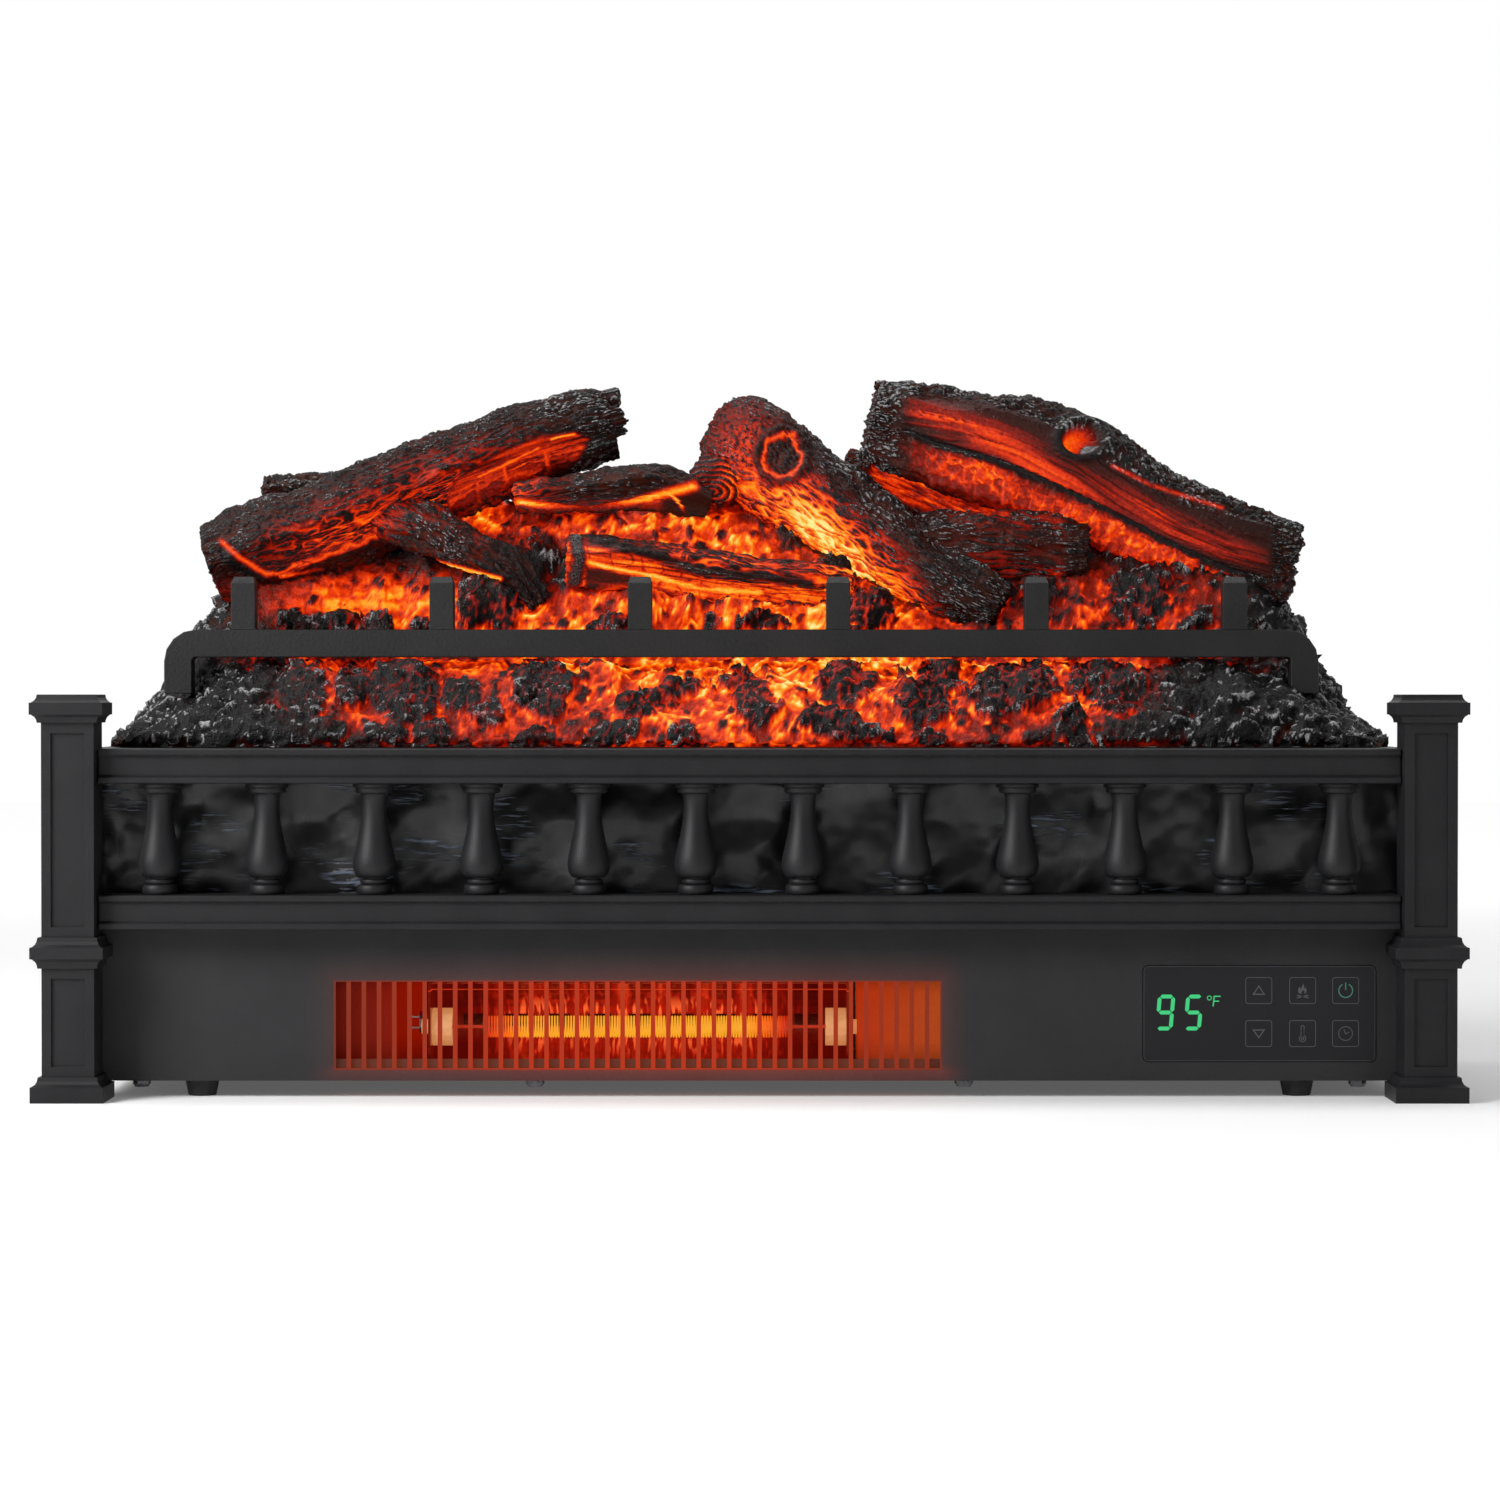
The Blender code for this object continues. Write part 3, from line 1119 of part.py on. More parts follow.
def build_blower_casing():
    left = END_LEFT + CLEARANCE
    right = END_RIGHT - CLEARANCE
    base = WHEEL_RADIUS + RUNNING_GAP
    guide = scroll_points(math.radians(80), math.radians(-100), base + SCROLL_GROWTH * 0.2, SCROLL_GROWTH * 0.5)
    outlet_y = behind_front(REFLECTOR_FRONT + REFLECTOR_DEPTH) + RUNNING_GAP
    guide.append((outlet_y, guide[-1][1] + CLEARANCE))
    strip("blower_guide", guide, SCROLL_SHEET, left, right, ZINC)
    tongue = scroll_points(math.radians(128), math.radians(172), base + SCROLL_SHEET, 0.0, 4)
    tongue.append((outlet_y, tongue[-1][1] + CLEARANCE))
    strip("blower_tongue", tongue, SCROLL_SHEET, left, right, ZINC)
    reach = base + SCROLL_GROWTH + BLOWER_END_MARGIN
    for name, start, bore in (
        ("blower_end_left", END_LEFT - BLOWER_END_SHEET, BEARING_RADIUS),
        ("blower_end_right", END_RIGHT, SHAFT_RADIUS + RUNNING_GAP),
    ):
        plate = box(
            name, (start, outlet_y, PAN_TOP + CLEARANCE),
            (start + BLOWER_END_SHEET, BLOWER_Y + reach, BLOWER_HEIGHT + reach), ZINC,
        )
        corner = plate.modifiers.new("corners", "BEVEL")
        corner.width = BLOWER_END_MARGIN
        corner.segments = 2
        corner.limit_method = "WEIGHT"
        weights = plate.data.attributes.new("bevel_weight_edge", "FLOAT", "EDGE")
        for edge in plate.data.edges:
            ends = [plate.data.vertices[at].co for at in edge.vertices]
            upper = min(end.z for end in ends) > BLOWER_HEIGHT
            lengthwise = abs(ends[0].x - ends[1].x) > BLOWER_END_SHEET / 2
            weights.data[edge.index].value = 1.0 if upper and lengthwise else 0.0
        hole = ((start - OVERRUN, BLOWER_Y, BLOWER_HEIGHT), 0, bore + HOLE_PLAY, OVERRUN * 2 + BLOWER_END_SHEET, 16)
        combine(plate, rounds(name + "_bore", [hole], None, CUTTERS))
    bearing_start = END_LEFT - BLOWER_END_SHEET - BEARING_LENGTH / 2 + BLOWER_END_SHEET / 2
    outline = [
        (SHAFT_RADIUS + CLEARANCE, BEARING_LENGTH), (BEARING_RADIUS, BEARING_LENGTH), (BEARING_RADIUS, 0.0),
        (SHAFT_RADIUS + CLEARANCE, 0.0),
    ]
    bearing = turned("blower_bearing", outline + outline[:1], 16, RUBBER)
    bearing.rotation_euler = (0.0, math.pi / 2, 0.0)
    bearing.location = (bearing_start, BLOWER_Y, BLOWER_HEIGHT)


# Air guide: a folded hood over the heater, from the blower's end plates out to the ends of the outlet
def guide_plan():
    """Plan (x, y) of the left wing from the outlet back, and of the right wing from the back out."""
    front = CASE_FRONT
    fold = front + GUIDE_FOLD
    back = behind_front(REFLECTOR_FRONT + REFLECTOR_DEPTH) + RUNNING_GAP - CLEARANCE
    neck = back - GUIDE_NECK
    half = OUTLET_SLOTS * OUTLET_PITCH / 2 + GUIDE_MARGIN
    left = END_LEFT - BLOWER_END_SHEET
    right = END_RIGHT + BLOWER_END_SHEET
    aside = left - GUIDE_SHOULDER
    left_wing = [(OUTLET_CENTRE - half, front), (aside, fold), (aside, neck - GUIDE_FOLD), (left, neck), (left, back)]
    right_wing = [(right, back), (right, fold), (OUTLET_CENTRE + half, front)]
    return left_wing, right_wing


def beside(path, gap):
    """A line of (x, y) points that runs to the right of another, with mitred corners."""
    points = [Vector(point) for point in path]
    legs = [(after - before).normalized() for before, after in zip(points, points[1:])]
    sides = [Vector((leg.y, -leg.x)) for leg in legs]
    made = []
    for point, before, after in zip(points, sides[:1] + sides, sides + sides[-1:]):
        made.append(tuple(point + (before + after) * gap / (1.0 + before.dot(after))))
    return made


def build_air_guide():
    left_wing, right_wing = guide_plan()
    low = PAN_TOP + CLEARANCE
    hood = plate_along_z("air_guide", left_wing + right_wing, low, GUIDE_TOP, ZINC)
    inner_left = beside(left_wing, GUIDE_SHEET)
    inner_right = beside(right_wing, GUIDE_SHEET)
    opening = [(inner_left[-1][0], inner_left[-1][1] + OVERRUN), (inner_right[0][0], inner_right[0][1] + OVERRUN)]
    return combine(hood, plate_along_z(
        "air_guide_hollow", inner_left + opening + inner_right, low - OVERRUN, GUIDE_TOP - GUIDE_SHEET, None, CUTTERS,
    ))


def build_motor():
    """Shaded-pole motor on the right end plate: lamination stack, coil and bearing bell."""
    face = END_RIGHT + BLOWER_END_SHEET + CLEARANCE
    half = MOTOR_STACK / 2
    motor = box(
        "blower_motor", (face, BLOWER_Y - half, BLOWER_HEIGHT - half),
        (face + MOTOR_STACK_LENGTH, BLOWER_Y + half, BLOWER_HEIGHT + half), ZINC,
    )
    bell = ((face + MOTOR_STACK_LENGTH * 0.5, BLOWER_Y, BLOWER_HEIGHT), 0, MOTOR_BELL_RADIUS,
            MOTOR_STACK_LENGTH * 0.5 + MOTOR_BELL_LENGTH, 16)
    combine(motor, rounds("motor_bell", [bell], None, CUTTERS), "UNION")
    coil_low = (face + MOTOR_STACK_LENGTH * 0.1, BLOWER_Y + half - MOTOR_COIL_REACH * 0.2,
                BLOWER_HEIGHT - MOTOR_COIL / 2)
    coil_high = (face + MOTOR_STACK_LENGTH * 1.3, BLOWER_Y + half + MOTOR_COIL_REACH, BLOWER_HEIGHT + MOTOR_COIL / 2)
    combine(motor, box("motor_coil", coil_low, coil_high, None, CUTTERS), "UNION")
    bore = ((face - OVERRUN, BLOWER_Y, BLOWER_HEIGHT), 0, SHAFT_RADIUS + CLEARANCE, OVERRUN + SHAFT_STUB, 12)
    combine(motor, rounds("motor_bore", [bore], None, CUTTERS))


# Boards inside the case and under the ember bed
def build_power_board():
    half = POWER_BOARD_WIDTH / 2
    front = behind_front(POWER_BOARD_SETBACK)
    back = front + POWER_BOARD_DEPTH
    low = PAN_TOP + CLEARANCE + STANDOFF
    board = box(
        "power_board", (POWER_BOARD_CENTRE - half, front, low),
        (POWER_BOARD_CENTRE + half, back, low + BOARD_SHEET), BOARD,
    )
    top = low + BOARD_SHEET / 2
    modules = []
    for share_x, share_y, width_share, depth_share, height in (
        (0.06, 0.12, 0.20, 0.26, STANDOFF * 2.2), (0.32, 0.12, 0.20, 0.26, STANDOFF * 2.2),
        (0.60, 0.14, 0.32, 0.36, STANDOFF * 3.0), (0.08, 0.58, 0.34, 0.30, STANDOFF * 3.4),
        (0.60, 0.64, 0.24, 0.20, STANDOFF * 1.6),
    ):
        corner_x = POWER_BOARD_CENTRE - half + POWER_BOARD_WIDTH * share_x
        corner_y = front + POWER_BOARD_DEPTH * share_y
        modules.append((
            (corner_x, corner_y, top),
            (corner_x + POWER_BOARD_WIDTH * width_share, corner_y + POWER_BOARD_DEPTH * depth_share,
             top + height),
        ))
    combine(board, boxes("power_modules", modules, None, CUTTERS), "UNION")
    inset = STANDOFF_RADIUS * 2
    pegs = [
        ((POWER_BOARD_CENTRE + side_x * (half - inset), y, PAN_TOP + CLEARANCE), 2, STANDOFF_RADIUS,
         STANDOFF + BOARD_SHEET / 2, 8)
        for side_x in (-1, 1) for y in (front + inset, back - inset)
    ]
    combine(board, rounds("power_standoffs", pegs, None, CUTTERS), "UNION")


def build_led_board():
    half = LED_BOARD_WIDTH / 2
    front = behind_front(LED_BOARD_SETBACK)
    low = DECK_TOP + CLEARANCE
    board = box(
        "led_board", (-half, front, low), (half, front + LED_BOARD_DEPTH, low + BOARD_SHEET), BOARD,
    )
    pitch = LED_BOARD_WIDTH / LED_COUNT
    middle = front + LED_BOARD_DEPTH / 2
    lights = []
    for index in range(LED_COUNT):
        x = -half + pitch * (index + 0.5)
        lights.append((
            (x - LED_SIDE / 2, middle - LED_SIDE / 2, low + BOARD_SHEET / 2),
            (x + LED_SIDE / 2, middle + LED_SIDE / 2, low + BOARD_SHEET + LED_HEIGHT),
        ))
    combine(board, boxes("leds", lights, None, CUTTERS), "UNION")


# Main switch and cable gland in the back of the case
SWITCH_PIVOT_Y = CASE_BACK + SWITCH_FLANGE_THICKNESS + CLEARANCE


def build_switch():
    flange_back = SWITCH_PIVOT_Y
    half_width = SWITCH_BODY_WIDTH / 2
    half_height = SWITCH_BODY_HEIGHT / 2
    frame = box(
        "rocker_frame",
        (SWITCH_OFFSET - half_width, CASE_BACK - SWITCH_BODY_DEPTH, SWITCH_HEIGHT - half_height),
        (SWITCH_OFFSET + half_width, flange_back - SWITCH_FLANGE_THICKNESS / 2, SWITCH_HEIGHT + half_height),
        BLACK_PLASTIC,
    )
    combine(frame, box(
        "rocker_flange",
        (SWITCH_OFFSET - half_width - SWITCH_FLANGE, CASE_BACK + CLEARANCE,
         SWITCH_HEIGHT - half_height - SWITCH_FLANGE),
        (SWITCH_OFFSET + half_width + SWITCH_FLANGE, flange_back, SWITCH_HEIGHT + half_height + SWITCH_FLANGE),
        None, CUTTERS,
    ), "UNION")
    combine(frame, box(
        "rocker_well",
        (SWITCH_OFFSET - half_width + SWITCH_WALL, CASE_BACK - SWITCH_BODY_DEPTH + SWITCH_WALL,
         SWITCH_HEIGHT - half_height + SWITCH_WALL),
        (SWITCH_OFFSET + half_width - SWITCH_WALL, flange_back + OVERRUN,
         SWITCH_HEIGHT + half_height - SWITCH_WALL), None, CUTTERS,
    ))
    pin_reach = ROCKER_WIDTH / 2 + ROCKER_PIN_REACH
    pin_y = SWITCH_PIVOT_Y - ROCKER_PIN_RADIUS * 3
    combine(frame, rounds("rocker_pin_seat", [
        ((SWITCH_OFFSET - pin_reach - CLEARANCE, pin_y, SWITCH_HEIGHT), 0, ROCKER_PIN_RADIUS + HOLE_PLAY,
         (pin_reach + CLEARANCE) * 2, 12),
    ], None, CUTTERS))
    build_rocker(pin_y, pin_reach)


def build_rocker(pin_y, pin_reach):
    """Rocker with a shallow V face, pressed in at its lower end, on an empty at its pivot."""
    pivot = bpy.data.objects.new("rocker_pivot", None)
    pivot.location = (SWITCH_OFFSET, pin_y, SWITCH_HEIGHT)
    PARTS.objects.link(pivot)
    reach = ROCKER_RADIUS
    rise = ROCKER_RISE + ROCKER_PIN_RADIUS * 3
    tip = math.tan(ROCKER_TILT) * reach
    outline = [
        (rise - tip, 0.0), (rise, reach), (0.0, reach * ROCKER_SHOULDER_SHARE),
        (-rise * ROCKER_HEEL_DEPTH_SHARE, reach * ROCKER_HEEL_SHARE),
    ]
    outline += [(y, -z) for y, z in reversed(outline[1:])]
    rocker = prism("rocker", outline, -ROCKER_WIDTH / 2, ROCKER_WIDTH / 2, BLACK_PLASTIC)
    pins = rounds("rocker_pins", [((-pin_reach, 0.0, 0.0), 0, ROCKER_PIN_RADIUS, pin_reach * 2, 10)],
                  None, CUTTERS)
    combine(rocker, pins, "UNION")
    rocker.parent = pivot
    pins.parent = pivot
    pivot.rotation_euler = (-ROCKER_TILT, 0.0, 0.0)


def build_gland():
    """Moulded strain relief that carries the mains cord through the back."""
    inside = CASE_BACK - SHEET - GLAND_FLANGE
    outside = behind_front(DEPTH)
    flange_out = CASE_BACK + CLEARANCE + GLAND_FLANGE
    length = outside - inside
    outline = [
        (GLAND_BORE, length), (GLAND_TUBE_RADIUS, length), (GLAND_TUBE_RADIUS, flange_out - inside),
        (GLAND_FLANGE_RADIUS, flange_out - inside), (GLAND_FLANGE_RADIUS, CASE_BACK + CLEARANCE - inside),
        (GLAND_RADIUS, CASE_BACK + CLEARANCE - inside), (GLAND_RADIUS, 0.0), (GLAND_BORE, 0.0),
        (GLAND_BORE, length),
    ]
    gland = turned("cable_gland", outline, 16, RUBBER)
    gland.rotation_euler = (-math.pi / 2, 0.0, 0.0)
    gland.location = (GLAND_OFFSET, inside, GLAND_HEIGHT)


# Logs: lofts along a curved spine, with bark relief, ragged ends and split faces
def pile_point(shares):
    across, back, up, thick = shares
    grate_rear = GRATE_SETBACK + GRATE_BAR
    return (
        Vector((across * PILE_WIDTH, behind_front(grate_rear + back * PILE_DEPTH), DECK_TOP + up * PILE_HEIGHT)),
        thick * LOG_RADIUS,
    )


def curve_through(values, position):
    """Catmull-Rom value at a position from 0 to the last index of the values."""
    last = len(values) - 1
    at = min(int(position), last - 1)
    t = position - at
    before, start = values[max(at - 1, 0)], values[at]
    end, after = values[at + 1], values[min(at + 2, last)]
    return (
        start * 1.0 + (end - before) * (0.5 * t)
        + (before * 2.0 - start * 5.0 + end * 4.0 - after) * (0.5 * t * t)
        + (start * 3.0 - before - end * 3.0 + after) * (0.5 * t * t * t)
    )


def spine_at(points, position):
    """Where a log's spine is at a position, and which ways are along it, to its front and up."""
    last = len(points) - 1
    centre = curve_through(points, position)
    ahead = curve_through(points, min(position + 0.05, last))
    behind = curve_through(points, max(position - 0.05, 0.0))
    along = (ahead - behind).normalized()
    front = Vector((0.0, -1.0, 0.0))
    front = (front - along * front.dot(along)).normalized()
    up = along.cross(front)
    if up.z < 0:
        up = -up
    return centre, along, front, up


def log_rings(shares, split, rings, grow):
    """Rings of a log; grow widens it all round, which makes the cutter for its seat."""
    points, radii = zip(*[pile_point(row) for row in shares])
    last = len(points) - 1
    made = []
    for index in range(rings + 1):
        position = last * index / rings
        centre, along, front, up = spine_at(points, position)
        radius = curve_through(radii, position)
        is_end = index in (0, rings)
        outward = -along if index == 0 else along
        ring = []
        for side in range(LOG_SIDES):
            angle = 2 * math.pi * side / LOG_SIDES
            spot = Vector((centre.x / BARK_LENGTH, math.cos(angle) * 1.7, math.sin(angle) * 1.7 + radius / BARK_LENGTH))
            size = radius + BARK_RELIEF * (noise.noise(spot) * 2.0 + (BARK_RIDGE_SHARE if side % 2 else -BARK_RIDGE_SHARE))
            away = math.cos(angle - split[0])
            if away * size > radius * split[1]:
                size = radius * split[1] / away
            if is_end:
                size *= 0.86
            size += grow
            point = centre + (front * math.cos(angle) + up * math.sin(angle)) * size
            if is_end:
                ragged = END_RAGGEDNESS * radius / LOG_RADIUS
                point += outward * (ragged * noise.noise(spot * 2.1) + grow)
            ring.append(point)
        made.append(ring)
    return made


def log_body(name, shares, split, rings, grow=0.0, collection=None, finish=None):
    body = bmesh.new()
    loft(body, log_rings(shares, split, rings, grow))
    bmesh.ops.recalc_face_normals(body, faces=body.faces)
    for cap in [face for face in body.faces if len(face.verts) == LOG_SIDES]:
        middle = cap.calc_center_median()
        dish = END_DISH * (cap.verts[0].co - middle).length / LOG_RADIUS
        inward = -cap.normal
        for vert in bmesh.ops.poke(body, faces=[cap])["verts"]:
            vert.co = middle + inward * (dish - grow)
    bmesh.ops.triangulate(body, faces=body.faces, quad_method="FIXED")
    return from_bmesh(name, body, finish, collection)


LOGS = (
    ("log_left", LOG_LEFT_SHARES, LOG_LEFT_SPLIT, 14, CHAR),
    ("log_centre", LOG_CENTRE_SHARES, WHOLE_LOG, 12, BARK),
    ("log_right", LOG_RIGHT_SHARES, LOG_RIGHT_SPLIT, 15, BARK),
    ("log_short", LOG_SHORT_SHARES, WHOLE_LOG, 6, CHAR),
    ("log_split_lower", LOG_SPLIT_LOWER_SHARES, LOG_LOWER_SPLIT, 8, EMBER),
    ("log_split_upper", LOG_SPLIT_UPPER_SHARES, LOG_UPPER_SPLIT, 7, EMBER),
    ("log_back", LOG_BACK_SHARES, WHOLE_LOG, 6, CHAR),
)
BRANCHES = {
    "log_left": ((LOG_LEFT_LIMB_SHARES, 6), (LOG_LEFT_STUB_SHARES, 3)),
    "log_centre": ((LOG_CENTRE_STUB_SHARES, 3),),
}


KNOTS = {
    "log_centre": (LOG_CENTRE_SHARES, EYE_PLACE, EYE_BOSS_SHARES, EYE_DISH_SHARES),
    "log_right": (LOG_RIGHT_SHARES, HOLLOW_PLACE, HOLLOW_BOSS_SHARES, HOLLOW_PIT_SHARES),
}


def knot_body(name, shares, place, stations):
    """A round boss or pit on a log's side: rings of a radius each, that far out from the spine."""
    points = [pile_point(row)[0] for row in shares]
    centre, along, front, up = spine_at(points, place[0])
    away = front * math.cos(place[1]) + up * math.sin(place[1])
    aside = along.cross(away)
    rings = []
    for wide, out in stations:
        middle = centre + away * (out * LOG_RADIUS)
        turns = [2 * math.pi * side / KNOT_SIDES for side in range(KNOT_SIDES)]
        rings.append([middle + (along * math.cos(turn) + aside * math.sin(turn)) * (wide * LOG_RADIUS) for turn in turns])
    body = bmesh.new()
    loft(body, rings)
    bmesh.ops.recalc_face_normals(body, faces=body.faces)
    return from_bmesh(name, body, None, CUTTERS)


def largest_piece(made):
    """Bake an object's modifiers and keep its biggest piece, as loose chips fall off a cut log."""
    view = bpy.context.evaluated_depsgraph_get()
    mesh = bpy.data.meshes.new_from_object(made.evaluated_get(view))
    body = bmesh.new()
    body.from_mesh(mesh)
    bmesh.ops.remove_doubles(body, verts=body.verts, dist=0.00001)
    left = set(body.verts)
    pieces = []
    while left:
        stack = [left.pop()]
        piece = set(stack)
        while stack:
            vert = stack.pop()
            for edge in vert.link_edges:
                other = edge.other_vert(vert)
                if other in left:
                    left.remove(other)
                    piece.add(other)
                    stack.append(other)
        pieces.append(piece)
    pieces.sort(key=len, reverse=True)
    loose = [vert for piece in pieces[1:] for vert in piece]
    bmesh.ops.delete(body, geom=loose, context="VERTS")
    body.to_mesh(mesh)
    body.free()
    made.modifiers.clear()
    made.data = mesh
    return made


def build_logs(pile):
    """Each log is cut to seat on the ones laid before it; their cutters go in the pile's collection."""
    seats = []
    for name, shares, split, rings, finish in LOGS:
        log = log_body(name, shares, split, rings, 0.0, None, finish)
        own = [log_body(name + "_seat", shares, split, rings, SEAT_GROWTH, CUTTERS)]
        for number, (branch, branch_rings) in enumerate(BRANCHES.get(name, ())):
            label = "%s_branch_%d" % (name, number + 1)
            combine(log, log_body(label, branch, WHOLE_LOG, branch_rings, 0.0, CUTTERS), "UNION")
            own.append(log_body(label + "_seat", branch, WHOLE_LOG, branch_rings, SEAT_GROWTH, CUTTERS))
        if name in KNOTS:
            knot_shares, place, boss, pit = KNOTS[name]
            combine(log, knot_body(name + "_boss", knot_shares, place, boss), "UNION")
            combine(log, knot_body(name + "_pit", knot_shares, place, pit))
        if seats:
            cut_by_all(log, pile)
        smooth(largest_piece(log), math.radians(50))
        for seat in own:
            pile.objects.link(seat)
        seats += own


# Grate: a bar with bent-down ends and six chamfered uprights
def grate_shapes(grow):
    half = GRATE_LENGTH / 2
    low = GRATE_BAR_BOTTOM
    middle_z = low + GRATE_BAR_HEIGHT / 2
    front = behind_front(GRATE_SETBACK) - grow
    back = front + GRATE_BAR + grow * 2
    thick = GRATE_BAR_HEIGHT / 2 + grow
    path = []
    corner = GRATE_CORNER - GRATE_BAR_HEIGHT / 2
    inner_x = half - GRATE_CORNER
    path.append((-half + GRATE_BAR_HEIGHT / 2, low - GRATE_LEG_DROP - grow, math.pi))
    for step in range(GRATE_ARC_STEPS + 1):
        angle = math.pi - math.pi / 2 * step / GRATE_ARC_STEPS
        path.append((-inner_x + corner * math.cos(angle), middle_z - corner + corner * math.sin(angle), angle))
    path += [(-x, z, math.pi - angle) for x, z, angle in reversed(path)]
    rings = []
    for x, z, angle in path:
        out_x, out_z = math.cos(angle) * thick, math.sin(angle) * thick
        near, far = (GRATE_OFFSET + x - out_x, z - out_z), (GRATE_OFFSET + x + out_x, z + out_z)
        rings.append([(near[0], front, near[1]), (near[0], back, near[1]), (far[0], back, far[1]),
                      (far[0], front, far[1])])
    return rings


def build_grate(pile):
    body = bmesh.new()
    loft(body, grate_shapes(0.0))
    grate = from_bmesh("grate", body, IRON)
    uprights = bmesh.new()
    front = behind_front(GRATE_SETBACK)
    top = GRATE_BAR_BOTTOM + GRATE_BAR_HEIGHT + GRATE_UPRIGHT_RISE
    sink = GRATE_BAR_HEIGHT / 2
    pitch = (GRATE_LENGTH - GRATE_UPRIGHT_END * 2) / (GRATE_UPRIGHTS - 1)
    for index in range(GRATE_UPRIGHTS):
        x = GRATE_UPRIGHT_OFFSET + (index - (GRATE_UPRIGHTS - 1) / 2) * pitch
        half = GRATE_UPRIGHT_WIDTH / 2
        inset = GRATE_BAR / 20
        near, far = front + inset, front + GRATE_BAR - inset
        chamfer = GRATE_CHAMFER
        stations = [(GRATE_BAR_BOTTOM + sink, 0.0, 0.0), (top - chamfer, 0.0, 0.0), (top, chamfer / 3, chamfer)]
        loft(uprights, [
            [(x - half + side, near + slope, z), (x + half - side, near + slope, z),
             (x + half - side, far - side, z), (x - half + side, far - side, z)]
            for z, side, slope in stations
        ])
    combine(grate, from_bmesh("grate_uprights", uprights, None, CUTTERS), "UNION")
    seat = bmesh.new()
    loft(seat, grate_shapes(CLEARANCE))
    pile.objects.link(from_bmesh("grate_seat", seat, None, CUTTERS))


# Ember bed: a lumpy mound of charcoal, hollow below, with seats cut for the logs and the grate
def share_at(table, share):
    for (left, low), (right, high) in zip(table, table[1:]):
        if share <= right:
            t = (share - left) / (right - left)
            return low + (high - low) * t
    return table[-1][1]


def bed_height(x, share):
    """Height of the bed above its rim at a place across and a share of its depth."""
    end = BED_WIDTH / 2 - abs(x)
    ramp = max(0.0, min(1.0, end / BED_END_SLOPE))
    ramp = ramp * (1.0 + BED_SHOULDER_SHARE * (1.0 - ramp))
    edge = max(0.0, min(1.0, share * 9.0, (1.0 - share) * 9.0, end / (BED_END_SLOPE * 0.3)))
    y = share * BED_DEPTH
    near, _ = noise.voronoi(Vector((x, y, BED_LUMP)) / BED_LUMP)
    lump = min(1.0, (near[1] - near[0]) * 2.2) - 0.55
    swell = noise.noise(Vector((x, y, 0.0)) / (BED_LUMP * 2.5))
    rise = share_at(BED_RISE_SHARES, share) * ramp
    for across, back, half, up in BED_KNOLL_SHARES:
        away = ((x / BED_WIDTH - across) / half) ** 2 + ((share - back) / BED_KNOLL_DEPTH_SHARE) ** 2
        rise += up * math.exp(-away)
    return rise * PILE_HEIGHT + edge * BED_LUMP_RELIEF * (lump + 0.5 * swell) * 0.7


def build_bed(pile):
    body = bmesh.new()
    base = DECK_TOP + CLEARANCE
    front = behind_front(BED_FRONT)
    grid = []
    for row in range(BED_ROWS + 1):
        share = (row / BED_ROWS) ** 1.15
        line = []
        for column in range(BED_COLUMNS + 1):
            x = -BED_WIDTH / 2 + BED_WIDTH * column / BED_COLUMNS
            z = base + max(BED_RIM, BED_RIM + bed_height(x, share))
            line.append(body.verts.new((x, front + BED_DEPTH * share, z)))
        grid.append(line)
    for near, far in zip(grid, grid[1:]):
        for column in range(BED_COLUMNS):
            body.faces.new((near[column], near[column + 1], far[column + 1], far[column]))
    rim = grid[0] + [line[-1] for line in grid[1:-1]] + grid[-1][::-1] + [line[0] for line in grid[-2:0:-1]]
    foot = [body.verts.new((vert.co.x, vert.co.y, base)) for vert in rim]
    for index in range(len(rim)):
        after = (index + 1) % len(rim)
        body.faces.new((rim[index], foot[index], foot[after], rim[after]))
    body.faces.new(foot)
    bmesh.ops.triangulate(body, faces=body.faces[:-1], quad_method="FIXED")
    bed = from_bmesh("ember_bed", body, EMBER)
    outline = [
        (front + BED_DEPTH * share_y, base + PILE_HEIGHT * share_z) for share_y, share_z in BED_HOLLOW_SHARES
    ]
    half = BED_WIDTH / 2 - BED_END_SLOPE * 0.5 - BED_WALL
    combine(bed, prism("bed_hollow", outline, -half, half, None, CUTTERS))
    cut_by_all(bed, pile)
    return smooth(largest_piece(bed), math.radians(50))


build_post("left_post", -1)
build_post("right_post", 1)
build_rail("top_rail", UPPER_RAIL_BOTTOM)
build_rail("bottom_rail", LOWER_RAIL_BOTTOM)
build_balusters()
build_front_panel()
build_control()
build_rock_panel()
build_rear_case()
build_deck()
build_base_pan()
build_feet()
build_screws()
build_reflector()
build_heater()
build_cutout()
build_wheel()
build_blower_casing()
build_air_guide()
build_motor()
build_power_board()
build_led_board()
build_switch()
build_gland()
PILE_SEATS = new_collection("pile_seats")
build_logs(PILE_SEATS)
build_grate(PILE_SEATS)
build_bed(PILE_SEATS)
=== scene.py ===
import math

import bpy
import numpy as np
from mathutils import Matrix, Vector, noise
from mathutils.bvhtree import BVHTree


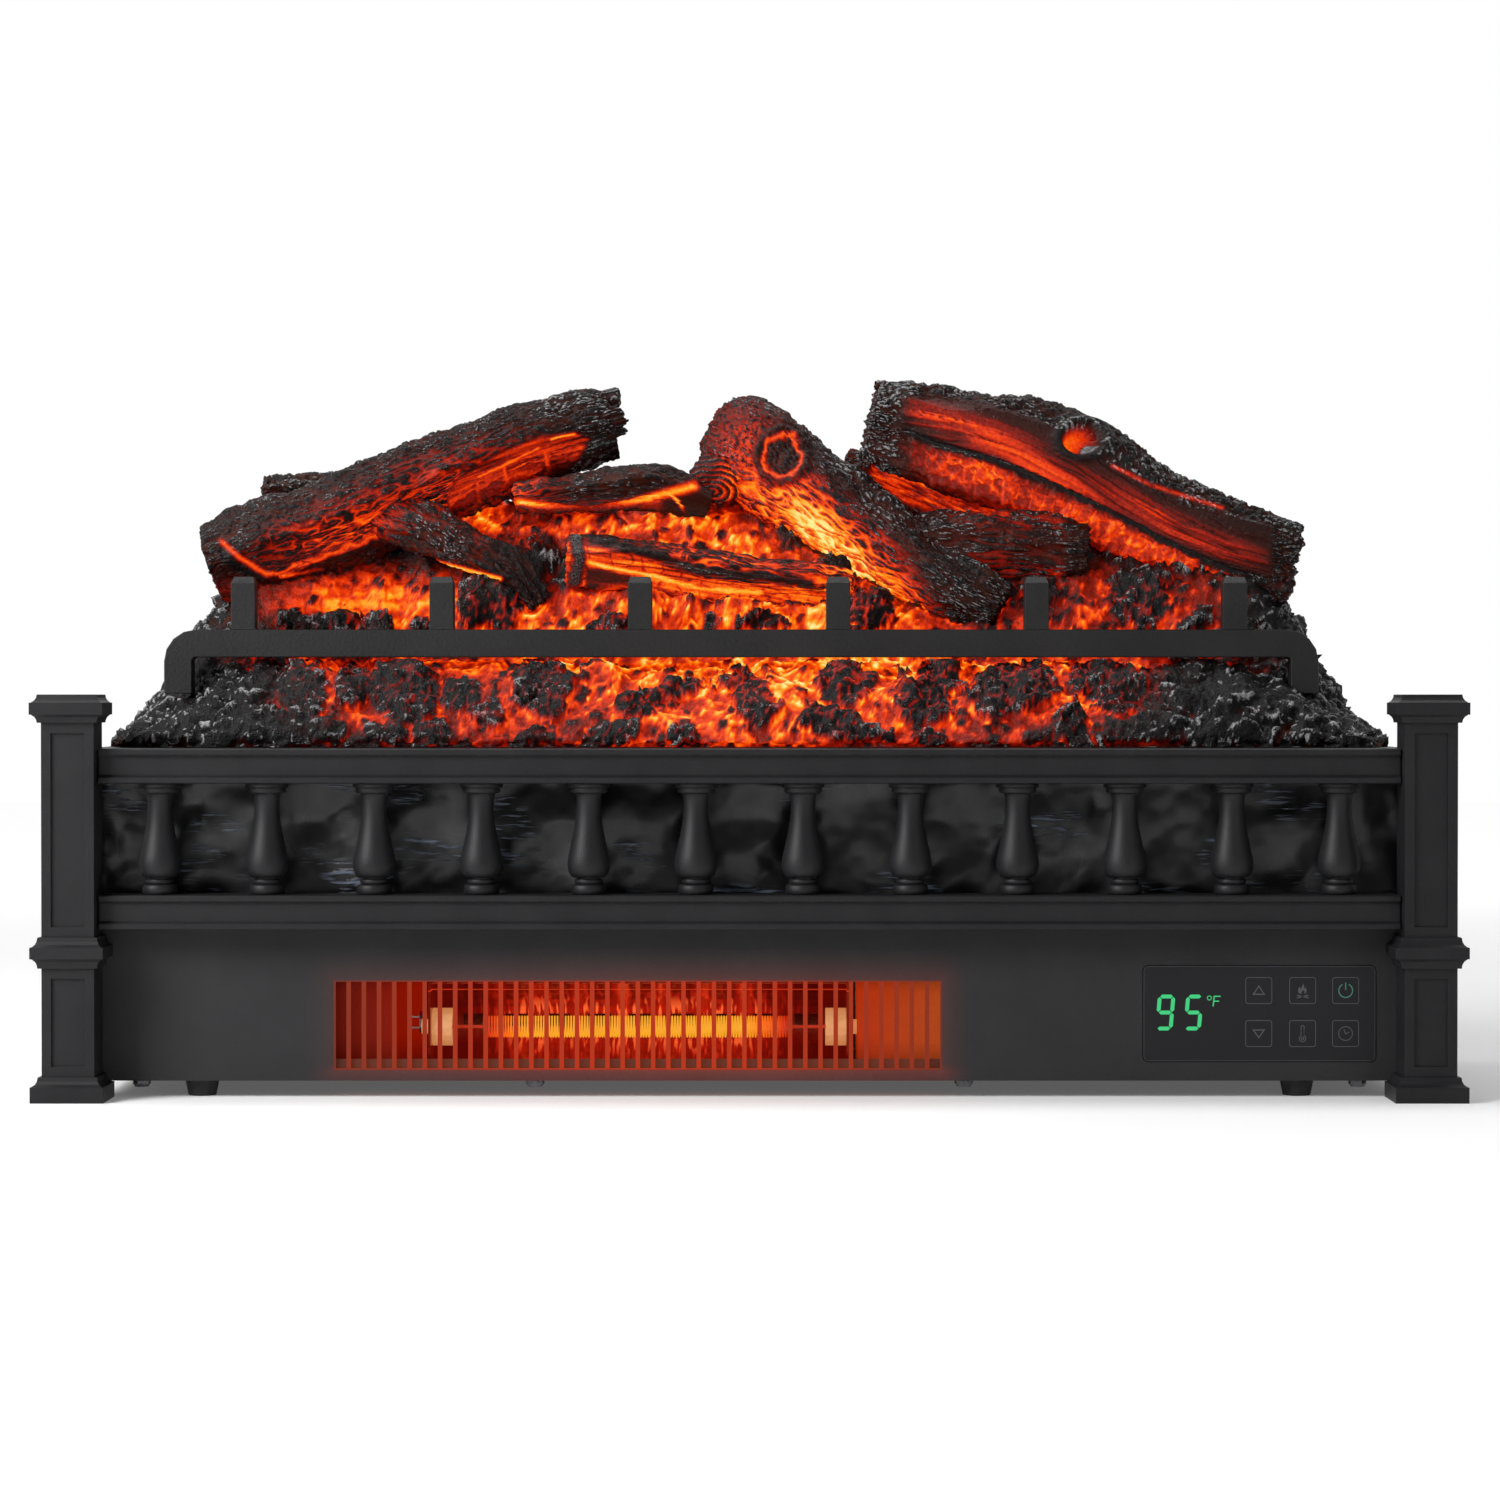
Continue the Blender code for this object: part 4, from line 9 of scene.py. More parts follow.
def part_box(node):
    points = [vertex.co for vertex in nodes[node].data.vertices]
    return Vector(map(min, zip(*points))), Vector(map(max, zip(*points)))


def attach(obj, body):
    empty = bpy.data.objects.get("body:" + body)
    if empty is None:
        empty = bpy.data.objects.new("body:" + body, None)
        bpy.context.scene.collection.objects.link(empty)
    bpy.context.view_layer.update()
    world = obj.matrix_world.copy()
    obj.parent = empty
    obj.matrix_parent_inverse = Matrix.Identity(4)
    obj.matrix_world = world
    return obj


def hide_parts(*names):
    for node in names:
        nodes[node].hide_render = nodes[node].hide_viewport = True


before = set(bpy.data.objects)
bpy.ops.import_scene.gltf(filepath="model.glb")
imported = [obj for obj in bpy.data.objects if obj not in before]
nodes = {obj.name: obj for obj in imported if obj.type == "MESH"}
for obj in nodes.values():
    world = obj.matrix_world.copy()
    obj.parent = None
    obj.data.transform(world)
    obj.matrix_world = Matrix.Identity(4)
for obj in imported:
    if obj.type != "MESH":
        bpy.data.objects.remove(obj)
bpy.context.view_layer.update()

# Studio: a white sweep of floor, one large soft lamp at the upper left, a weaker one at the right and a
# narrow strip overhead. The camera stands level with the top rail, 2.3 m from the middle of the case, on a
# long lens.


class Wire:
    """A value on its way to a socket, so that shader maths reads as sums."""

    def __init__(self, paint, socket):
        self.paint = paint
        self.socket = socket

    def maths(self, operation, first, second=None):
        """One Math node on one or two values."""
        values = {0: first} if second is None else {0: first, 1: second}
        return self.paint.node("Math", {"operation": operation}, values)

    def __add__(self, other):
        return self.maths("ADD", self, other)

    def __sub__(self, other):
        return self.maths("SUBTRACT", self, other)

    def __mul__(self, other):
        return self.maths("MULTIPLY", self, other)

    def __truediv__(self, other):
        return self.maths("DIVIDE", self, other)

    def __pow__(self, other):
        return self.maths("POWER", self, other)

    def __gt__(self, other):
        return self.maths("GREATER_THAN", self, other)

    def __lt__(self, other):
        return self.maths("LESS_THAN", self, other)

    def __rsub__(self, other):
        return self.maths("SUBTRACT", other, self)

    def __abs__(self):
        return self.maths("ABSOLUTE", self)

    __radd__ = __add__
    __rmul__ = __mul__

    def least(self, other):
        return self.maths("MINIMUM", self, other)

    def most(self, other):
        return self.maths("MAXIMUM", self, other)

    def span(self, low, high, start=0.0, end=1.0):
        """The value stretched from low..high to start..end, held at both ends."""
        return self.paint.node("MapRange", {"clamp": True}, {0: self, 1: low, 2: high, 3: start, 4: end})


class Paint:
    """A finish: a material with its Principled shader and the nodes that vary it."""

    def __init__(self, name, tree=None, **values):
        self.material = None if tree else bpy.data.materials.new(name)
        if self.material:
            self.material.use_nodes = True
        self.tree = tree or self.material.node_tree
        self.shader = self.tree.nodes.get("Principled BSDF")
        self.set(**values)

    def feed(self, socket, value):
        """Lead a wire into a socket, or set it to a number or a colour."""
        if isinstance(value, Wire):
            self.tree.links.new(value.socket, socket)
        elif isinstance(value, (tuple, list)) and len(value) == 3 and socket.type == "RGBA":
            socket.default_value = (*value, 1.0)
        else:
            socket.default_value = value

    def node(self, kind, settings=None, values=None, output=0):
        """One node of a kind, its settings first, then the values or wires of its sockets."""
        made = self.tree.nodes.new("ShaderNode" + kind)
        for key, value in (settings or {}).items():
            if key == "stops":
                stops = made.color_ramp.elements
                stops.remove(stops[1])
                for at, (place, colour) in enumerate(value):
                    stop = stops.new(place) if at else stops[0]
                    stop.position = place
                    stop.color = (*colour, 1.0)
            else:
                setattr(made, key, value)
        for key, value in (values or {}).items():
            self.feed(made.inputs[key], value)
        return Wire(self, made.outputs[output])

    def set(self, **values):
        """Set the shader's sockets: base_color, roughness, normal and so on."""
        for key, value in values.items():
            socket = "Specular IOR Level" if key == "specular" else key.replace("_", " ").title()
            self.feed(self.shader.inputs[socket], value)
        return self

    def place(self, stretch=(1.0, 1.0, 1.0)):
        """Where the surface is, in metres, stretched along each axis."""
        at = self.node("TexCoord", None, None, "Object")
        return self.node("Mapping", None, {"Vector": at, "Scale": stretch})

    def along(self, axis):
        """How far along one axis the surface is, in metres."""
        return self.node("SeparateXYZ", None, {0: self.place()}, axis)

    def noise(self, scale, detail=2.0, stretch=(1.0, 1.0, 1.0), roughness=0.5):
        """Soft random cloud, about 0.3 to 0.7, finer as the scale grows."""
        values = {"Vector": self.place(stretch), "Scale": scale, "Detail": detail, "Roughness": roughness}
        return self.node("TexNoise", None, values)

    def rays(self):
        """Whether a ray comes from the camera, from a reflection or through something clear."""
        return [self.node("LightPath", None, None, "Is %s Ray" % kind) for kind in RAYS]

    def light(self, colour, strength=1.0):
        """Light of the surface's own."""
        return self.set(emission_color=colour, emission_strength=strength)

    def blend(self, share, first, second):
        """A colour between two colours."""
        return self.node("Mix", {"data_type": "RGBA"}, {0: share, 6: first, 7: second}, 2)

    def ramp(self, value, stops):
        """A colour for a value, from stops of place and colour."""
        return self.node("ValToRGB", {"stops": stops}, {0: value})

    def attribute(self, name):
        """The number that a mesh holds at each point under that name."""
        return self.node("Attribute", {"attribute_name": name}, None, "Fac")

    def bump(self, height, distance):
        """Raise the surface by a height from 0 to 1 times a distance in metres."""
        return self.set(normal=self.node("Bump", None, {"Height": height, "Distance": distance}))

    def dress(self, *names):
        """Give this finish to CAD nodes, by name."""
        for name in names:
            mesh = nodes[name].data
            mesh.materials.clear()
            mesh.materials.append(self.material)


FLOOR_HALF = 6.0
FLOOR_WHITE = (0.86, 0.86, 0.86)
LIFT_NEAR, LIFT_FAR = 0.30, 2.4
RAYS = ("Camera", "Glossy", "Transmission")
AMBIENT = 0.20

floor_mesh = bpy.data.meshes.new("floor")
floor_mesh.from_pydata(
    [(-FLOOR_HALF, -FLOOR_HALF, 0), (FLOOR_HALF, -FLOOR_HALF, 0), (FLOOR_HALF, FLOOR_HALF, 0),
     (-FLOOR_HALF, FLOOR_HALF, 0)], [], [(0, 1, 2, 3)],
)
floor = bpy.data.objects.new("floor", floor_mesh)
bpy.context.collection.objects.link(floor)
sweep = Paint("white_floor", base_color=FLOOR_WHITE, roughness=0.9, specular=0.0)
path, glossy, transmitted = sweep.rays()
watched = (path + glossy + transmitted).least(1.0)
# The floor's own white light is weaker near the object and stronger far off: a painted shade round the
# object.
away = sweep.node("VectorMath", {"operation": "LENGTH"}, {0: sweep.place()}, "Value")
lift = away.span(LIFT_NEAR, LIFT_FAR, 0.10, 0.80)
white = sweep.node("Emission", None, {"Color": lift, "Strength": 1.0}, 0)
both = sweep.node("AddShader", None, {0: white, 1: Wire(sweep, sweep.shader.outputs[0])})
mixed = sweep.node("MixShader", None, {0: watched, 1: Wire(sweep, sweep.shader.outputs[0]), 2: both})
sweep.tree.links.new(mixed.socket, sweep.tree.nodes["Material Output"].inputs["Surface"])
floor_mesh.materials.append(sweep.material)

world = bpy.data.worlds.new("studio")
bpy.context.scene.world = world
world.use_nodes = True
air = Paint("studio_air", world.node_tree)
path, glossy, transmitted = air.rays()
direction = air.node("TexCoord", None, None, "Generated")
toward_back = air.node("SeparateXYZ", None, {0: direction}, "Y")
room = toward_back.span(-0.2, 0.35, 0.16, 1.0)
strength = path.most(transmitted).most(glossy * room)
background = world.node_tree.nodes["Background"]
background.inputs["Color"].default_value = (1.0, 1.0, 1.0, 1.0)
air.tree.links.new(strength.most(AMBIENT).socket, background.inputs["Strength"])


LAMP_AIM = Vector((0.0, 0.0, 0.15))


def softbox(name, at, size, watts):
    """A flat lamp that faces the fireplace."""
    lamp = bpy.data.lights.new(name, "AREA")
    lamp.shape = "RECTANGLE"
    lamp.size, lamp.size_y = size
    lamp.energy = watts
    made = bpy.data.objects.new(name, lamp)
    made.location = at
    made.rotation_euler = (LAMP_AIM - made.location).to_track_quat("-Z", "Y").to_euler()
    bpy.context.collection.objects.link(made)


softbox("key_softbox", (-1.45, -1.10, 1.10), (0.9, 0.9), 46.0)
softbox("fill_softbox", (1.5, -1.6, 0.9), (1.0, 1.2), 3.0)
softbox("top_strip", (0.0, 0.1, 1.6), (1.8, 0.5), 12.0)

CAMERA_AT = (0.00026, -2.285, 0.2157)
CAMERA_LENS = 98.1
CAMERA_DIP = math.radians(0.757)
camera_data = bpy.data.cameras.new("camera")
camera_data.lens = CAMERA_LENS
camera_data.sensor_width = 36.0
camera = bpy.data.objects.new("camera", camera_data)
camera.location = CAMERA_AT
camera.rotation_euler = (math.pi / 2 - CAMERA_DIP, 0.0, 0.0)
bpy.context.collection.objects.link(camera)
bpy.context.scene.camera = camera
bpy.context.scene.view_settings.view_transform = "Standard"

# Fence: two square corner posts and two rails, moulded in charcoal plastic with a fine sand grain. Twelve
# turned balusters of the same plastic plug into the rails at both ends.
WELD_GAP = 0.00001
ROUND_FROM = math.radians(40)
FENCE = ("left_post", "right_post", "top_rail", "bottom_rail")


def soften_edges(width, *names):
    """Round a CAD node's edges without touching its mesh."""
    for name in names:
        weld = nodes[name].modifiers.new("weld", "WELD")
        weld.merge_threshold = WELD_GAP
        bevel = nodes[name].modifiers.new("bevel", "BEVEL")
        bevel.width = width
        bevel.segments = 2
        bevel.limit_method = "ANGLE"
        bevel.angle_limit = ROUND_FROM
        bevel.harden_normals = True


def add_mesh(name, points, faces, smooth=True, **tables):
    """A new object from points and faces, with a number at each point for each named table."""
    mesh = bpy.data.meshes.new(name)
    mesh.from_pydata([tuple(point) for point in points], [], faces)
    for key, value in tables.items():
        layer = mesh.attributes.new(key, "FLOAT", "POINT")
        layer.data.foreach_set("value", np.asarray(value, np.float32).reshape(-1))
    if smooth:
        mesh.shade_smooth()
    made = bpy.data.objects.new(name, mesh)
    bpy.context.collection.objects.link(made)
    return made


def plain(name, scale, dark, light, rough, relief=0.0, clouds=0.0, **values):
    """A plain finish: a fine grain for roughness and relief, and two colours mixed by it or by clouds."""
    made = Paint(name, **values)
    grain = made.noise(scale)
    share = made.noise(clouds).span(0.3, 0.7) if clouds else grain
    made.set(base_color=made.blend(share, dark, light), roughness=grain * rough[1] + rough[0])
    if relief:
        made.bump(grain, relief)
    return made


plastic = plain(
    "charcoal_plastic", 1500.0, (0.0075, 0.0075, 0.0088), (0.0115, 0.0115, 0.0128), (0.42, 0.16), 0.00012,
    38.0, specular=0.28,
)
plastic.dress(*FENCE)
soften_edges(0.0004, *FENCE)

# Outline of a baluster from the top down: share of the radius, share of the height
TURNED_RADIUS = 0.0120
TURNED_SHARES = (
    (0.0, 1.0), (1.0, 1.0), (1.0, 0.972), (0.96, 0.966), (0.88, 0.962), (0.88, 0.930), (0.84, 0.918),
    (0.66, 0.912), (0.62, 0.900), (0.585, 0.84), (0.575, 0.79), (0.590, 0.72), (0.630, 0.65), (0.700, 0.57),
    (0.790, 0.49), (0.880, 0.41), (0.960, 0.34), (1.0, 0.285), (0.990, 0.235), (0.930, 0.190),
    (0.820, 0.158), (0.690, 0.146), (0.560, 0.143), (0.555, 0.133), (0.640, 0.128), (0.665, 0.110),
    (0.640, 0.092), (0.600, 0.088), (0.760, 0.084), (0.815, 0.070), (0.830, 0.040), (0.825, 0.006),
    (0.800, 0.0), (0.0, 0.0),
)
TURNED_LEAST = 0.001
TURNED_CREASE = math.radians(50)
BALUSTERS = 12
TURNED_SIDES = 56
OUTWARD = [0, 3, 2, 1]


def grid_faces(rows, columns, closed=False):
    """Four-cornered faces over rows of points; a closed grid joins its last column to its first."""
    row = np.arange(rows - 1)[:, None] * columns
    column = np.arange(columns if closed else columns - 1)[None, :]
    after = (column + 1) % columns
    ahead = row + columns
    return np.stack([row + column, row + after, ahead + after, ahead + column], axis=-1).reshape(-1, 4)


def stand_in(made, paint, slot_name, *names):
    """Give a made piece its finish and its place: what CAD nodes it stands for and its body; the slot name is
    not used.
    """
    made.data.materials.append(paint.material)
    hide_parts(*names)
    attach(made, "case")


for number in range(BALUSTERS):
    name = "baluster_%02d" % (number + 1)
    low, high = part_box(name)
    middle = (low + high) / 2
    height = high.z - low.z
    radius = min(TURNED_RADIUS, (high.y - low.y) / 2)
    points = []
    for share, up in TURNED_SHARES:
        for side in range(TURNED_SIDES):
            turn = 2 * math.pi * side / TURNED_SIDES
            reach = radius * max(share, TURNED_LEAST)
            across, back = reach * math.cos(turn), reach * math.sin(turn)
            points.append((middle.x + across, middle.y + back, low.z + height * up))
    faces = grid_faces(len(TURNED_SHARES), TURNED_SIDES, True)[:, OUTWARD]
    turned = add_mesh("turned_" + name, points, faces.tolist())
    split_edges = turned.modifiers.new("edges", "EDGE_SPLIT")
    split_edges.split_angle = TURNED_CREASE
    stand_in(turned, plastic, "charcoal_trim", name)

# Rock panel: one vacuum-formed plastic sheet of smooth boulders, sprayed gloss black. It stands behind the
# balusters, between the rails. The solid's facets are read by rays and smoothed into a finer sheet.
ROCK_STEP = 0.0012
ROCK_MARGIN = 0.0003
ROCK_SMOOTHING = 6
ROCK_LEAST = 0.0002
RAY_START = 0.01


def stack(*values):
    """Points from three tables of numbers, each spread to the full size."""
    return np.stack(np.broadcast_arrays(*values), axis=-1)


def feel(name, starts, toward, axis, missed):
    """Where rays from a grid of places meet a CAD node, along one axis, and a value where they miss it."""
    place, mesh = nodes[name].matrix_world, nodes[name].data
    corners = [place @ vert.co for vert in mesh.vertices]
    tree = BVHTree.FromPolygons(corners, [list(face.vertices) for face in mesh.polygons])
    met = np.full(starts.shape[:2], missed)
    for spot in np.ndindex(met.shape):
        found = tree.ray_cast(Vector(starts[spot]), Vector(toward))[0]
        if found:
            met[spot] = found[axis]
    return met


def spaced(low, high, margin, step):
    """Places from low to high, a margin in from both, about a step apart."""
    return np.linspace(low + margin, high - margin, int((high - low) / step))


def soften(grid, times, closed=False):
    """Average each number with its neighbours; a closed grid runs round, so its columns meet."""
    for turn in range(times):
        wide = np.pad(grid, ((1, 1), (0, 0)), mode="edge")
        wide = np.pad(wide, ((0, 0), (1, 1)), mode="wrap" if closed else "edge")
        beside = wide[:-2, 1:-1] + wide[2:, 1:-1] + wide[1:-1, :-2] + wide[1:-1, 2:]
        grid = (beside + grid * 2) / 6
    return grid


rock_low, rock_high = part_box("rock_panel")
rock_across = spaced(rock_low.x, rock_high.x, ROCK_MARGIN, ROCK_STEP)[None, :]
rock_up = spaced(rock_low.z, rock_high.z, ROCK_MARGIN, ROCK_STEP)[:, None]
rock_starts = stack(rock_across, rock_low.y - RAY_START, rock_up)
rock_front = soften(feel("rock_panel", rock_starts, (0, 1, 0), 1, rock_high.y), ROCK_SMOOTHING)
rock_shape = stack(rock_across, np.maximum(rock_front, rock_low.y + ROCK_LEAST), rock_up)
rock_face = add_mesh("rock_face", rock_shape.reshape(-1, 3), grid_faces(*rock_front.shape).tolist())
gloss = Paint("gloss_black", specular=0.40)
boulder = gloss.noise(24.0, 1.0)
dent = gloss.noise(60.0, 1.0)
# Painted reflections in the base colour: soft grey clouds of sheen on the black, and pale blue highlight
# lines on scratches, in a few patches.
scratch_highlight_lines = gloss.noise(130.0, 2.0, (0.42, 1.0, 4.0), 0.6)
highlight_patches = gloss.noise(30.0, 1.0, (0.8, 1.0, 1.3)).span(0.57, 0.68)
streak = scratch_highlight_lines.span(0.54, 0.66) * highlight_patches
painted_sheen = gloss.noise(21.0, 2.0, (0.9, 1.0, 1.4)).span(0.53, 0.80)
black_with_sheen = gloss.blend(painted_sheen, (0.0025, 0.0025, 0.003), (0.066, 0.066, 0.067))
gloss.set(base_color=gloss.blend(streak * 0.7, black_with_sheen, (0.17, 0.20, 0.27)))
gloss.set(roughness=dent.span(0.3, 0.7, 0.26, 0.38))
gloss.bump(boulder * 0.80 + dent * 0.17 + streak * 0.03, 0.012)
stand_in(rock_face, gloss, "gloss_black_rock", "rock_panel")

# Front panel: folded steel sheet, powder coated black, with forty punched slots for the warm air. The
# heater's light round the slots and on the bars between them is painted on the sheet, as a red glow of its
# own.
OUTLET_LEFT, OUTLET_RIGHT = -0.2225, 0.1025
OUTLET_LOW, OUTLET_HIGH = 0.0155, 0.0620

coat = Paint("powder_coat", specular=0.2)
spot, height = coat.along("X"), coat.along("Z")
side_gap = abs(spot - (OUTLET_LEFT + OUTLET_RIGHT) / 2) - (OUTLET_RIGHT - OUTLET_LEFT) / 2
rise_gap = abs(height - (OUTLET_LOW + OUTLET_HIGH) / 2) - (OUTLET_HIGH - OUTLET_LOW) / 2
side_gap = side_gap.most(0.0)
rise_gap = rise_gap.most(0.0)
gap = (side_gap * side_gap + rise_gap * rise_gap) ** 0.5
painted_spill = gap.span(0.0, 0.020, 1.0, 0.0)
grain = coat.noise(1700.0, 2.0)
wear = coat.noise(22.0, 2.0)
sheet_colour = coat.blend(wear.span(0.3, 0.7), (0.023, 0.0225, 0.024), (0.029, 0.0285, 0.030))
# Inside the outlet the sheet's colour turns near black with a red cast, part of the painted heater light on
# the bars.
within = gap.span(0.0, 0.0012, 1.0, 0.0)
coat.set(base_color=coat.blend(within, sheet_colour, (0.006, 0.002, 0.001)), roughness=grain * 0.2 + 0.42)
# Painted heater light: a red glow round the slots, fading over 20 mm, and red light on the bars, both
# brightest near the middle.
toward_middle = abs(spot + 0.02).span(0.03, 0.24, 1.0, 0.35)
painted_bar_light_share = abs(spot + 0.06).span(0.06, 0.165, 1.0, 0.30)
below = height.span(0.014, 0.018, 1.0, 0.45)
glow = painted_spill * painted_spill * below * (1 - within) * toward_middle * grain.span(0.2, 0.8, 0.8, 1.2)
painted_spill_light = coat.blend(glow, (0.0, 0.0, 0.0), (0.150, 0.014, 0.004))
painted_bar_light = coat.blend(painted_bar_light_share, (0.120, 0.020, 0.006), (0.460, 0.026, 0.001))
coat.light(coat.blend(within, painted_spill_light, painted_bar_light))
coat.bump(grain, 0.00014)
coat.dress("front_panel")

# Control window: a plate of smoked plastic set flush in the front panel. Frames and signs for six touch
# keys are printed on it, and a two-digit display shines through.
MILLI = 0.001
PRINT_GAP = 0.00008
lens_low, lens_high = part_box("control_lens")
lens_x, lens_z = (lens_low.x + lens_high.x) / 2, (lens_low.z + lens_high.z) / 2
print_y = lens_low.y - PRINT_GAP

smoke = Paint("smoked_lens", specular=0.25)
haze = smoke.noise(45.0, 2.0)
smoke.set(base_color=smoke.blend(haze, (0.0085, 0.0083, 0.0100), (0.0115, 0.0112, 0.0130)))
smoke.set(roughness=haze * 0.12 + 0.36)
smoke.dress("control_lens")


def ribbon(outline, width):
    """Points on both edges of an open or closed line, and the faces between them."""
    closed = outline[0] == outline[-1]
    line = [Vector(spot) for spot in (outline[:-1] if closed else outline)]
    count = len(line)
    points, faces = [], []
    for index, here in enumerate(line):
        before = line[index - 1] if closed or index else here
        after = line[(index + 1) % count] if closed or index < count - 1 else here
        first = (here - before).normalized() if (here - before).length else (after - here).normalized()
        second = (after - here).normalized() if (after - here).length else first
        across = Vector((-(first.y + second.y), first.x + second.x)).normalized()
        reach = width / 2 / max(across.dot(Vector((-first.y, first.x))), 0.4)
        points += [here + across * (reach * edge) for edge in (-1, 1)]
    for index in range(count if closed else count - 1):
        after = (index + 1) % count
        faces.append((index * 2, index * 2 + 1, after * 2 + 1, after * 2))
    return points, faces


def printed(name, shapes, colour, glow=0.0):
    """Flat shapes on the window: each a closed outline, or a line with a width, in metres."""
    points, faces = [], []
    for shape in shapes:
        line = isinstance(shape, tuple)
        spots, sides = ribbon(*shape) if line else (shape, [range(len(shape))])
        faces += [[len(points) + corner for corner in side] for side in sides]
        points += [(lens_x + x, print_y, lens_z + z) for x, z in spots]
    made = add_mesh(name, points, faces, smooth=False)
    ink = Paint(name + "_ink", roughness=0.5)
    speckle = ink.noise(900.0)
    dim = tuple(part * 0.9 for part in colour)
    tint = ink.blend(speckle, dim, colour)
    ink.set(base_color=(0.004, 0.004, 0.004) if glow else tint)
    if glow:
        ink.light(tint, glow)
    made.data.materials.append(ink.material)
    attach(made, "case")


def arc(centre, radius, start, end, steps=16):
    """Points on part of a circle, between two angles in degrees."""
    turns = [math.radians(start + (end - start) * step / steps) for step in range(steps + 1)]
    return [(centre[0] + radius * math.cos(turn), centre[1] + radius * math.sin(turn)) for turn in turns]


def scaled(points, centre=(0.0, 0.0)):
    """Millimetres from a centre, itself in millimetres, as metres from the middle of the window."""
    return [((centre[0] + x) * MILLI, (centre[1] + z) * MILLI) for x, z in points]


def square(centre, half_x, half_z, corner, steps):
    """A closed oblong with round corners, in millimetres."""
    outline = []
    for turn, (sx, sz) in enumerate(((1, 1), (-1, 1), (-1, -1), (1, -1))):
        at = (centre[0] + sx * (half_x - corner), centre[1] + sz * (half_z - corner))
        outline += arc(at, corner, turn * 90, turn * 90 + 90, steps)
    return outline + outline[:1]


DIGIT_HEIGHT, DIGIT_WIDTH, BAR = 19.3, 9.4, 2.1
DIGIT_SLANT = 0.085
SEGMENTS = {
    "a": ((0, 1), (1, 1)), "b": ((1, 1), (1, 0)), "c": ((1, 0), (1, -1)), "d": ((0, -1), (1, -1)),
    "e": ((0, 0), (0, -1)), "f": ((0, 1), (0, 0)), "g": ((0, 0), (1, 0)),
}


def digit(centre_x, centre_z, lit):
    """The lit bars of one slanted figure of the display."""
    shapes = []
    wide, high = (DIGIT_WIDTH - BAR) / 2, (DIGIT_HEIGHT - BAR) / 2
    for letter in lit:
        (x0, z0), (x1, z1) = SEGMENTS[letter]
        start = Vector(((x0 * 2 - 1) * wide, z0 * high))
        end = Vector(((x1 * 2 - 1) * wide, z1 * high))
        along = (end - start).normalized()
        aside = Vector((-along.y, along.x)) * (BAR / 2)
        near, far = start + along * 0.25, end - along * 0.25
        inner, outer = near + along * (BAR / 2), far - along * (BAR / 2)
        shape = [near, inner + aside, outer + aside, far, outer - aside, inner - aside]
        slanted = [(centre_x + spot.x + spot.y * DIGIT_SLANT, centre_z + spot.y) for spot in shape]
        shapes.append([(x * MILLI, z * MILLI) for x, z in slanted])
    return shapes


DISPLAY_GREEN = (0.035, 0.62, 0.20)
DEGREE_LINE, LETTER_LINE = 0.42 * MILLI, 0.62 * MILLI
figures = digit(-50.6, 0.6, "abcdfg") + digit(-35.4, 0.6, "acdfg")
figures.append((scaled(arc((-26.9, 8.4), 1.10, 0, 360)), DEGREE_LINE))
for corner in ([(-24.9, 3.9), (-24.3, 9.3), (-20.9, 9.3)], [(-24.6, 6.7), (-21.7, 6.7)]):
    figures.append((scaled(corner), LETTER_LINE))
printed("display_digits", figures, DISPLAY_GREEN, 1.0)

KEY_HALF, KEY_CORNER, KEY_LINE = 7.0, 1.3, 0.30 * MILLI
KEY_COLUMNS = (-0.35, 23.2, 46.3)
KEY_ROWS = (12.4, -10.7)
EDGE_INSET, EDGE_CORNER, EDGE_LINE = 0.5, 2.0, 0.28 * MILLI
frames = [
    (scaled(square((key_x, key_z), KEY_HALF, KEY_HALF, KEY_CORNER, 5)), KEY_LINE)
    for key_x in KEY_COLUMNS for key_z in KEY_ROWS
]
printed("key_frames", frames, (0.085, 0.085, 0.092))
half_x = (lens_high.x - lens_low.x) / 2 / MILLI - EDGE_INSET
half_z = (lens_high.z - lens_low.z) / 2 / MILLI - EDGE_INSET
edge = scaled(square((0.0, 0.0), half_x, half_z, EDGE_CORNER, 6))
printed("window_edge", [(edge, EDGE_LINE)], (0.045, 0.045, 0.048))

up, flame, power = [(key_x, KEY_ROWS[0]) for key_x in KEY_COLUMNS]
down, heat_key, timer = [(key_x, KEY_ROWS[1]) for key_x in KEY_COLUMNS]
FINE, MEDIUM, BOLD = 0.4 * MILLI, 0.5 * MILLI, 0.6 * MILLI
FLAME = (
    (-2.3, -1.2), (-2.5, 0.8), (-1.3, 2.3), (-1.2, 0.6), (-0.3, 2.0), (0.2, 4.0), (0.9, 1.9), (0.7, 0.8),
    (1.6, 1.7), (2.2, 0.3), (1.8, -1.2), (0.9, -1.9), (1.0, -0.6), (0.2, 0.5), (-0.6, -0.9), (-0.6, -1.9),
)
stem = [(-0.8, -1.3), (-0.8, 3.6)] + arc((0, 3.6), 0.8, 180, 0, 6) + [(0.8, -1.3)]
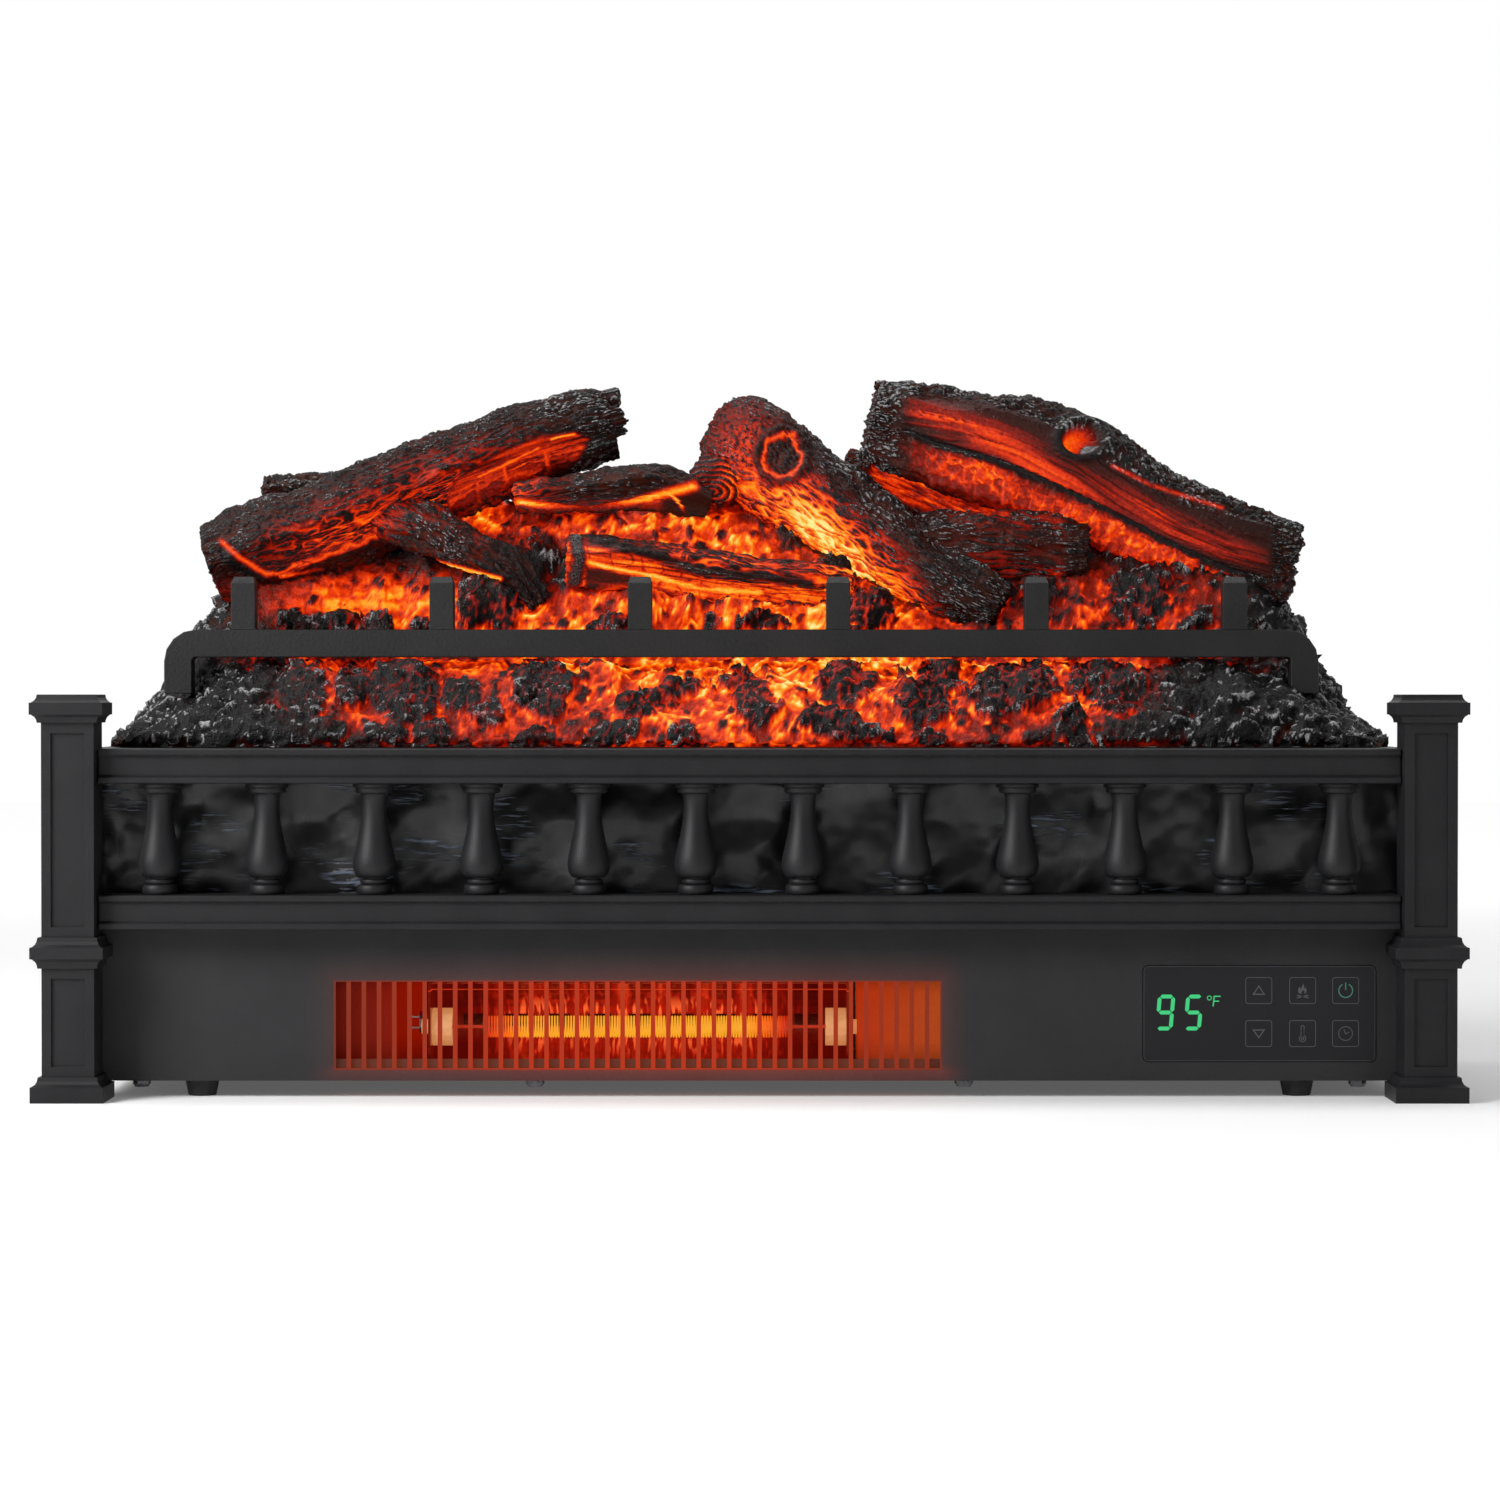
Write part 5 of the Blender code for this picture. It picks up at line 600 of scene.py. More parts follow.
signs = [
    (scaled(((-2.9, -2.0), (0, 2.4), (2.9, -2.0), (-2.9, -2.0)), up), BOLD),
    (scaled(((-2.9, 1.9), (0, -2.2), (2.9, 1.9), (-2.9, 1.9)), down), BOLD),
    (scaled(arc((0, 0), 3.7, 0, 360, 28), timer), 0.45 * MILLI),
    (scaled(((-0.9, 2.2), (0, -0.2), (2.0, 0.8)), timer), MEDIUM),
    (scaled(stem + arc((0, -2.7), 1.75, 62, -242, 18), heat_key), FINE),
    (scaled(arc((0, -2.7), 0.75, 0, 360, 10), heat_key), FINE),
    scaled(FLAME, flame),
    (scaled(((-3.1, -2.5), (0, -3.2), (3.1, -3.9)), flame), BOLD),
    (scaled(((-3.1, -3.9), (0, -3.2), (3.1, -2.5)), flame), BOLD),
]
printed("key_icons", signs, (0.075, 0.075, 0.082))
POWER_LINE = 0.55 * MILLI
power_lines = [
    (scaled(arc((0, 0), 3.7, 118, 422, 24), power), POWER_LINE),
    (scaled(((0, 0.3), (0, 4.3)), power), POWER_LINE),
]
printed("power_icon", power_lines, (0.050, 0.22, 0.15), 0.8)

# Heater: a clear quartz tube between two ceramic ends, with a close-wound resistance wire glowing in it.
# Behind it stands a bent, polished trough that throws the heat forward.
tube_low, tube_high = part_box("quartz_tube")
TUBE_Y, TUBE_Z = (tube_low.y + tube_high.y) / 2, (tube_low.z + tube_high.z) / 2
COIL_LEFT, COIL_RIGHT = -0.1450, 0.0215
COIL_RADIUS = 0.0056
COIL_TURNS = 112
COIL_WIRE = 0.00046
COIL_COOL_END = 0.16
TROUGH_EDGE = 0.0560
WIRE_SIDES = 5
TURN_STEPS = 20
LEAD_INSET = 0.001
LEAD_WARMTH = 0.12

points, warmth = [], []
bends = [2 * math.pi * side / WIRE_SIDES for side in range(WIRE_SIDES)]
steps = COIL_TURNS * TURN_STEPS
for step in range(steps + 1):
    share = step / steps
    turn = 2 * math.pi * step / TURN_STEPS
    x = COIL_LEFT + (COIL_RIGHT - COIL_LEFT) * share
    for bend in bends:
        reach = COIL_RADIUS + COIL_WIRE * math.cos(bend)
        back, rise = reach * math.cos(turn), reach * math.sin(turn)
        points.append((x + COIL_WIRE * math.sin(bend), TUBE_Y + back, TUBE_Z + rise))
        warmth.append(min(1.0, min(share, 1 - share) / COIL_COOL_END) ** 0.6)
faces = grid_faces(steps + 1, WIRE_SIDES, True).tolist()
for lead_end, inner in ((tube_low.x + LEAD_INSET, COIL_LEFT), (tube_high.x - LEAD_INSET, COIL_RIGHT)):
    faces += (grid_faces(2, WIRE_SIDES, True) + len(points)).tolist()
    for x in (lead_end, inner):
        for bend in bends:
            back, rise = COIL_WIRE * 2 * math.cos(bend), COIL_WIRE * 2 * math.sin(bend)
            points.append((x, TUBE_Y + back, TUBE_Z + rise))
            warmth.append(LEAD_WARMTH)
close_coil = add_mesh("close_wound_coil", points, faces, warmth=warmth)
hot_wire = Paint("hot_wire", base_color=(0.08, 0.03, 0.02), roughness=0.5)
shimmer = hot_wire.noise(260.0, 1.0)
hot = hot_wire.attribute("warmth") * 0.86 + shimmer * 0.14
hot_wire.light(hot_wire.ramp(hot, (
    (0.0, (0.05, 0.002, 0.0)), (0.30, (0.70, 0.03, 0.004)), (0.62, (1.0, 0.15, 0.006)),
    (0.88, (1.0, 0.40, 0.018)), (1.0, (1.0, 0.46, 0.025)),
)))
stand_in(close_coil, hot_wire, "heating_alloy", "heating_coil")

# The clear quartz has a faint red tint: painted light from the glowing coil inside it.
quartz = Paint("clear_quartz", base_color=(0.35, 0.05, 0.02), roughness=0.05, specular=0.5)
ripple = quartz.noise(90.0, 1.0)
quartz.set(alpha=ripple * 0.05 + 0.05)
quartz.dress("quartz_tube")
quartz.material.surface_render_method = "BLENDED"

mirror = Paint("polished_trough", metallic=1.0)
swirl = mirror.noise(140.0, 2.0, (0.3, 1.0, 1.0))
ribs = mirror.noise(420.0, 1.0, (1.0, 0.12, 0.12))
spot, height = mirror.along("X"), mirror.along("Z")
# Painted reflections of the glowing coil: a red tint in the metal, a glow brightest by the tube in the
# middle, vertical streaks, and a painted highlight along the top edge.
middle = abs(spot - (COIL_LEFT + COIL_RIGHT) / 2).span(0.060, 0.096, 1.0, 0.10)
near_tube = abs(height - TUBE_Z).span(0.006, 0.022, 1.0, 0.25)
painted_coil_streaks = ribs.span(0.50, 0.62) * near_tube * middle
painted_edge_highlight = abs(height - TROUGH_EDGE).span(0.0, 0.0009, 1.0, 0.0)
mirror.set(base_color=mirror.blend(swirl, (0.16, 0.018, 0.008), (0.24, 0.030, 0.012)))
shine = (middle * near_tube * 0.42 + painted_coil_streaks * 0.52 + 0.12).most(painted_edge_highlight * 0.8)
mirror.set(roughness=swirl * 0.14 + 0.10)
mirror.light(mirror.ramp(shine, (
    (0.0, (0.010, 0.0003, 0.0)), (0.30, (0.11, 0.003, 0.001)), (0.62, (0.34, 0.010, 0.003)),
    (1.0, (0.95, 0.14, 0.03)),
)))
mirror.dress("heater_reflector")

# The ceramic ends glow orange with painted light from the coil beside them.
cream = Paint("lit_ceramic", roughness=0.6, specular=0.2)
glaze = cream.noise(220.0, 2.0)
cream.set(base_color=cream.blend(glaze, (0.42, 0.26, 0.15), (0.50, 0.32, 0.19)))
cream.light(cream.blend(glaze, (0.40, 0.15, 0.045), (0.52, 0.22, 0.075)))
cream.dress("ceramic_cap_left", "ceramic_cap_right")

tin = plain("galvanised_sheet", 120.0, (0.34, 0.35, 0.37), (0.46, 0.47, 0.49), (0.34, 0.2), metallic=1.0)
tin.dress("blower_guide", "blower_tongue", "blower_end_left", "blower_end_right", "blower_bearing")
tin.dress("thermal_cutout")

# Air guide: one bent sheet in the blower's outlet. Its wings close both ends of the slotted outlet. The
# heater's light on them is painted, a deep red at the left and orange at the right.
wing = Paint("lit_air_guide", roughness=0.6, specular=0.08)
spot, height = wing.along("X"), wing.along("Z")
dust = wing.noise(1500.0, 2.0)
cloud = wing.noise(60.0, 2.0)
wing.set(base_color=wing.blend(dust, (0.022, 0.008, 0.005), (0.034, 0.012, 0.008)))
left_painted_light = wing.blend(spot.span(-0.2245, -0.185), (0.075, 0.0020, 0.0), (0.26, 0.006, 0.0004))
right_painted_light = wing.blend(spot.span(0.060, 0.104), (0.44, 0.026, 0.001), (0.40, 0.056, 0.008))
level = height.span(0.012, 0.030, 0.35, 1.0) * height.span(0.055, 0.064, 1.0, 0.55) * (dust * 0.5 + 0.75)
lit = wing.blend((spot > 0.0), left_painted_light, right_painted_light)
wing.light(wing.blend(level * (cloud * 0.3 + 0.8), (0.0, 0.0, 0.0), lit))
wing.dress("air_guide")

# Case: a folded shell and a top sheet, both coated black, and a bare pan below that the boards stand in.
# Four screws hold the pan to the front panel, and the case stands on rubber feet.
shell = plain(
    "case_coat", 1700.0, (0.015, 0.015, 0.0165), (0.020, 0.020, 0.0215), (0.46, 0.2), 0.00015, 20.0)
shell.dress("rear_case", "deck_plate")

# The pan's front lip shows through the foot of the slots, with the heater's light painted on it
pan = plain("pan_coat", 1700.0, (0.012, 0.011, 0.011), (0.020, 0.018, 0.018), (0.46, 0.2), specular=0.1)
spot, front = pan.along("X"), pan.along("Y")
beside = abs(spot - (OUTLET_LEFT + OUTLET_RIGHT) / 2)
lit = beside.span(0.150, 0.175, 1.0, 0.0) * front.span(-0.074, -0.066, 1.0, 0.0)
lit = lit * (pan.noise(1700.0) * 0.5 + 0.75)
pan.light(pan.blend(lit, (0.0, 0.0, 0.0), (0.120, 0.020, 0.007)))
pan.dress("base_pan")
soften_edges(0.0003, "deck_plate", "base_pan")

steel = plain("screw_steel", 600.0, (0.10, 0.10, 0.105), (0.16, 0.16, 0.17), (0.30, 0.2), metallic=1.0)
steel.dress(*["base_screw_%d" % number for number in range(1, 5)])

FEET = ("foot_front_left", "foot_front_right", "foot_rear_left", "foot_rear_right")
rubber = plain("black_rubber", 900.0, (0.008, 0.008, 0.008), (0.016, 0.016, 0.016), (0.62, 0.2), 0.0001)
rubber.dress(*FEET)
soften_edges(0.0005, *FEET)

# Inside and rear: a moulded blower wheel and its motor, the boards, the main switch and the cord's gland.
# Little of them shows, so they have plain finishes.
black = plain("black_plastic", 1100.0, (0.013, 0.013, 0.014), (0.020, 0.020, 0.021), (0.40, 0.15), 0.00008)
black.dress("rocker_frame", "rocker", "cable_gland", "display_module", "blower_motor", "blower_wheel")
soften_edges(0.0003, "rocker_frame", "rocker")

board = Paint("circuit_board", roughness=0.5)
tracks = board.noise(420.0, 1.0, (1.0, 0.3, 1.0))
board.set(base_color=board.blend(tracks.span(0.48, 0.54), (0.006, 0.050, 0.022), (0.012, 0.085, 0.040)))
board.dress("control_board", "power_board")

strip = Paint("led_strip", roughness=0.5)
bead = strip.noise(160.0, 1.0, (1.0, 0.5, 0.5))
strip.set(base_color=strip.blend(bead, (0.50, 0.46, 0.40), (0.62, 0.58, 0.50)))
strip.light(strip.blend(bead.span(0.45, 0.62), (0.05, 0.01, 0.0), (1.0, 0.32, 0.04)))
strip.dress("led_board")

# Grate: one iron casting, a bar on two legs with six fingers and arms that run back into the bed. The sand
# mould's texture is left under its black paint.
iron = Paint("cast_iron", specular=0.30)
casting = iron.noise(520.0, 3.0)
pit = iron.noise(1900.0, 2.0)
wash = iron.noise(30.0, 2.0)
iron.set(base_color=iron.blend(wash.span(0.3, 0.7), (0.0090, 0.0085, 0.0085), (0.0140, 0.0130, 0.0130)))
iron.set(roughness=casting * 0.22 + 0.42)
iron.bump(casting * 0.7 + pit * 0.3, 0.00035)
iron.dress("grate")
soften_edges(0.0006, "grate")

# Log pile: seven pieces of cast resin, moulded from real logs, painted black on the ridges and left clear
# orange in the cracks, so that the lights below show through. Each rests in a seat in the bed. These are the
# tools that shape and finish them all; each log follows in a part of its own.
GRATE_REAR = -0.028
PILE_WIDTH = 0.650
PILE_DEPTH = 0.130
PILE_HEIGHT = 0.205
DECK = 0.1877
LOG_RADIUS = 0.027
LOG_SIDES = 14
BARK_RELIEF = 0.0018
BARK_LENGTH = 0.030
ROW_STEP = 0.0009
END_SHARES = np.array([
    0.03, 0.1, 0.18, 0.26, 0.34, 0.42, 0.5, 0.58, 0.66, 0.74, 0.81, 0.87, 0.92, 0.96, 0.985,
])
FULL_ROUND = (0.0, 1.0)
PHOTO_CENTRE, PHOTO_LEVEL = 749.5, 696
METRES_A_PIXEL = 0.0005284
CAMERA_GAP = 2.160
CASE_FRONT = -0.125


def scatter(cells, seed):
    """A number from 0 to 1 for each whole-numbered cell, the same on each run."""
    cells = cells.astype(np.int64)
    mixed = cells[..., 0] * 73856093 ^ cells[..., 1] * 19349663 ^ cells[..., 2] * 83492791 ^ seed * 2654435761
    mixed = ((mixed ^ (mixed >> 13)) * 1274126177) & 0xFFFFFFFF
    mixed = ((mixed ^ (mixed >> 16)) * 2246822519) & 0xFFFFFFFF
    mixed = mixed ^ (mixed >> 15)
    return (mixed & 0xFFFFFF) / float(0x1000000)


def lattice(points, seed):
    """Smooth noise from about -1 to 1 at each point."""
    base = np.floor(points)
    part = points - base
    ease = part * part * part * (part * (part * 6 - 15) + 10)
    total = np.zeros(points.shape[:-1])
    for corner in np.ndindex(2, 2, 2):
        cell = base + corner
        away = part - corner
        slope = sum((scatter(cell, seed * 3 + axis) * 2 - 1) * away[..., axis] for axis in range(3))
        weight = np.prod(np.where(corner, ease, 1 - ease), axis=-1)
        total += slope * weight
    return total * 1.7


def layers(points, seed, count=3):
    """Noise with finer and finer layers."""
    return sum(lattice(points * 2.03 ** layer, seed + layer) * 0.5 ** layer for layer in range(count))


def cells(points, seed):
    """Distances to the nearest and next of scattered seeds, the nearest seed's number and its place."""
    base = np.floor(points)
    first = np.full(points.shape[:-1], 9.0)
    second = first.copy()
    own = np.zeros(points.shape[:-1])
    place = np.zeros_like(points)
    for step in np.ndindex(3, 3, 3):
        cell = base + np.array(step) - 1
        spot = cell + np.stack([scatter(cell, seed * 5 + axis) for axis in range(3)], axis=-1)
        gap = np.linalg.norm(points - spot, axis=-1)
        nearer = gap < first
        second = np.where(nearer, first, np.minimum(second, gap))
        own = np.where(nearer, scatter(cell, seed * 5 + 4), own)
        place = np.where(nearer[..., None], spot, place)
        first = np.minimum(first, gap)
    return first, second, own, place


def ease(value, low, high):
    """0 below low, 1 above high and a smooth step between."""
    share = np.clip((value - low) / (high - low), 0, 1)
    return share * share * (3 - 2 * share)


def seen(points):
    """Where the photograph, 1500 pixels wide, shows each point."""
    scale = METRES_A_PIXEL * (1 + (points[..., 1] - CASE_FRONT) / CAMERA_GAP)
    return PHOTO_CENTRE + points[..., 0] / scale, PHOTO_LEVEL - (points[..., 2] - CAMERA_AT[2]) / scale


def spread(x, y, spots):
    """Soft round spots, added up: centre, half widths, tilt in degrees and strength."""
    left = np.ones(x.shape)
    for across, down, half_x, half_y, tilt, value in spots:
        turn = math.radians(tilt)
        dx, dy = x - across, y - down
        along = (dx * math.cos(turn) + dy * math.sin(turn)) / half_x
        aside = (-dx * math.sin(turn) + dy * math.cos(turn)) / half_y
        left *= 1 - value * np.exp(-(along ** 2 + aside ** 2))
    return 1 - left


def over(base, share, value):
    """The base, with a share of it taken by another value."""
    return base * (1 - share) + share * value


def line_gap(x, y, path):
    """Distance in pixels to a broken line."""
    best = np.full(x.shape, 1e9)
    for (x0, y0), (x1, y1) in zip(path, path[1:]):
        dx, dy = x1 - x0, y1 - y0
        share = np.clip(((x - x0) * dx + (y - y0) * dy) / (dx * dx + dy * dy), 0, 1)
        best = np.minimum(best, np.hypot(x - x0 - share * dx, y - y0 - share * dy))
    return best


def inside(x, y, outline):
    """Distance in pixels to an outline, positive within it."""
    gap = line_gap(x, y, list(outline) + [outline[0]])
    within = np.zeros(x.shape, bool)
    for (x0, y0), (x1, y1) in zip(outline, list(outline[1:]) + [outline[0]]):
        if y0 != y1:
            crosses = ((y0 > y) != (y1 > y)) & (x < (x1 - x0) * (y - y0) / (y1 - y0) + x0)
            within ^= crosses
    return np.where(within, gap, -gap)


def through(values, position):
    """Values of a smooth line through a table at positions along it."""
    last = len(values) - 1
    at = np.minimum(position.astype(int), last - 1)
    share = position - at
    if values.ndim > 1:
        share = share[:, None]
    before, start = values[np.maximum(at - 1, 0)], values[at]
    end, after = values[at + 1], values[np.minimum(at + 2, last)]
    return (
        start + (end - before) * (0.5 * share)
        + (before * 2 - start * 5 + end * 4 - after) * (0.5 * share ** 2)
        + (start * 3 - before - end * 3 + after) * (0.5 * share ** 3)
    )


class Timber:
    """A round of wood along a bent spine: rows of points, with closed ends of their own rows."""

    def __init__(self, table, split, rings, around, seed):
        table = np.array(table)
        spots = np.stack([
            table[:, 0] * PILE_WIDTH, GRATE_REAR + table[:, 1] * PILE_DEPTH, DECK + table[:, 2] * PILE_HEIGHT,
        ], axis=1)
        thick = table[:, 3] * LOG_RADIUS
        last = len(table) - 1
        length = np.linalg.norm(np.diff(spots, axis=0), axis=1).sum()
        position = np.linspace(0, last, int(length / ROW_STEP))
        centre = through(spots, position)
        radius = through(thick, position)
        ahead, behind = np.minimum(position + 0.05, last), np.maximum(position - 0.05, 0)
        axis = through(spots, ahead) - through(spots, behind)
        axis /= np.linalg.norm(axis, axis=1)[:, None]
        front = np.array([0.0, -1.0, 0.0]) - axis * -axis[:, 1:2]
        front /= np.linalg.norm(front, axis=1)[:, None]
        up = np.cross(axis, front)
        up[up[:, 2] < 0] *= -1
        run = np.concatenate([[0], np.linalg.norm(np.diff(centre, axis=0), axis=1).cumsum()])
        ends = len(END_SHARES)
        row = np.concatenate([np.zeros(ends, int), np.arange(len(run)), np.full(ends, len(run) - 1)])
        self.share = np.concatenate([END_SHARES, np.ones(len(run)), END_SHARES[::-1]])[:, None]
        self.side = np.concatenate([-np.ones(ends), np.zeros(len(run)), np.ones(ends)])[:, None]
        self.angle = np.linspace(0, 2 * math.pi, around, endpoint=False)[None, :]
        self.centre, self.axis = centre[row][:, None], axis[row][:, None]
        cosine, sine = np.cos(self.angle), np.sin(self.angle)
        self.away = front[row][:, None] * cosine[..., None] + up[row][:, None] * sine[..., None]
        self.radius = radius[row][:, None]
        self.run = run[row][:, None] + self.side * (1 - self.share) * self.radius
        mean = radius.mean()
        self.round = stack(self.run, cosine * mean * self.share, sine * mean * self.share)
        spot = stack(
            self.centre[..., 0] / BARK_LENGTH, cosine * 1.7, sine * 1.7 + self.radius / BARK_LENGTH)
        lumps = np.array([noise.noise(Vector(one)) for one in spot.reshape(-1, 3)]).reshape(spot.shape[:2])
        taper = 1 - 0.14 * np.clip(1 - np.minimum(self.run, run[-1] - self.run) * rings / run[-1], 0, 1)
        ribs = lumps * 2.0 - 0.4 * np.cos(self.angle * LOG_SIDES / 2)
        self.size = (self.radius + BARK_RELIEF * ribs) * taper
        self.size = self.size * (1 + 0.02 * lattice(self.round / 0.012, seed))
        reach = np.cos(self.angle - split[0])
        flat = self.radius * split[1] / np.maximum(reach, 1e-4)
        self.size = np.where((split[1] < 1) & (self.size * reach > self.radius * split[1]), flat, self.size)
        self.lift = np.zeros(self.size.shape)
        self.push = np.zeros(self.size.shape)
        self.refresh()
        self.facing = ease(-self.away[..., 1], -0.25, 0.25)
        self.under = ease(-self.away[..., 2], -0.2, 0.8)

    def refresh(self):
        """Work the points out again from size, lift and push, and where the photograph shows them."""
        reach = (self.size + self.lift) * self.share
        self.points = self.centre + self.away * reach[..., None] + self.axis * self.push[..., None]
        self.x, self.y = seen(self.points)

    def rough_ends(self, reach, pitch, seed):
        """Push the end faces in and out at random."""
        self.push = reach * layers(self.round / pitch, seed) * (self.side != 0)

    def area(self, outline, low, high):
        """1 inside an outline drawn on the photograph and 0 outside it, on the near and far side."""
        return ease(inside(self.x, self.y, outline), low, high)

    def streak(self, path, width, power=2, wobble=0.0):
        """1 on a line drawn on the photograph, fading on both sides."""
        return np.exp(-(line_gap(self.x, self.y + wobble, path) / width) ** power)

    def grain(self, pitch, length, seed):
        """Height from 0 in the cracks to 1 on the ridges, for ridges of that pitch and length."""
        scale = np.array([1 / length, 1 / pitch, 1 / pitch])
        at = self.round * scale
        bend = lattice(self.round * scale * (1.4, 0.4, 0.4), seed + 7)
        at = at + stack(bend * 0, bend * 0.8, bend * 0.8)
        main = np.abs(lattice(at, seed))
        side = np.abs(lattice(at * (2.1, 1.6, 1.6) + 5.0, seed + 1))
        return np.minimum(ease(main, 0.02, 0.34), 0.35 + 0.65 * ease(side, 0.01, 0.30))


def skin(name, sheets):
    """One mesh over several closed rounds of points, with a value from each sheet's table at each point."""
    points, faces, values = [], [], {}
    start = 0
    for grid, table in sheets:
        rows, columns = grid.shape[:2]
        quads = grid_faces(rows, columns, True) + start
        spots = grid.reshape(-1, 3)
        corner = spots[quads - start]
        turn = np.cross(corner[:, 1] - corner[:, 0], corner[:, 3] - corner[:, 0])
        outward = (turn * (corner[:, 0] - spots.mean(axis=0))).sum()
        ends = [np.arange(columns)[::-1] + start, np.arange(columns) + start + (rows - 1) * columns]
        if outward < 0:
            quads = quads[:, ::-1]
            ends = [end[::-1] for end in ends]
        faces += quads.tolist() + [end.tolist() for end in ends]
        points.append(spots)
        for key, value in table.items():
            values.setdefault(key, []).append(np.broadcast_to(value, grid.shape[:2]).reshape(-1))
        start += rows * columns
    tables = {key: np.concatenate(value) for key, value in values.items()}
    return add_mesh(name, np.concatenate(points), faces, **tables)


# How hot the pile shows from the front: centre and half widths in photograph pixels, tilt, heat
PILE_HEAT = (
    (360, 592, 85, 26, -6, 0.72), (390, 600, 45, 18, 0, 0.60), (430, 480, 120, 34, -20, 0.36),
    (330, 530, 90, 22, -12, 0.38), (505, 490, 60, 26, -25, 0.52), (505, 525, 30, 26, 40, 0.60),
    (560, 560, 60, 40, 0, 0.35), (600, 520, 90, 16, -4, 0.42), (620, 600, 70, 26, 0, 0.78),
    (700, 560, 90, 20, 8, 0.60), (770, 600, 90, 24, -5, 0.82), (720, 612, 120, 14, -3, 0.70),
    (760, 430, 70, 50, 40, 0.30), (790, 500, 50, 60, -40, 0.45), (850, 560, 70, 34, 42, 0.72),
    (890, 600, 50, 24, 35, 0.70), (740, 545, 40, 20, 0, 0.55), (940, 470, 70, 26, 25, 0.45),
    (1020, 470, 130, 26, 27, 0.50), (1130, 520, 120, 24, 25, 0.40), (1150, 560, 60, 40, 30, 0.52),
    (990, 500, 70, 22, 18, 0.42), (1090, 600, 60, 24, 0, 0.55), (1190, 600, 40, 24, 0, 0.50),
    (1000, 560, 70, 30, 20, 0.18), (470, 600, 60, 24, 0, 0.30), (250, 600, 40, 16, 0, 0.35),
)
GLOW_STOPS = (
    (0.0, (0.0, 0.0, 0.0)), (0.10, (0.020, 0.0004, 0.0)), (0.27, (0.24, 0.004, 0.0)),
    (0.46, (0.80, 0.035, 0.0)), (0.62, (1.0, 0.150, 0.002)), (0.80, (1.0, 0.42, 0.020)),
    (1.0, (1.0, 0.86, 0.30)),
)


def resin(name, crest, crack, grey, bump_scale, relief):
    """Cast log resin: painted ridges, translucent cracks lit from below, and grey on the crests, a dry brush
    with painted highlights.
    """
    made = Paint(name, specular=0.14)
    heat = made.attribute("glow")
    ridge = made.attribute("ridge")
    ash = made.attribute("ash")
    grain = made.noise(bump_scale, 3.0)
    speck = made.noise(bump_scale * 2.3, 2.0)
    skin_colour = made.blend(ridge.span(0.15, 0.75), crack, crest)
    dusting_and_highlight = (ash * 0.78 - 0.98 + speck * 1.2).span(0.0, 0.36)
    made.set(base_color=made.blend(dusting_and_highlight, skin_colour, grey))
    made.set(roughness=grain * 0.26 + 0.28)
    hot = heat + (grain - 0.5) * 0.30 * heat.span(0.02, 0.30)
    made.light(made.ramp(hot, GLOW_STOPS))
    made.bump(grain * 0.7 + speck * 0.3, relief)
    return made


bark_resin = resin(
    "bark_resin", (0.0105, 0.0088, 0.0085), (0.030, 0.006, 0.003), (0.25, 0.25, 0.255), 520.0, 0.0011)


def finish_log(name, timbers, node, slot_name="bark_resin", paint=bark_resin):
    """One log of one or more timbers, in place of its CAD node."""
    sheets = []
    for timber in timbers:
        timber.refresh()
        sheets.append((timber.points, {"glow": timber.heat, "ridge": timber.ridge, "ash": timber.ash}))
    stand_in(skin(name, sheets), paint, slot_name, node)


def bark(timber, pitch, length, seed, depth, heat):
    """Bark all over a timber: ridges and cracks, glowing cracks by the pile's heat."""
    timber.ridge = timber.grain(pitch, length, seed)
    clods = layers(timber.round / (0.012, 0.006, 0.006), seed + 20, 2)
    crumbs = layers(timber.round / (0.0042, 0.0021, 0.0021), seed + 24, 2)
    broken = ease(crumbs, -0.50, -0.15)
    timber.lift += depth * (timber.ridge * (0.55 + 0.45 * broken) - 0.6) + 0.0011 * clods + 0.0003 * crumbs
    timber.crest = ease(timber.lift - soften(timber.lift, 3, True), 0.00012, 0.00055)
    timber.refresh()
    warmth = spread(timber.x, timber.y, PILE_HEAT) * heat
    # Stronger glow on the undersides: partly the lights below, partly painted light cast up from the embers.
    warmth = warmth * (0.30 + 0.70 * timber.facing) * (0.75 + 0.5 * timber.under)
    glow = warmth * (1 - timber.ridge) ** 1.2 * 1.35 + np.clip(warmth - 0.62, 0, 1) * timber.ridge * 1.3
    timber.heat = np.clip(glow, 0, 1)
    # Grey on the crests, less where the pile is warm: the dry brush, with painted highlights where the ridges
    # would catch the lamps.
    patchy = ease(lattice(timber.round / 0.020, seed + 28), -0.6, 0.4)
    timber.ash = np.clip(timber.crest * (0.45 + 0.55 * patchy) * (1.05 - warmth * 0.9), 0, 1)


# Left log: a thick bark log whose lower front has burnt open. Its torn bark ends in a glowing lip over a
# pattern of charred blocks. A limb branches off at its foot, and a broken stub stands behind.
LEFT_ROWS = (
    (-0.463, 0.25, 0.49, 0.95), (-0.41, 0.25, 0.54, 1.01), (-0.36, 0.26, 0.594, 1.02),
    (-0.293, 0.30, 0.689, 0.94), (-0.20, 0.38, 0.807, 0.88), (-0.12, 0.44, 0.883, 0.82),
)
LEFT_LIMB_ROWS = (
    (-0.33, 0.26, 0.65, 0.50), (-0.274, 0.20, 0.587, 0.50), (-0.24, 0.18, 0.532, 0.45),
    (-0.201, 0.165, 0.467, 0.33), (-0.181, 0.155, 0.388, 0.22),
)
LEFT_STUB_ROWS = ((-0.421, 0.41, 0.692, 0.40), (-0.373, 0.40, 0.691, 0.44), (-0.31, 0.38, 0.707, 0.42))
LEFT_SPLIT = (math.radians(-52), 0.52)
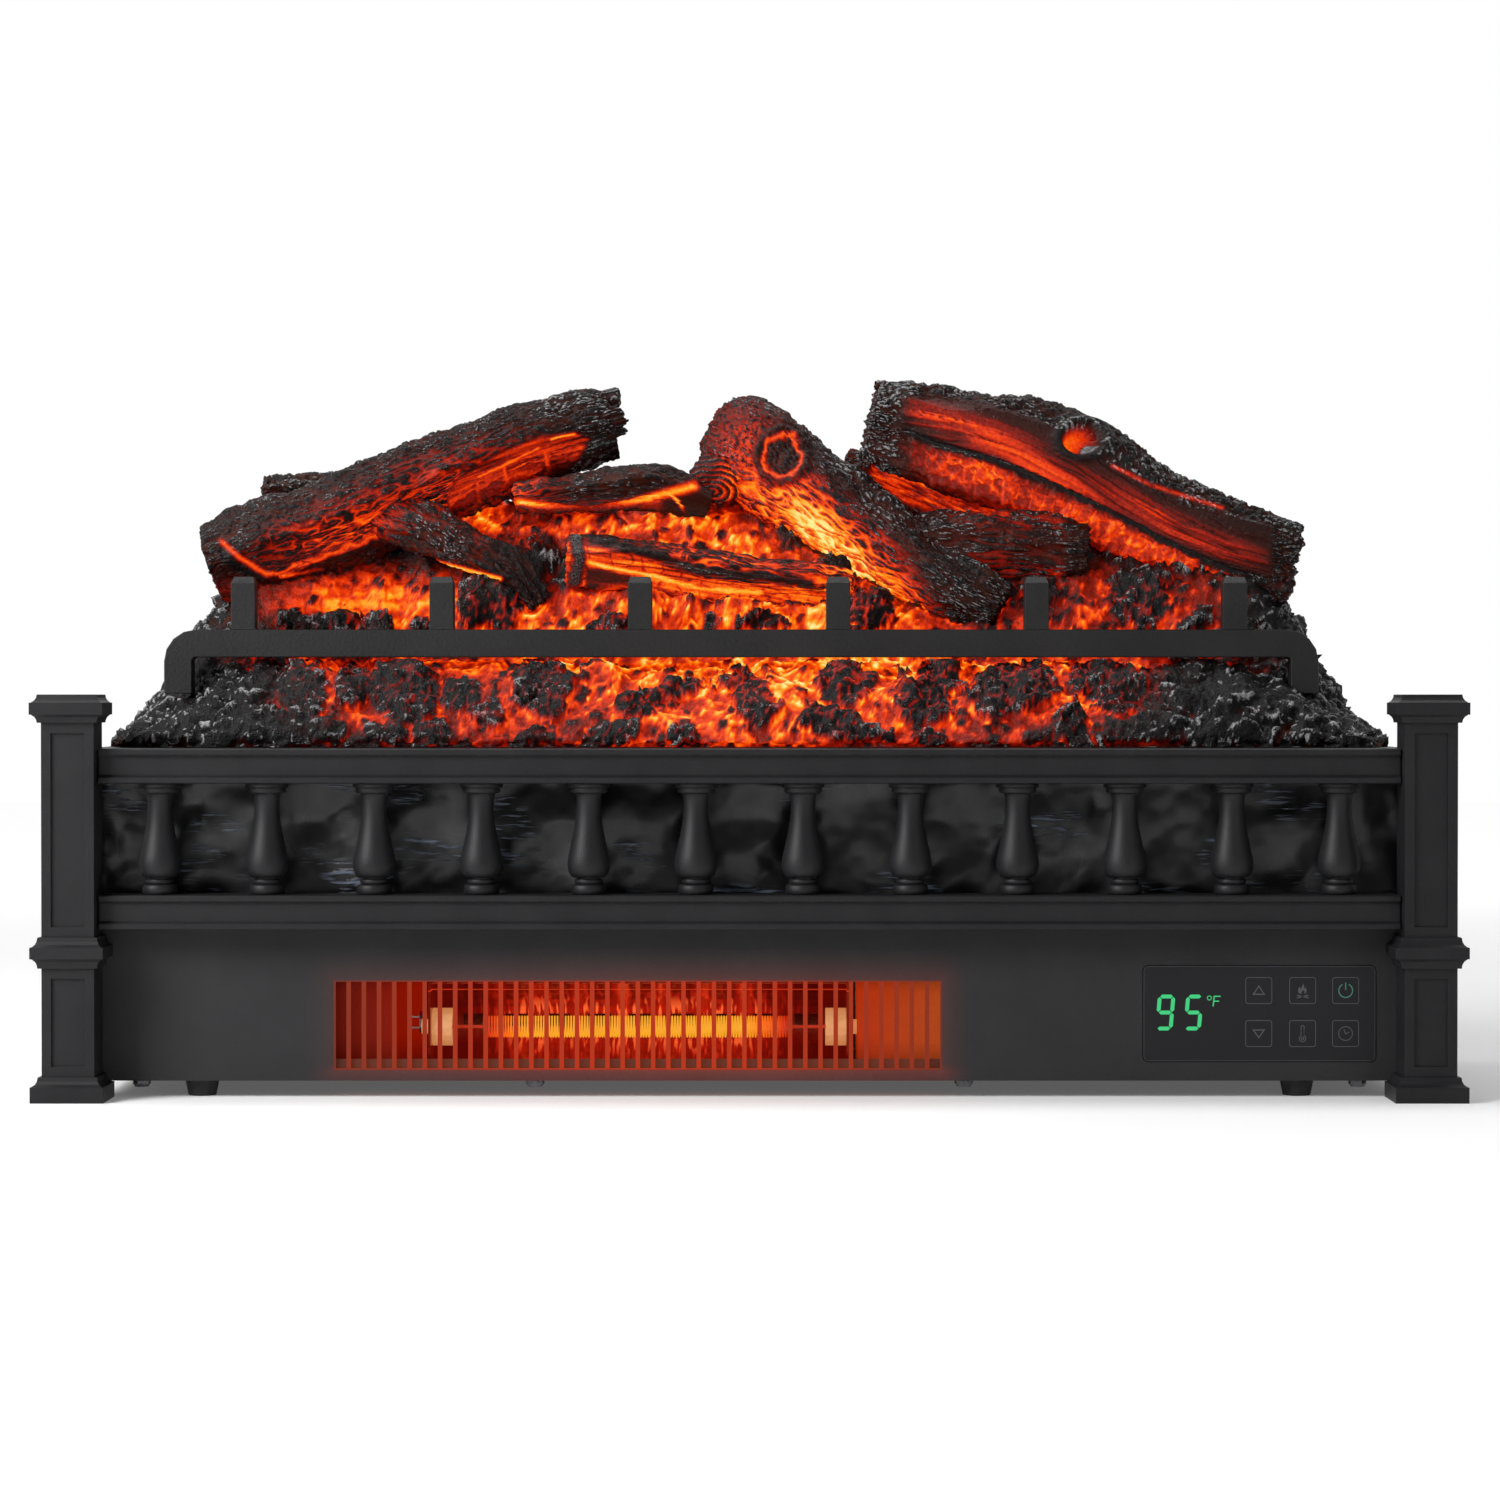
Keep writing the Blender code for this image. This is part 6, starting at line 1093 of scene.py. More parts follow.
LEFT_BARE = (
    (221, 541), (240, 556), (268, 575), (281, 573), (335, 552), (381, 534), (396, 551), (450, 562),
    (500, 577), (505, 600), (500, 640), (215, 640), (214, 590),
)
LEFT_LIP = (
    (221, 541), (240, 558), (268, 575), (281, 573), (335, 552), (381, 534), (396, 551), (450, 563),
    (500, 577),
)
LIMB_LIP = ((396, 553), (450, 566), (500, 579))
LEFT_WARMTH = (
    (370, 590, 60, 22, -6, 0.80), (310, 592, 50, 20, -8, 0.58), (415, 600, 26, 26, 0, 0.70),
    (250, 600, 50, 20, 0, 0.35), (460, 600, 30, 20, 0, 0.40),
)
LEFT_THIN_LINE = ((281, 577), (330, 568), (372, 560))
LEFT_LOWER_LINE = ((285, 614), (340, 606), (414, 600))
LEFT_CAVITY = (
    (448, 500), (455, 482), (500, 452), (540, 436), (575, 432), (590, 440), (578, 462), (556, 478),
    (500, 505), (470, 540), (455, 535),
)
LEFT_CAVITY_LINES = (
    (((552, 440), (575, 433)), 2.0, 0.80), (((539, 448), (505, 466), (480, 478)), 2.2, 0.62),
    (((546, 452), (550, 476)), 3.0, 0.50), (((505, 470), (510, 498)), 3.0, 0.50),
    (((489, 498), (520, 486), (556, 474)), 3.5, 0.66), (((478, 486), (482, 505)), 2.0, 0.50),
)


def blocks(timber, pitch_along, pitch_round, seed):
    """Charred blocks: rows of oblong tiles with cracks between, 0 in the cracks and 1 on the tiles."""
    along = timber.run / pitch_along * np.ones(timber.size.shape)
    turn = timber.angle * timber.radius / pitch_round * np.ones(timber.size.shape)
    turn = turn + 0.35 * lattice(timber.round / 0.013, seed)
    course = np.floor(turn)
    shift = scatter(stack(course, 0, 0), seed) * 3.0
    along = along + shift + 0.5 * lattice(timber.round / 0.009, seed + 1)
    tile = np.floor(along)
    across, down = along - tile, turn - course
    edge = np.minimum(np.minimum(across, 1 - across) * pitch_along, np.minimum(down, 1 - down) * pitch_round)
    number = scatter(stack(tile, course, 0), seed + 3)
    return ease(edge, 0.0, 0.0011), number


left = Timber(LEFT_ROWS, LEFT_SPLIT, 14, 280, 11)
fingers = ease(np.sin(left.angle - 0.35), 0.15, 0.8) + 0.85 * ease(np.cos(left.angle + 0.15), 0.55, 0.9)
left.rough_ends(0.0022, 0.006, 31)
left.push = left.push * (1 - left.share) ** 0.3 + (left.side > 0) * (
    (fingers * 0.018 - 0.010) * left.share ** 0.5
    + 0.004 * layers(stack(left.angle * 3, 0.0, left.share * 2), 33)
)
bark(left, 0.0033, 0.015, 41, 0.0018, 1.0)
bare = left.area(LEFT_BARE, -0.6, 1.2) * left.facing
tiles, tile_number = blocks(left, 0.0105, 0.0085, 51)
left.lift += bare * (-0.0018 + 0.0016 * tiles * (0.5 + tile_number)) - bare * 0.0017 * (left.ridge - 0.6)
left.refresh()
wobble = 3.2 * layers(left.points / 0.009, 60, 2)
lip_gap = line_gap(left.x + wobble, left.y + wobble * 0.8, LEFT_LIP)
band_dark = bare * (1 - ease(lip_gap, 10, 17))
warm = spread(left.x, left.y, LEFT_WARMTH)
tile_heat = warm * (0.78 + 0.30 * tile_number - 0.34 * (1 - tiles)) * (1 - 0.88 * band_dark)
thin = left.streak(LEFT_THIN_LINE, 2.2, wobble=wobble * 0.5) * 0.85
low = left.streak(LEFT_LOWER_LINE, 5.0) * 0.92
rim = np.exp(-(lip_gap / 3.4) ** 2) * (0.54 + 0.26 * ease(left.x, 380, 420) + 0.010 * wobble) * left.facing
cavity = left.area(LEFT_CAVITY, -3, 3) * left.facing
planks = layers(left.round / (0.03, 0.0035, 0.0035), 61, 2)
cavity_heat = 0.30 + 0.22 * planks
for path, width, heat in LEFT_CAVITY_LINES:
    cavity_heat = np.maximum(cavity_heat, heat * left.streak(path, width, wobble=wobble * 0.6))
left.lift += cavity * (-0.0016 + 0.0012 * planks)
charred_end = ease(left.x, 520, 575) * (1 - cavity)
bare_heat = bare * np.maximum(tile_heat, np.maximum(thin, low))
left.heat = np.maximum(left.heat * (1 - bare) * (1 - charred_end * 0.9), bare_heat)
left.heat = np.maximum(left.heat * (1 - cavity), cavity * cavity_heat)
left.heat = np.maximum(left.heat, rim)
left.ridge = np.where(bare > 0.5, 0.25 + 0.5 * band_dark, left.ridge)
left.ridge = left.ridge * (1 - cavity * 0.6)
left.ash = left.ash * (1 - bare) * (1 - cavity) * (0.75 + 0.45 * charred_end)
left_end = (left.side < 0) * (1 - left.share ** 3)
end_at = stack(left.round[..., 0] * 30, left.points[..., 1] * 900, left.points[..., 2] * 90)
streaks = layers(end_at, 71, 2)
left.ash = np.maximum(left.ash * (1 - left_end), left_end * ease(streaks, -0.1, 0.7))
left.heat = left.heat * (1 - 0.8 * left_end)

limb = Timber(LEFT_LIMB_ROWS, FULL_ROUND, 6, 150, 12)
limb.rough_ends(0.002, 0.005, 32)
bark(limb, 0.0026, 0.010, 42, 0.0014, 0.75)
tip = ease(limb.x, 478, 500)
limb_rim = limb.streak(LIMB_LIP, 2.8) * 0.86
limb.heat = np.maximum(limb.heat * (1 - 0.95 * tip), limb_rim * limb.facing)
limb.ash = limb.ash * (1 - 0.4 * tip)

stub = Timber(LEFT_STUB_ROWS, FULL_ROUND, 3, 130, 13)
stub.rough_ends(0.002, 0.005, 33)
bark(stub, 0.0036, 0.014, 43, 0.0016, 0.35)
stub.ash = np.maximum(stub.ash, 0.55 * (stub.side < 0))
finish_log("left_log", (left, limb, stub), "log_left")

# Centre log: a straight log, cast in one with a stub, that leans across the middle. It has an eye of rings
# where a branch was, ring edges on its stub, fibres that glow towards its foot, and a charred lower end.
CENTRE_ROWS = (
    (-0.026, 0.55, 0.874, 0.84), (-0.004, 0.51, 0.831, 1.0), (0.035, 0.45, 0.732, 1.0),
    (0.096, 0.36, 0.591, 0.87), (0.156, 0.27, 0.466, 0.74), (0.215, 0.20, 0.369, 0.60),
)
CENTRE_STUB_ROWS = ((-0.042, 0.34, 0.70, 0.42), (-0.030, 0.37, 0.73, 0.47), (-0.010, 0.44, 0.77, 0.50))
EYE = (782, 456)
EYE_RINGS = 23.0
STUB_RINGS = (712, 492)
CENTRE_DARK_SIDE = (
    (830, 410), (880, 470), (930, 525), (1020, 600), (1020, 640), (960, 640), (930, 590), (880, 530),
    (830, 480), (800, 430),
)
CENTRE_FOOT = ((952, 560), (1030, 590), (1030, 640), (968, 640), (958, 600))
CENTRE_WARMTH = (
    (742, 440, 45, 45, 0, 0.25), (800, 505, 60, 34, 45, 0.50), (850, 560, 80, 26, 45, 0.72),
    (905, 612, 46, 22, 40, 0.72), (742, 500, 34, 34, 0, 0.45), (900, 545, 60, 24, 45, 0.30),
    (800, 545, 50, 30, 30, 0.50),
)

centre = Timber(CENTRE_ROWS, FULL_ROUND, 12, 280, 21)
centre.rough_ends(0.0030, 0.005, 34)
centre.push = centre.push * centre.share ** 0.3
eye_gap = np.hypot(centre.x - EYE[0], (centre.y - EYE[1]) * 0.92)
bark(centre, 0.0028, 0.018, 44, 0.0017, 1.0)
eye = (1 - ease(eye_gap, EYE_RINGS * 0.95, EYE_RINGS * 1.45)) * centre.facing
rough = 2.8 * layers(centre.points / 0.006, 81, 2)
rings = 0.5 + 0.5 * np.cos((eye_gap + 2.2 * rough) / 6.6 * 2 * math.pi)
bowl = 1 - ease(eye_gap, EYE_RINGS * 0.60, EYE_RINGS * 0.95)
collar = np.exp(-((eye_gap - EYE_RINGS * 1.12) / 5.0) ** 2)
centre.lift += eye * (0.0026 * collar + 0.0012 * rings * bowl) - 0.0016 * bowl * centre.facing
groove = np.exp(-((eye_gap + rough - EYE_RINGS * 0.82) / 2.4) ** 2) * centre.facing
centre.refresh()
granular = ease(layers(centre.points / 0.0022, 82, 2), -0.25, 0.35)
top_end = 1 - ease(centre.y + (centre.x - 740) * 0.3, 440, 500)
centre.ridge = over(centre.ridge, top_end, np.minimum(centre.ridge + 0.25, granular))
centre.ridge = over(centre.ridge, eye, rings)
right_edge = centre.area(CENTRE_DARK_SIDE, -12, 14) * centre.facing
foot = centre.area(CENTRE_FOOT, -8, 8)
warmth = spread(centre.x, centre.y, CENTRE_WARMTH)
warmth = warmth * (1 - 0.72 * right_edge) * (1 - 0.97 * foot) * (0.25 + 0.75 * centre.facing)
glow = warmth * (1 - centre.ridge) ** 0.8 * 1.30 + np.clip(warmth - 0.46, 0, 1) * centre.ridge * 1.30
centre.heat = np.clip(np.maximum(glow * (1 - eye * 0.75), groove * 0.56), 0, 1)
centre.ash = centre.ash * (1.1 - warmth * 0.8)
centre.ash = np.clip(over(centre.ash, eye, 0.55 * rings * centre.crest), 0, 1)

knob = Timber(CENTRE_STUB_ROWS, FULL_ROUND, 3, 150, 22)
knob.rough_ends(0.0012, 0.005, 35)
bark(knob, 0.004, 0.009, 45, 0.0010, 0.8)
crescent = np.hypot(knob.x - STUB_RINGS[0], (knob.y - STUB_RINGS[1]) * 1.5)
crescent = crescent + 3.0 * lattice(knob.points / 0.008, 83)
bands = 0.5 + 0.5 * np.cos(crescent / 7.5 * 2 * math.pi)
knob.lift += 0.0016 * bands * knob.facing
knob.ridge = np.clip(bands * 1.1, 0, 1)
knob_warmth = 0.20 + 0.50 * ease(knob.x, 705, 745)
knob.heat = np.clip(knob_warmth * (1 - knob.ridge) * 1.25, 0, 1) * (0.3 + 0.7 * knob.facing)
knob.ash = ease(bands, 0.75, 1.0) * 0.62
finish_log("centre_log", (centre, knob), "log_centre")

# Right log: the thickest casting, split along its front. A smooth band of glowing grain runs over a black
# crack and a strip of broken blocks. Bark stays on its back and ends, and a knot has left a hollow in it.
RIGHT_ROWS = (
    (0.106, 0.41, 0.895, 0.85), (0.192, 0.41, 0.826, 1.10), (0.277, 0.41, 0.759, 1.20),
    (0.351, 0.41, 0.626, 1.04), (0.413, 0.39, 0.537, 1.0), (0.471, 0.37, 0.504, 0.91),
)
RIGHT_SPLIT = (math.radians(-14), 0.58)
RIGHT_GRAIN = (
    (880, 392), (960, 405), (1020, 424), (1075, 452), (1120, 482), (1170, 510), (1225, 533), (1290, 552),
)
RIGHT_CRACK = (
    (900, 428), (936, 443), (1001, 462), (1071, 493), (1109, 510), (1160, 538), (1209, 562), (1275, 585),
)
RIGHT_BARK_EDGE = (
    (880, 398), (930, 395), (985, 402), (1040, 420), (1100, 458), (1150, 490), (1215, 515), (1290, 528),
)
RIGHT_RED_LINE = ((1112, 466), (1150, 485), (1190, 498), (1222, 508))
RIGHT_WARMTH = (
    (1035, 470, 90, 20, 28, 0.50), (960, 425, 70, 16, 15, 0.34), (1160, 520, 80, 16, 28, 0.40),
    (1240, 548, 40, 12, 20, 0.22), (930, 412, 40, 10, 10, 0.20),
)
RIGHT_LOWER_WARMTH = (
    (960, 470, 60, 22, 20, 0.46), (1050, 508, 70, 18, 20, 0.42), (1140, 545, 70, 26, 25, 0.50),
    (1220, 588, 50, 24, 25, 0.42), (980, 462, 34, 10, 24, 0.40),
)
HOLLOW = (1082, 440)
HOLLOW_PLUG = (1092, 450)

right = Timber(RIGHT_ROWS, RIGHT_SPLIT, 15, 290, 31)
right.rough_ends(0.0045, 0.008, 36)
right.push = right.push * right.share ** 0.3
bark(right, 0.0042, 0.013, 46, 0.0024, 0.7)
wander = 3.0 * lattice(right.points / 0.03, 91)
grain_down, crack_down, edge_down = [
    np.interp(right.x, *zip(*line)) for line in (RIGHT_GRAIN, RIGHT_CRACK, RIGHT_BARK_EDGE)
]
open_face = ease(right.y + wander * 0.6 - edge_down, -2, 3) * right.facing
open_face = open_face * ease(right.x, 893, 910) * (1 - ease(right.x, 1266, 1276))
upper = open_face * (1 - ease(right.y - crack_down, -3, 1))
lower = open_face * ease(right.y - crack_down, 3, 8)
crack = np.exp(-((right.y + wander * 0.5 - crack_down - 1) / 5.0) ** 2) * open_face
below_grain = right.y - grain_down
strips = layers(stack(right.x / 150.0, below_grain / 6.5, 0.0), 92, 2)
hair = layers(stack(right.x / 110.0, below_grain / 2.0, 3.0), 93, 2)
stripes = ease(strips, -0.55, 0.25)
cuts = ease(np.abs(layers(stack(right.x / 230.0, below_grain / 8.0, 5.0), 99, 2)), 0.0, 0.12)
tiles, tile_number = blocks(right, 0.0085, 0.0095, 52)
bits = ease(layers(stack(right.x / 9.0, right.y / 6.0, 1.0), 94, 2), -0.1, 0.5)
upper_lift = -0.0008 + 0.0010 * stripes + 0.0003 * hair + 0.0006 * cuts
lower_lift = -0.0024 + 0.0026 * tiles * tile_number + 0.0014 * bits
right.lift = over(right.lift, open_face, upper * upper_lift - crack * 0.0026 + lower * lower_lift)
right.refresh()
warmth = spread(right.x, right.y, RIGHT_WARMTH)
upper_heat = warmth * (0.62 + 0.45 * stripes + 0.16 * hair) * (0.45 + 0.55 * cuts)
lower_warmth = spread(right.x, right.y, RIGHT_LOWER_WARMTH)
lower_heat = lower_warmth * (0.55 + 0.35 * (1 - tiles) + 0.40 * bits + 0.25 * tile_number)
face_heat = np.clip(upper * upper_heat + lower * lower_heat, 0, 1) * (1 - 0.92 * crack)
red_line = right.streak(RIGHT_RED_LINE, 2.4) * 0.42 * right.facing
right.heat = np.maximum(right.heat * (1 - open_face) + face_heat, red_line)
right.ridge = over(right.ridge, open_face, 0.35 * upper + crack * 0.9)
face_ash = crack * ease(hair, 0.1, 0.6) * 0.85 + upper * ease(-strips, 0.35, 0.7) * 0.35
right.ash = right.ash * (1 - open_face) + face_ash
hollow_gap = np.hypot(right.x - HOLLOW[0], (right.y - HOLLOW[1]) * 1.35)
hole = (1 - ease(hollow_gap, 15, 22)) * right.facing
rim = np.exp(-((hollow_gap - 25) / 6.0) ** 2) * right.facing
plug = 1 - ease(np.hypot(right.x - HOLLOW_PLUG[0], (right.y - HOLLOW_PLUG[1]) * 1.3), 8, 14)
right.lift += rim * 0.0026 - hole * 0.0065 * (1 - 0.6 * plug)
hole_heat = 0.55 * (1 - plug) * ease(right.x + (right.y - 440) * 0.4, 1118, 1066)
right.heat = right.heat * (1 - hole) * (1 - rim * 0.9) + hole * np.clip(hole_heat, 0, 1)
right.ridge = right.ridge * (1 - hole) + rim * 0.5 + hole * plug * 0.8
right.ash = right.ash * (1 - hole) + rim * 0.15 + hole * plug * 0.9
head = (1 - ease(right.x, 893, 915)) * right.facing
right.ash = np.clip(right.ash + (head * 0.35 + 0.25 * (right.side > 0)) * right.crest, 0, 1)
right.heat = right.heat * (1 - 0.85 * (right.side > 0)) * (1 - 0.8 * head)
finish_log("right_log", (right,), "log_right")

# Short logs: a charred round in front of the right log, sawn off at its right end, and a second one behind,
# with its front torn open. Both are cast and painted as the long ones are.
SHORT_ROWS = ((0.139, 0.35, 0.55, 0.65), (0.208, 0.34, 0.547, 0.71), (0.29, 0.34, 0.528, 0.69))
BACK_ROWS = ((0.081, 0.54, 0.768, 0.46), (0.149, 0.54, 0.684, 0.55), (0.228, 0.54, 0.582, 0.55))
BACK_TEAR = ((873, 458), (930, 462), (985, 485), (1040, 520), (1000, 530), (900, 505), (868, 480))

short = Timber(SHORT_ROWS, FULL_ROUND, 6, 200, 41)
short.rough_ends(0.0018, 0.006, 37)
bark(short, 0.0036, 0.026, 47, 0.0018, 0.9)
sag = short.y + 0.0016 * (short.x - 1000) ** 2
sweep_lines = layers(stack(short.x / 70.0, sag / 7.0, 2.0), 95, 2)
short.ridge = np.minimum(short.ridge, ease(sweep_lines, -0.45, 0.30)) * 0.8 + 0.2 * short.ridge
cut_end = ease(short.x, 1060, 1072) * short.facing
short.heat = short.heat * (1 - cut_end * 0.9) * (1 - 0.9 * (short.side > 0))
finish_log("short_log", (short,), "log_short")

back = Timber(BACK_ROWS, FULL_ROUND, 6, 180, 42)
back.rough_ends(0.0015, 0.006, 38)
bark(back, 0.0034, 0.012, 48, 0.0018, 1.0)
torn = back.area(BACK_TEAR, -3, 4) * back.facing
shreds = layers(stack(back.x / 26.0, (back.y - 0.4 * back.x) / 6.0, 2.0), 96, 3)
back.lift += torn * (-0.0050 + 0.0016 * shreds)
back.heat = over(back.heat, torn, np.clip(0.34 + 0.34 * shreds, 0.05, 0.8))
back.ridge = back.ridge * (1 - torn * 0.7)
back.ash = np.clip(back.ash * (1 - torn) + 0.3 * (1 - ease(back.x, 850, 875)), 0, 1)
finish_log("back_log", (back,), "log_back")

# Upper billet: a split piece, cast in clearer resin, between the left and the centre log. Charred bark covers
# its top, and the lights shine through the split face below it most.
UPPER_ROWS = (
    (-0.202, 0.27, 0.671, 0.29), (-0.129, 0.26, 0.693, 0.46), (-0.077, 0.26, 0.698, 0.48),
    (-0.035, 0.27, 0.660, 0.35),
)
UPPER_SPLIT = (math.radians(-40), 0.45)
UPPER_EDGE = ((519, 499), (587, 508), (630, 500), (660, 491), (700, 480))
UPPER_BRIGHT = ((519, 503), (548, 509), (587, 514), (630, 505), (660, 496), (694, 486))
UPPER_CURL = ((664, 492), (676, 500), (685, 514), (691, 532))
UPPER_SHADE = ((520, 512), (590, 522), (655, 514))

billet = Timber(UPPER_ROWS, UPPER_SPLIT, 7, 170, 51)
billet.rough_ends(0.0016, 0.005, 39)
bark(billet, 0.0030, 0.014, 49, 0.0012, 1.0)
under = ease(billet.y - np.interp(billet.x, *zip(*UPPER_EDGE)), -1, 2) * billet.facing
grain = layers(stack(billet.x / 50.0, billet.y / 4.0, 4.0), 97, 2)
bright = billet.streak(UPPER_BRIGHT, 5.5) * (0.80 + 0.10 * grain)
curl = billet.streak(UPPER_CURL, 2.0) * 0.84
dark_end = ease(billet.x, 655, 668)
face_heat = (0.42 + 0.22 * grain) * (1 - billet.streak(UPPER_SHADE, 4.0)) * (1 - dark_end)
billet.lift = over(billet.lift, under, -0.0012)
billet.heat = billet.heat * (1 - under) * (1 - 0.7 * dark_end) + under * face_heat
billet.heat = np.maximum(billet.heat, np.maximum(bright, curl) * billet.facing)
billet.ridge = over(billet.ridge, under, 0.3)
billet.ash = billet.ash * (1 - under)
billet_resin = resin(
    "split_resin", (0.0105, 0.0085, 0.0080), (0.040, 0.007, 0.003), (0.24, 0.24, 0.245), 800.0, 0.0006)
finish_log("upper_billet", (billet,), "log_split_upper", "split_resin", billet_resin)

# Lower billet: a longer split piece in front of it, of the same cast resin. It has a charred upper edge, a
# black post of bark at its left end, and a panel of darker blocks.
LOWER_ROWS = (
    (-0.156, 0.18, 0.50, 0.58), (-0.094, 0.175, 0.489, 0.50), (-0.017, 0.18, 0.456, 0.50),
    (0.086, 0.20, 0.418, 0.46),
)
LOWER_SPLIT = (math.radians(-30), 0.50)
LOWER_EDGE = ((584, 540), (641, 556), (701, 577), (810, 590))
LOWER_TOP_EDGE = ((584, 534), (610, 543), (641, 551), (701, 571), (766, 578), (810, 584))
LOWER_BRIGHT = ((587, 561), (612, 569), (651, 577), (700, 590), (760, 594))
LOWER_POST = ((574, 530), (580, 560), (566, 616))
LOWER_PANEL = ((586, 568), (632, 576), (632, 597), (584, 597))

billet = Timber(LOWER_ROWS, LOWER_SPLIT, 8, 190, 52)
billet.rough_ends(0.0016, 0.005, 40)
bark(billet, 0.0030, 0.020, 50, 0.0012, 1.0)
grain = layers(stack(billet.x / 60.0, (billet.y - 0.2 * billet.x) / 4.0, 6.0), 98, 2)
below = ease(billet.y - np.interp(billet.x, *zip(*LOWER_EDGE)), 0, 3) * billet.facing
bright = billet.streak(LOWER_BRIGHT, 4.6) * (0.82 + 0.10 * grain)
dark_top = billet.streak(LOWER_TOP_EDGE, 5.0)
post = billet.streak(LOWER_POST, 7.0, 4) * billet.facing
panel = billet.area(LOWER_PANEL, -2, 3)
tiles, tile_number = blocks(billet, 0.0100, 0.0070, 53)
face_heat = (0.44 + 0.25 * grain - 0.25 * (1 - tiles) + 0.12 * tile_number) * (1 - 0.75 * panel)
billet.lift = over(billet.lift, below, -0.0010) + 0.0016 * post + 0.0008 * dark_top
billet.heat = np.maximum(over(billet.heat, below, face_heat), bright * billet.facing)
billet.heat = billet.heat * (1 - 0.93 * dark_top) * (1 - 0.9 * post)
billet.ridge = np.clip(over(billet.ridge, below, 0.3) + 0.6 * post + 0.5 * dark_top, 0, 1)
top_ash = 0.5 * dark_top * ease(grain, 0, 0.4)
billet.ash = np.clip(billet.ash * (1 - below) + 0.5 * post + top_ash, 0, 1)
finish_log("lower_billet", (billet,), "log_split_lower", "split_resin", billet_resin)

# Ember bed: one thin moulded shell over the deck, shaped as charcoal lumps in molten embers. The lumps are
# painted black and dry-brushed grey, with painted highlights on their crests. The rest is clear orange, and
# the lights on the deck shine through it.
BED_STEP = 0.00125
BED_WALL = 4
GRATE_BAR_LOW = 0.2370
HUMP_ACROSS = (484, 30)
HUMP_PIXEL = 0.000568
HUMP_DEEP = (0.037, 0.016)
HUMP_HEIGHT = 0.018
SHARD = (0.0175, 0.0115, 0.0100)
CHIP = (0.0080, 0.0054, 0.0048)
LUMP_REACH = 1.18
BLOCK_WIDTH, BLOCK_HEIGHT = 19.0, 13.0
LUMPS = (
    (150, 712, 26, 34, -50), (196, 676, 22, 30, -35), (205, 725, 34, 20, 0), (243, 690, 26, 22, 20),
    (290, 683, 34, 24, 25), (262, 727, 30, 15, 0), (312, 728, 32, 14, 5), (352, 686, 14, 16, 0),
    (404, 690, 34, 28, 25), (386, 732, 22, 11, 0), (432, 733, 18, 11, 0), (461, 697, 17, 18, 0),
    (489, 713, 16, 12, 0), (543, 689, 29, 24, 15), (535, 738, 10, 7, 0), (609, 733, 26, 12, -18),
    (662, 693, 43, 11, -18), (682, 735, 14, 8, 0), (757, 703, 19, 20, 0), (735, 680, 16, 9, 0),
    (846, 682, 26, 17, 10), (833, 719, 34, 14, 15), (872, 735, 20, 9, 0), (923, 700, 25, 18, 15),
    (942, 674, 21, 12, 10), (931, 739, 15, 7, 0), (1012, 688, 42, 22, -15), (1108, 684, 36, 20, 15),
    (1070, 723, 18, 16, 0), (1150, 726, 40, 14, 0), (1206, 690, 46, 25, 5), (1232, 730, 40, 14, 0),
    (1285, 700, 44, 20, 20), (1335, 684, 10, 10, 0), (1352, 728, 40, 12, 15), (331, 622, 27, 9, 0),
    (377, 622, 15, 11, 0), (292, 618, 14, 10, 0), (424, 624, 12, 8, 0), (491, 602, 30, 26, 20),
    (519, 575, 16, 26, 15), (613, 625, 22, 9, 0), (868, 606, 26, 20, 0), (1140, 594, 30, 27, -20),
    (1196, 620, 22, 9, -20), (1274, 610, 20, 24, 0), (1300, 625, 18, 16, 30), (190, 612, 18, 26, 0),
    (712, 624, 12, 7, 0), (760, 620, 26, 8, 0), (1180, 655, 14, 10, 0),
)
BED_HEAT = (
    (790, 690, 220, 70, 0, 0.80), (640, 695, 130, 55, 0, 0.50), (430, 700, 120, 60, 0, 0.56),
    (300, 690, 70, 50, 0, 0.36), (1090, 690, 100, 50, 0, 0.55), (950, 690, 110, 50, 0, 0.48),
    (370, 600, 100, 30, 0, 0.86), (620, 615, 200, 30, 0, 0.72), (830, 612, 130, 30, 0, 0.86),
    (1140, 605, 110, 40, 0, 0.62), (500, 600, 50, 30, 0, 0.50), (740, 662, 470, 11, 0, 0.55),
    (484, 516, 34, 22, 0, 0.80), (620, 528, 110, 24, 0, 0.78), (750, 552, 90, 34, 25, 0.84),
)
CHARRED_BLOCKS = ((262, 592), (285, 572), (380, 556), (455, 572), (500, 588), (508, 612), (262, 614))
BED_CLEAR = (
    CHARRED_BLOCKS,
    ((584, 588), (640, 596), (720, 600), (806, 598), (806, 628), (584, 626)),
    ((452, 498), (515, 494), (522, 536), (470, 548)),
    ((525, 505), (700, 500), (770, 560), (700, 575), (590, 560), (530, 540)),
    ((690, 500), (745, 510), (868, 600), (850, 612), (700, 600)),
    ((1090, 570), (1130, 560), (1225, 590), (1235, 612), (1175, 606), (1110, 622), (1085, 600)),
)


def past_edge(count):
    """How many steps each row lies past the lumps' own first or last row, out in the wall."""
    row = np.arange(count)
    return row - np.clip(row, BED_WALL, count - 1 - BED_WALL)


def split_faces(at, place, own):
    """Flat faces tilted at random, one to each cell: height from about -0.5 to 0.5."""
    slopes = stack((own * 7.13) % 1 - 0.5, (own * 13.7) % 1 - 0.5, (own * 29.3) % 1 - 0.5)
    return ((at - place) * slopes).sum(axis=-1)


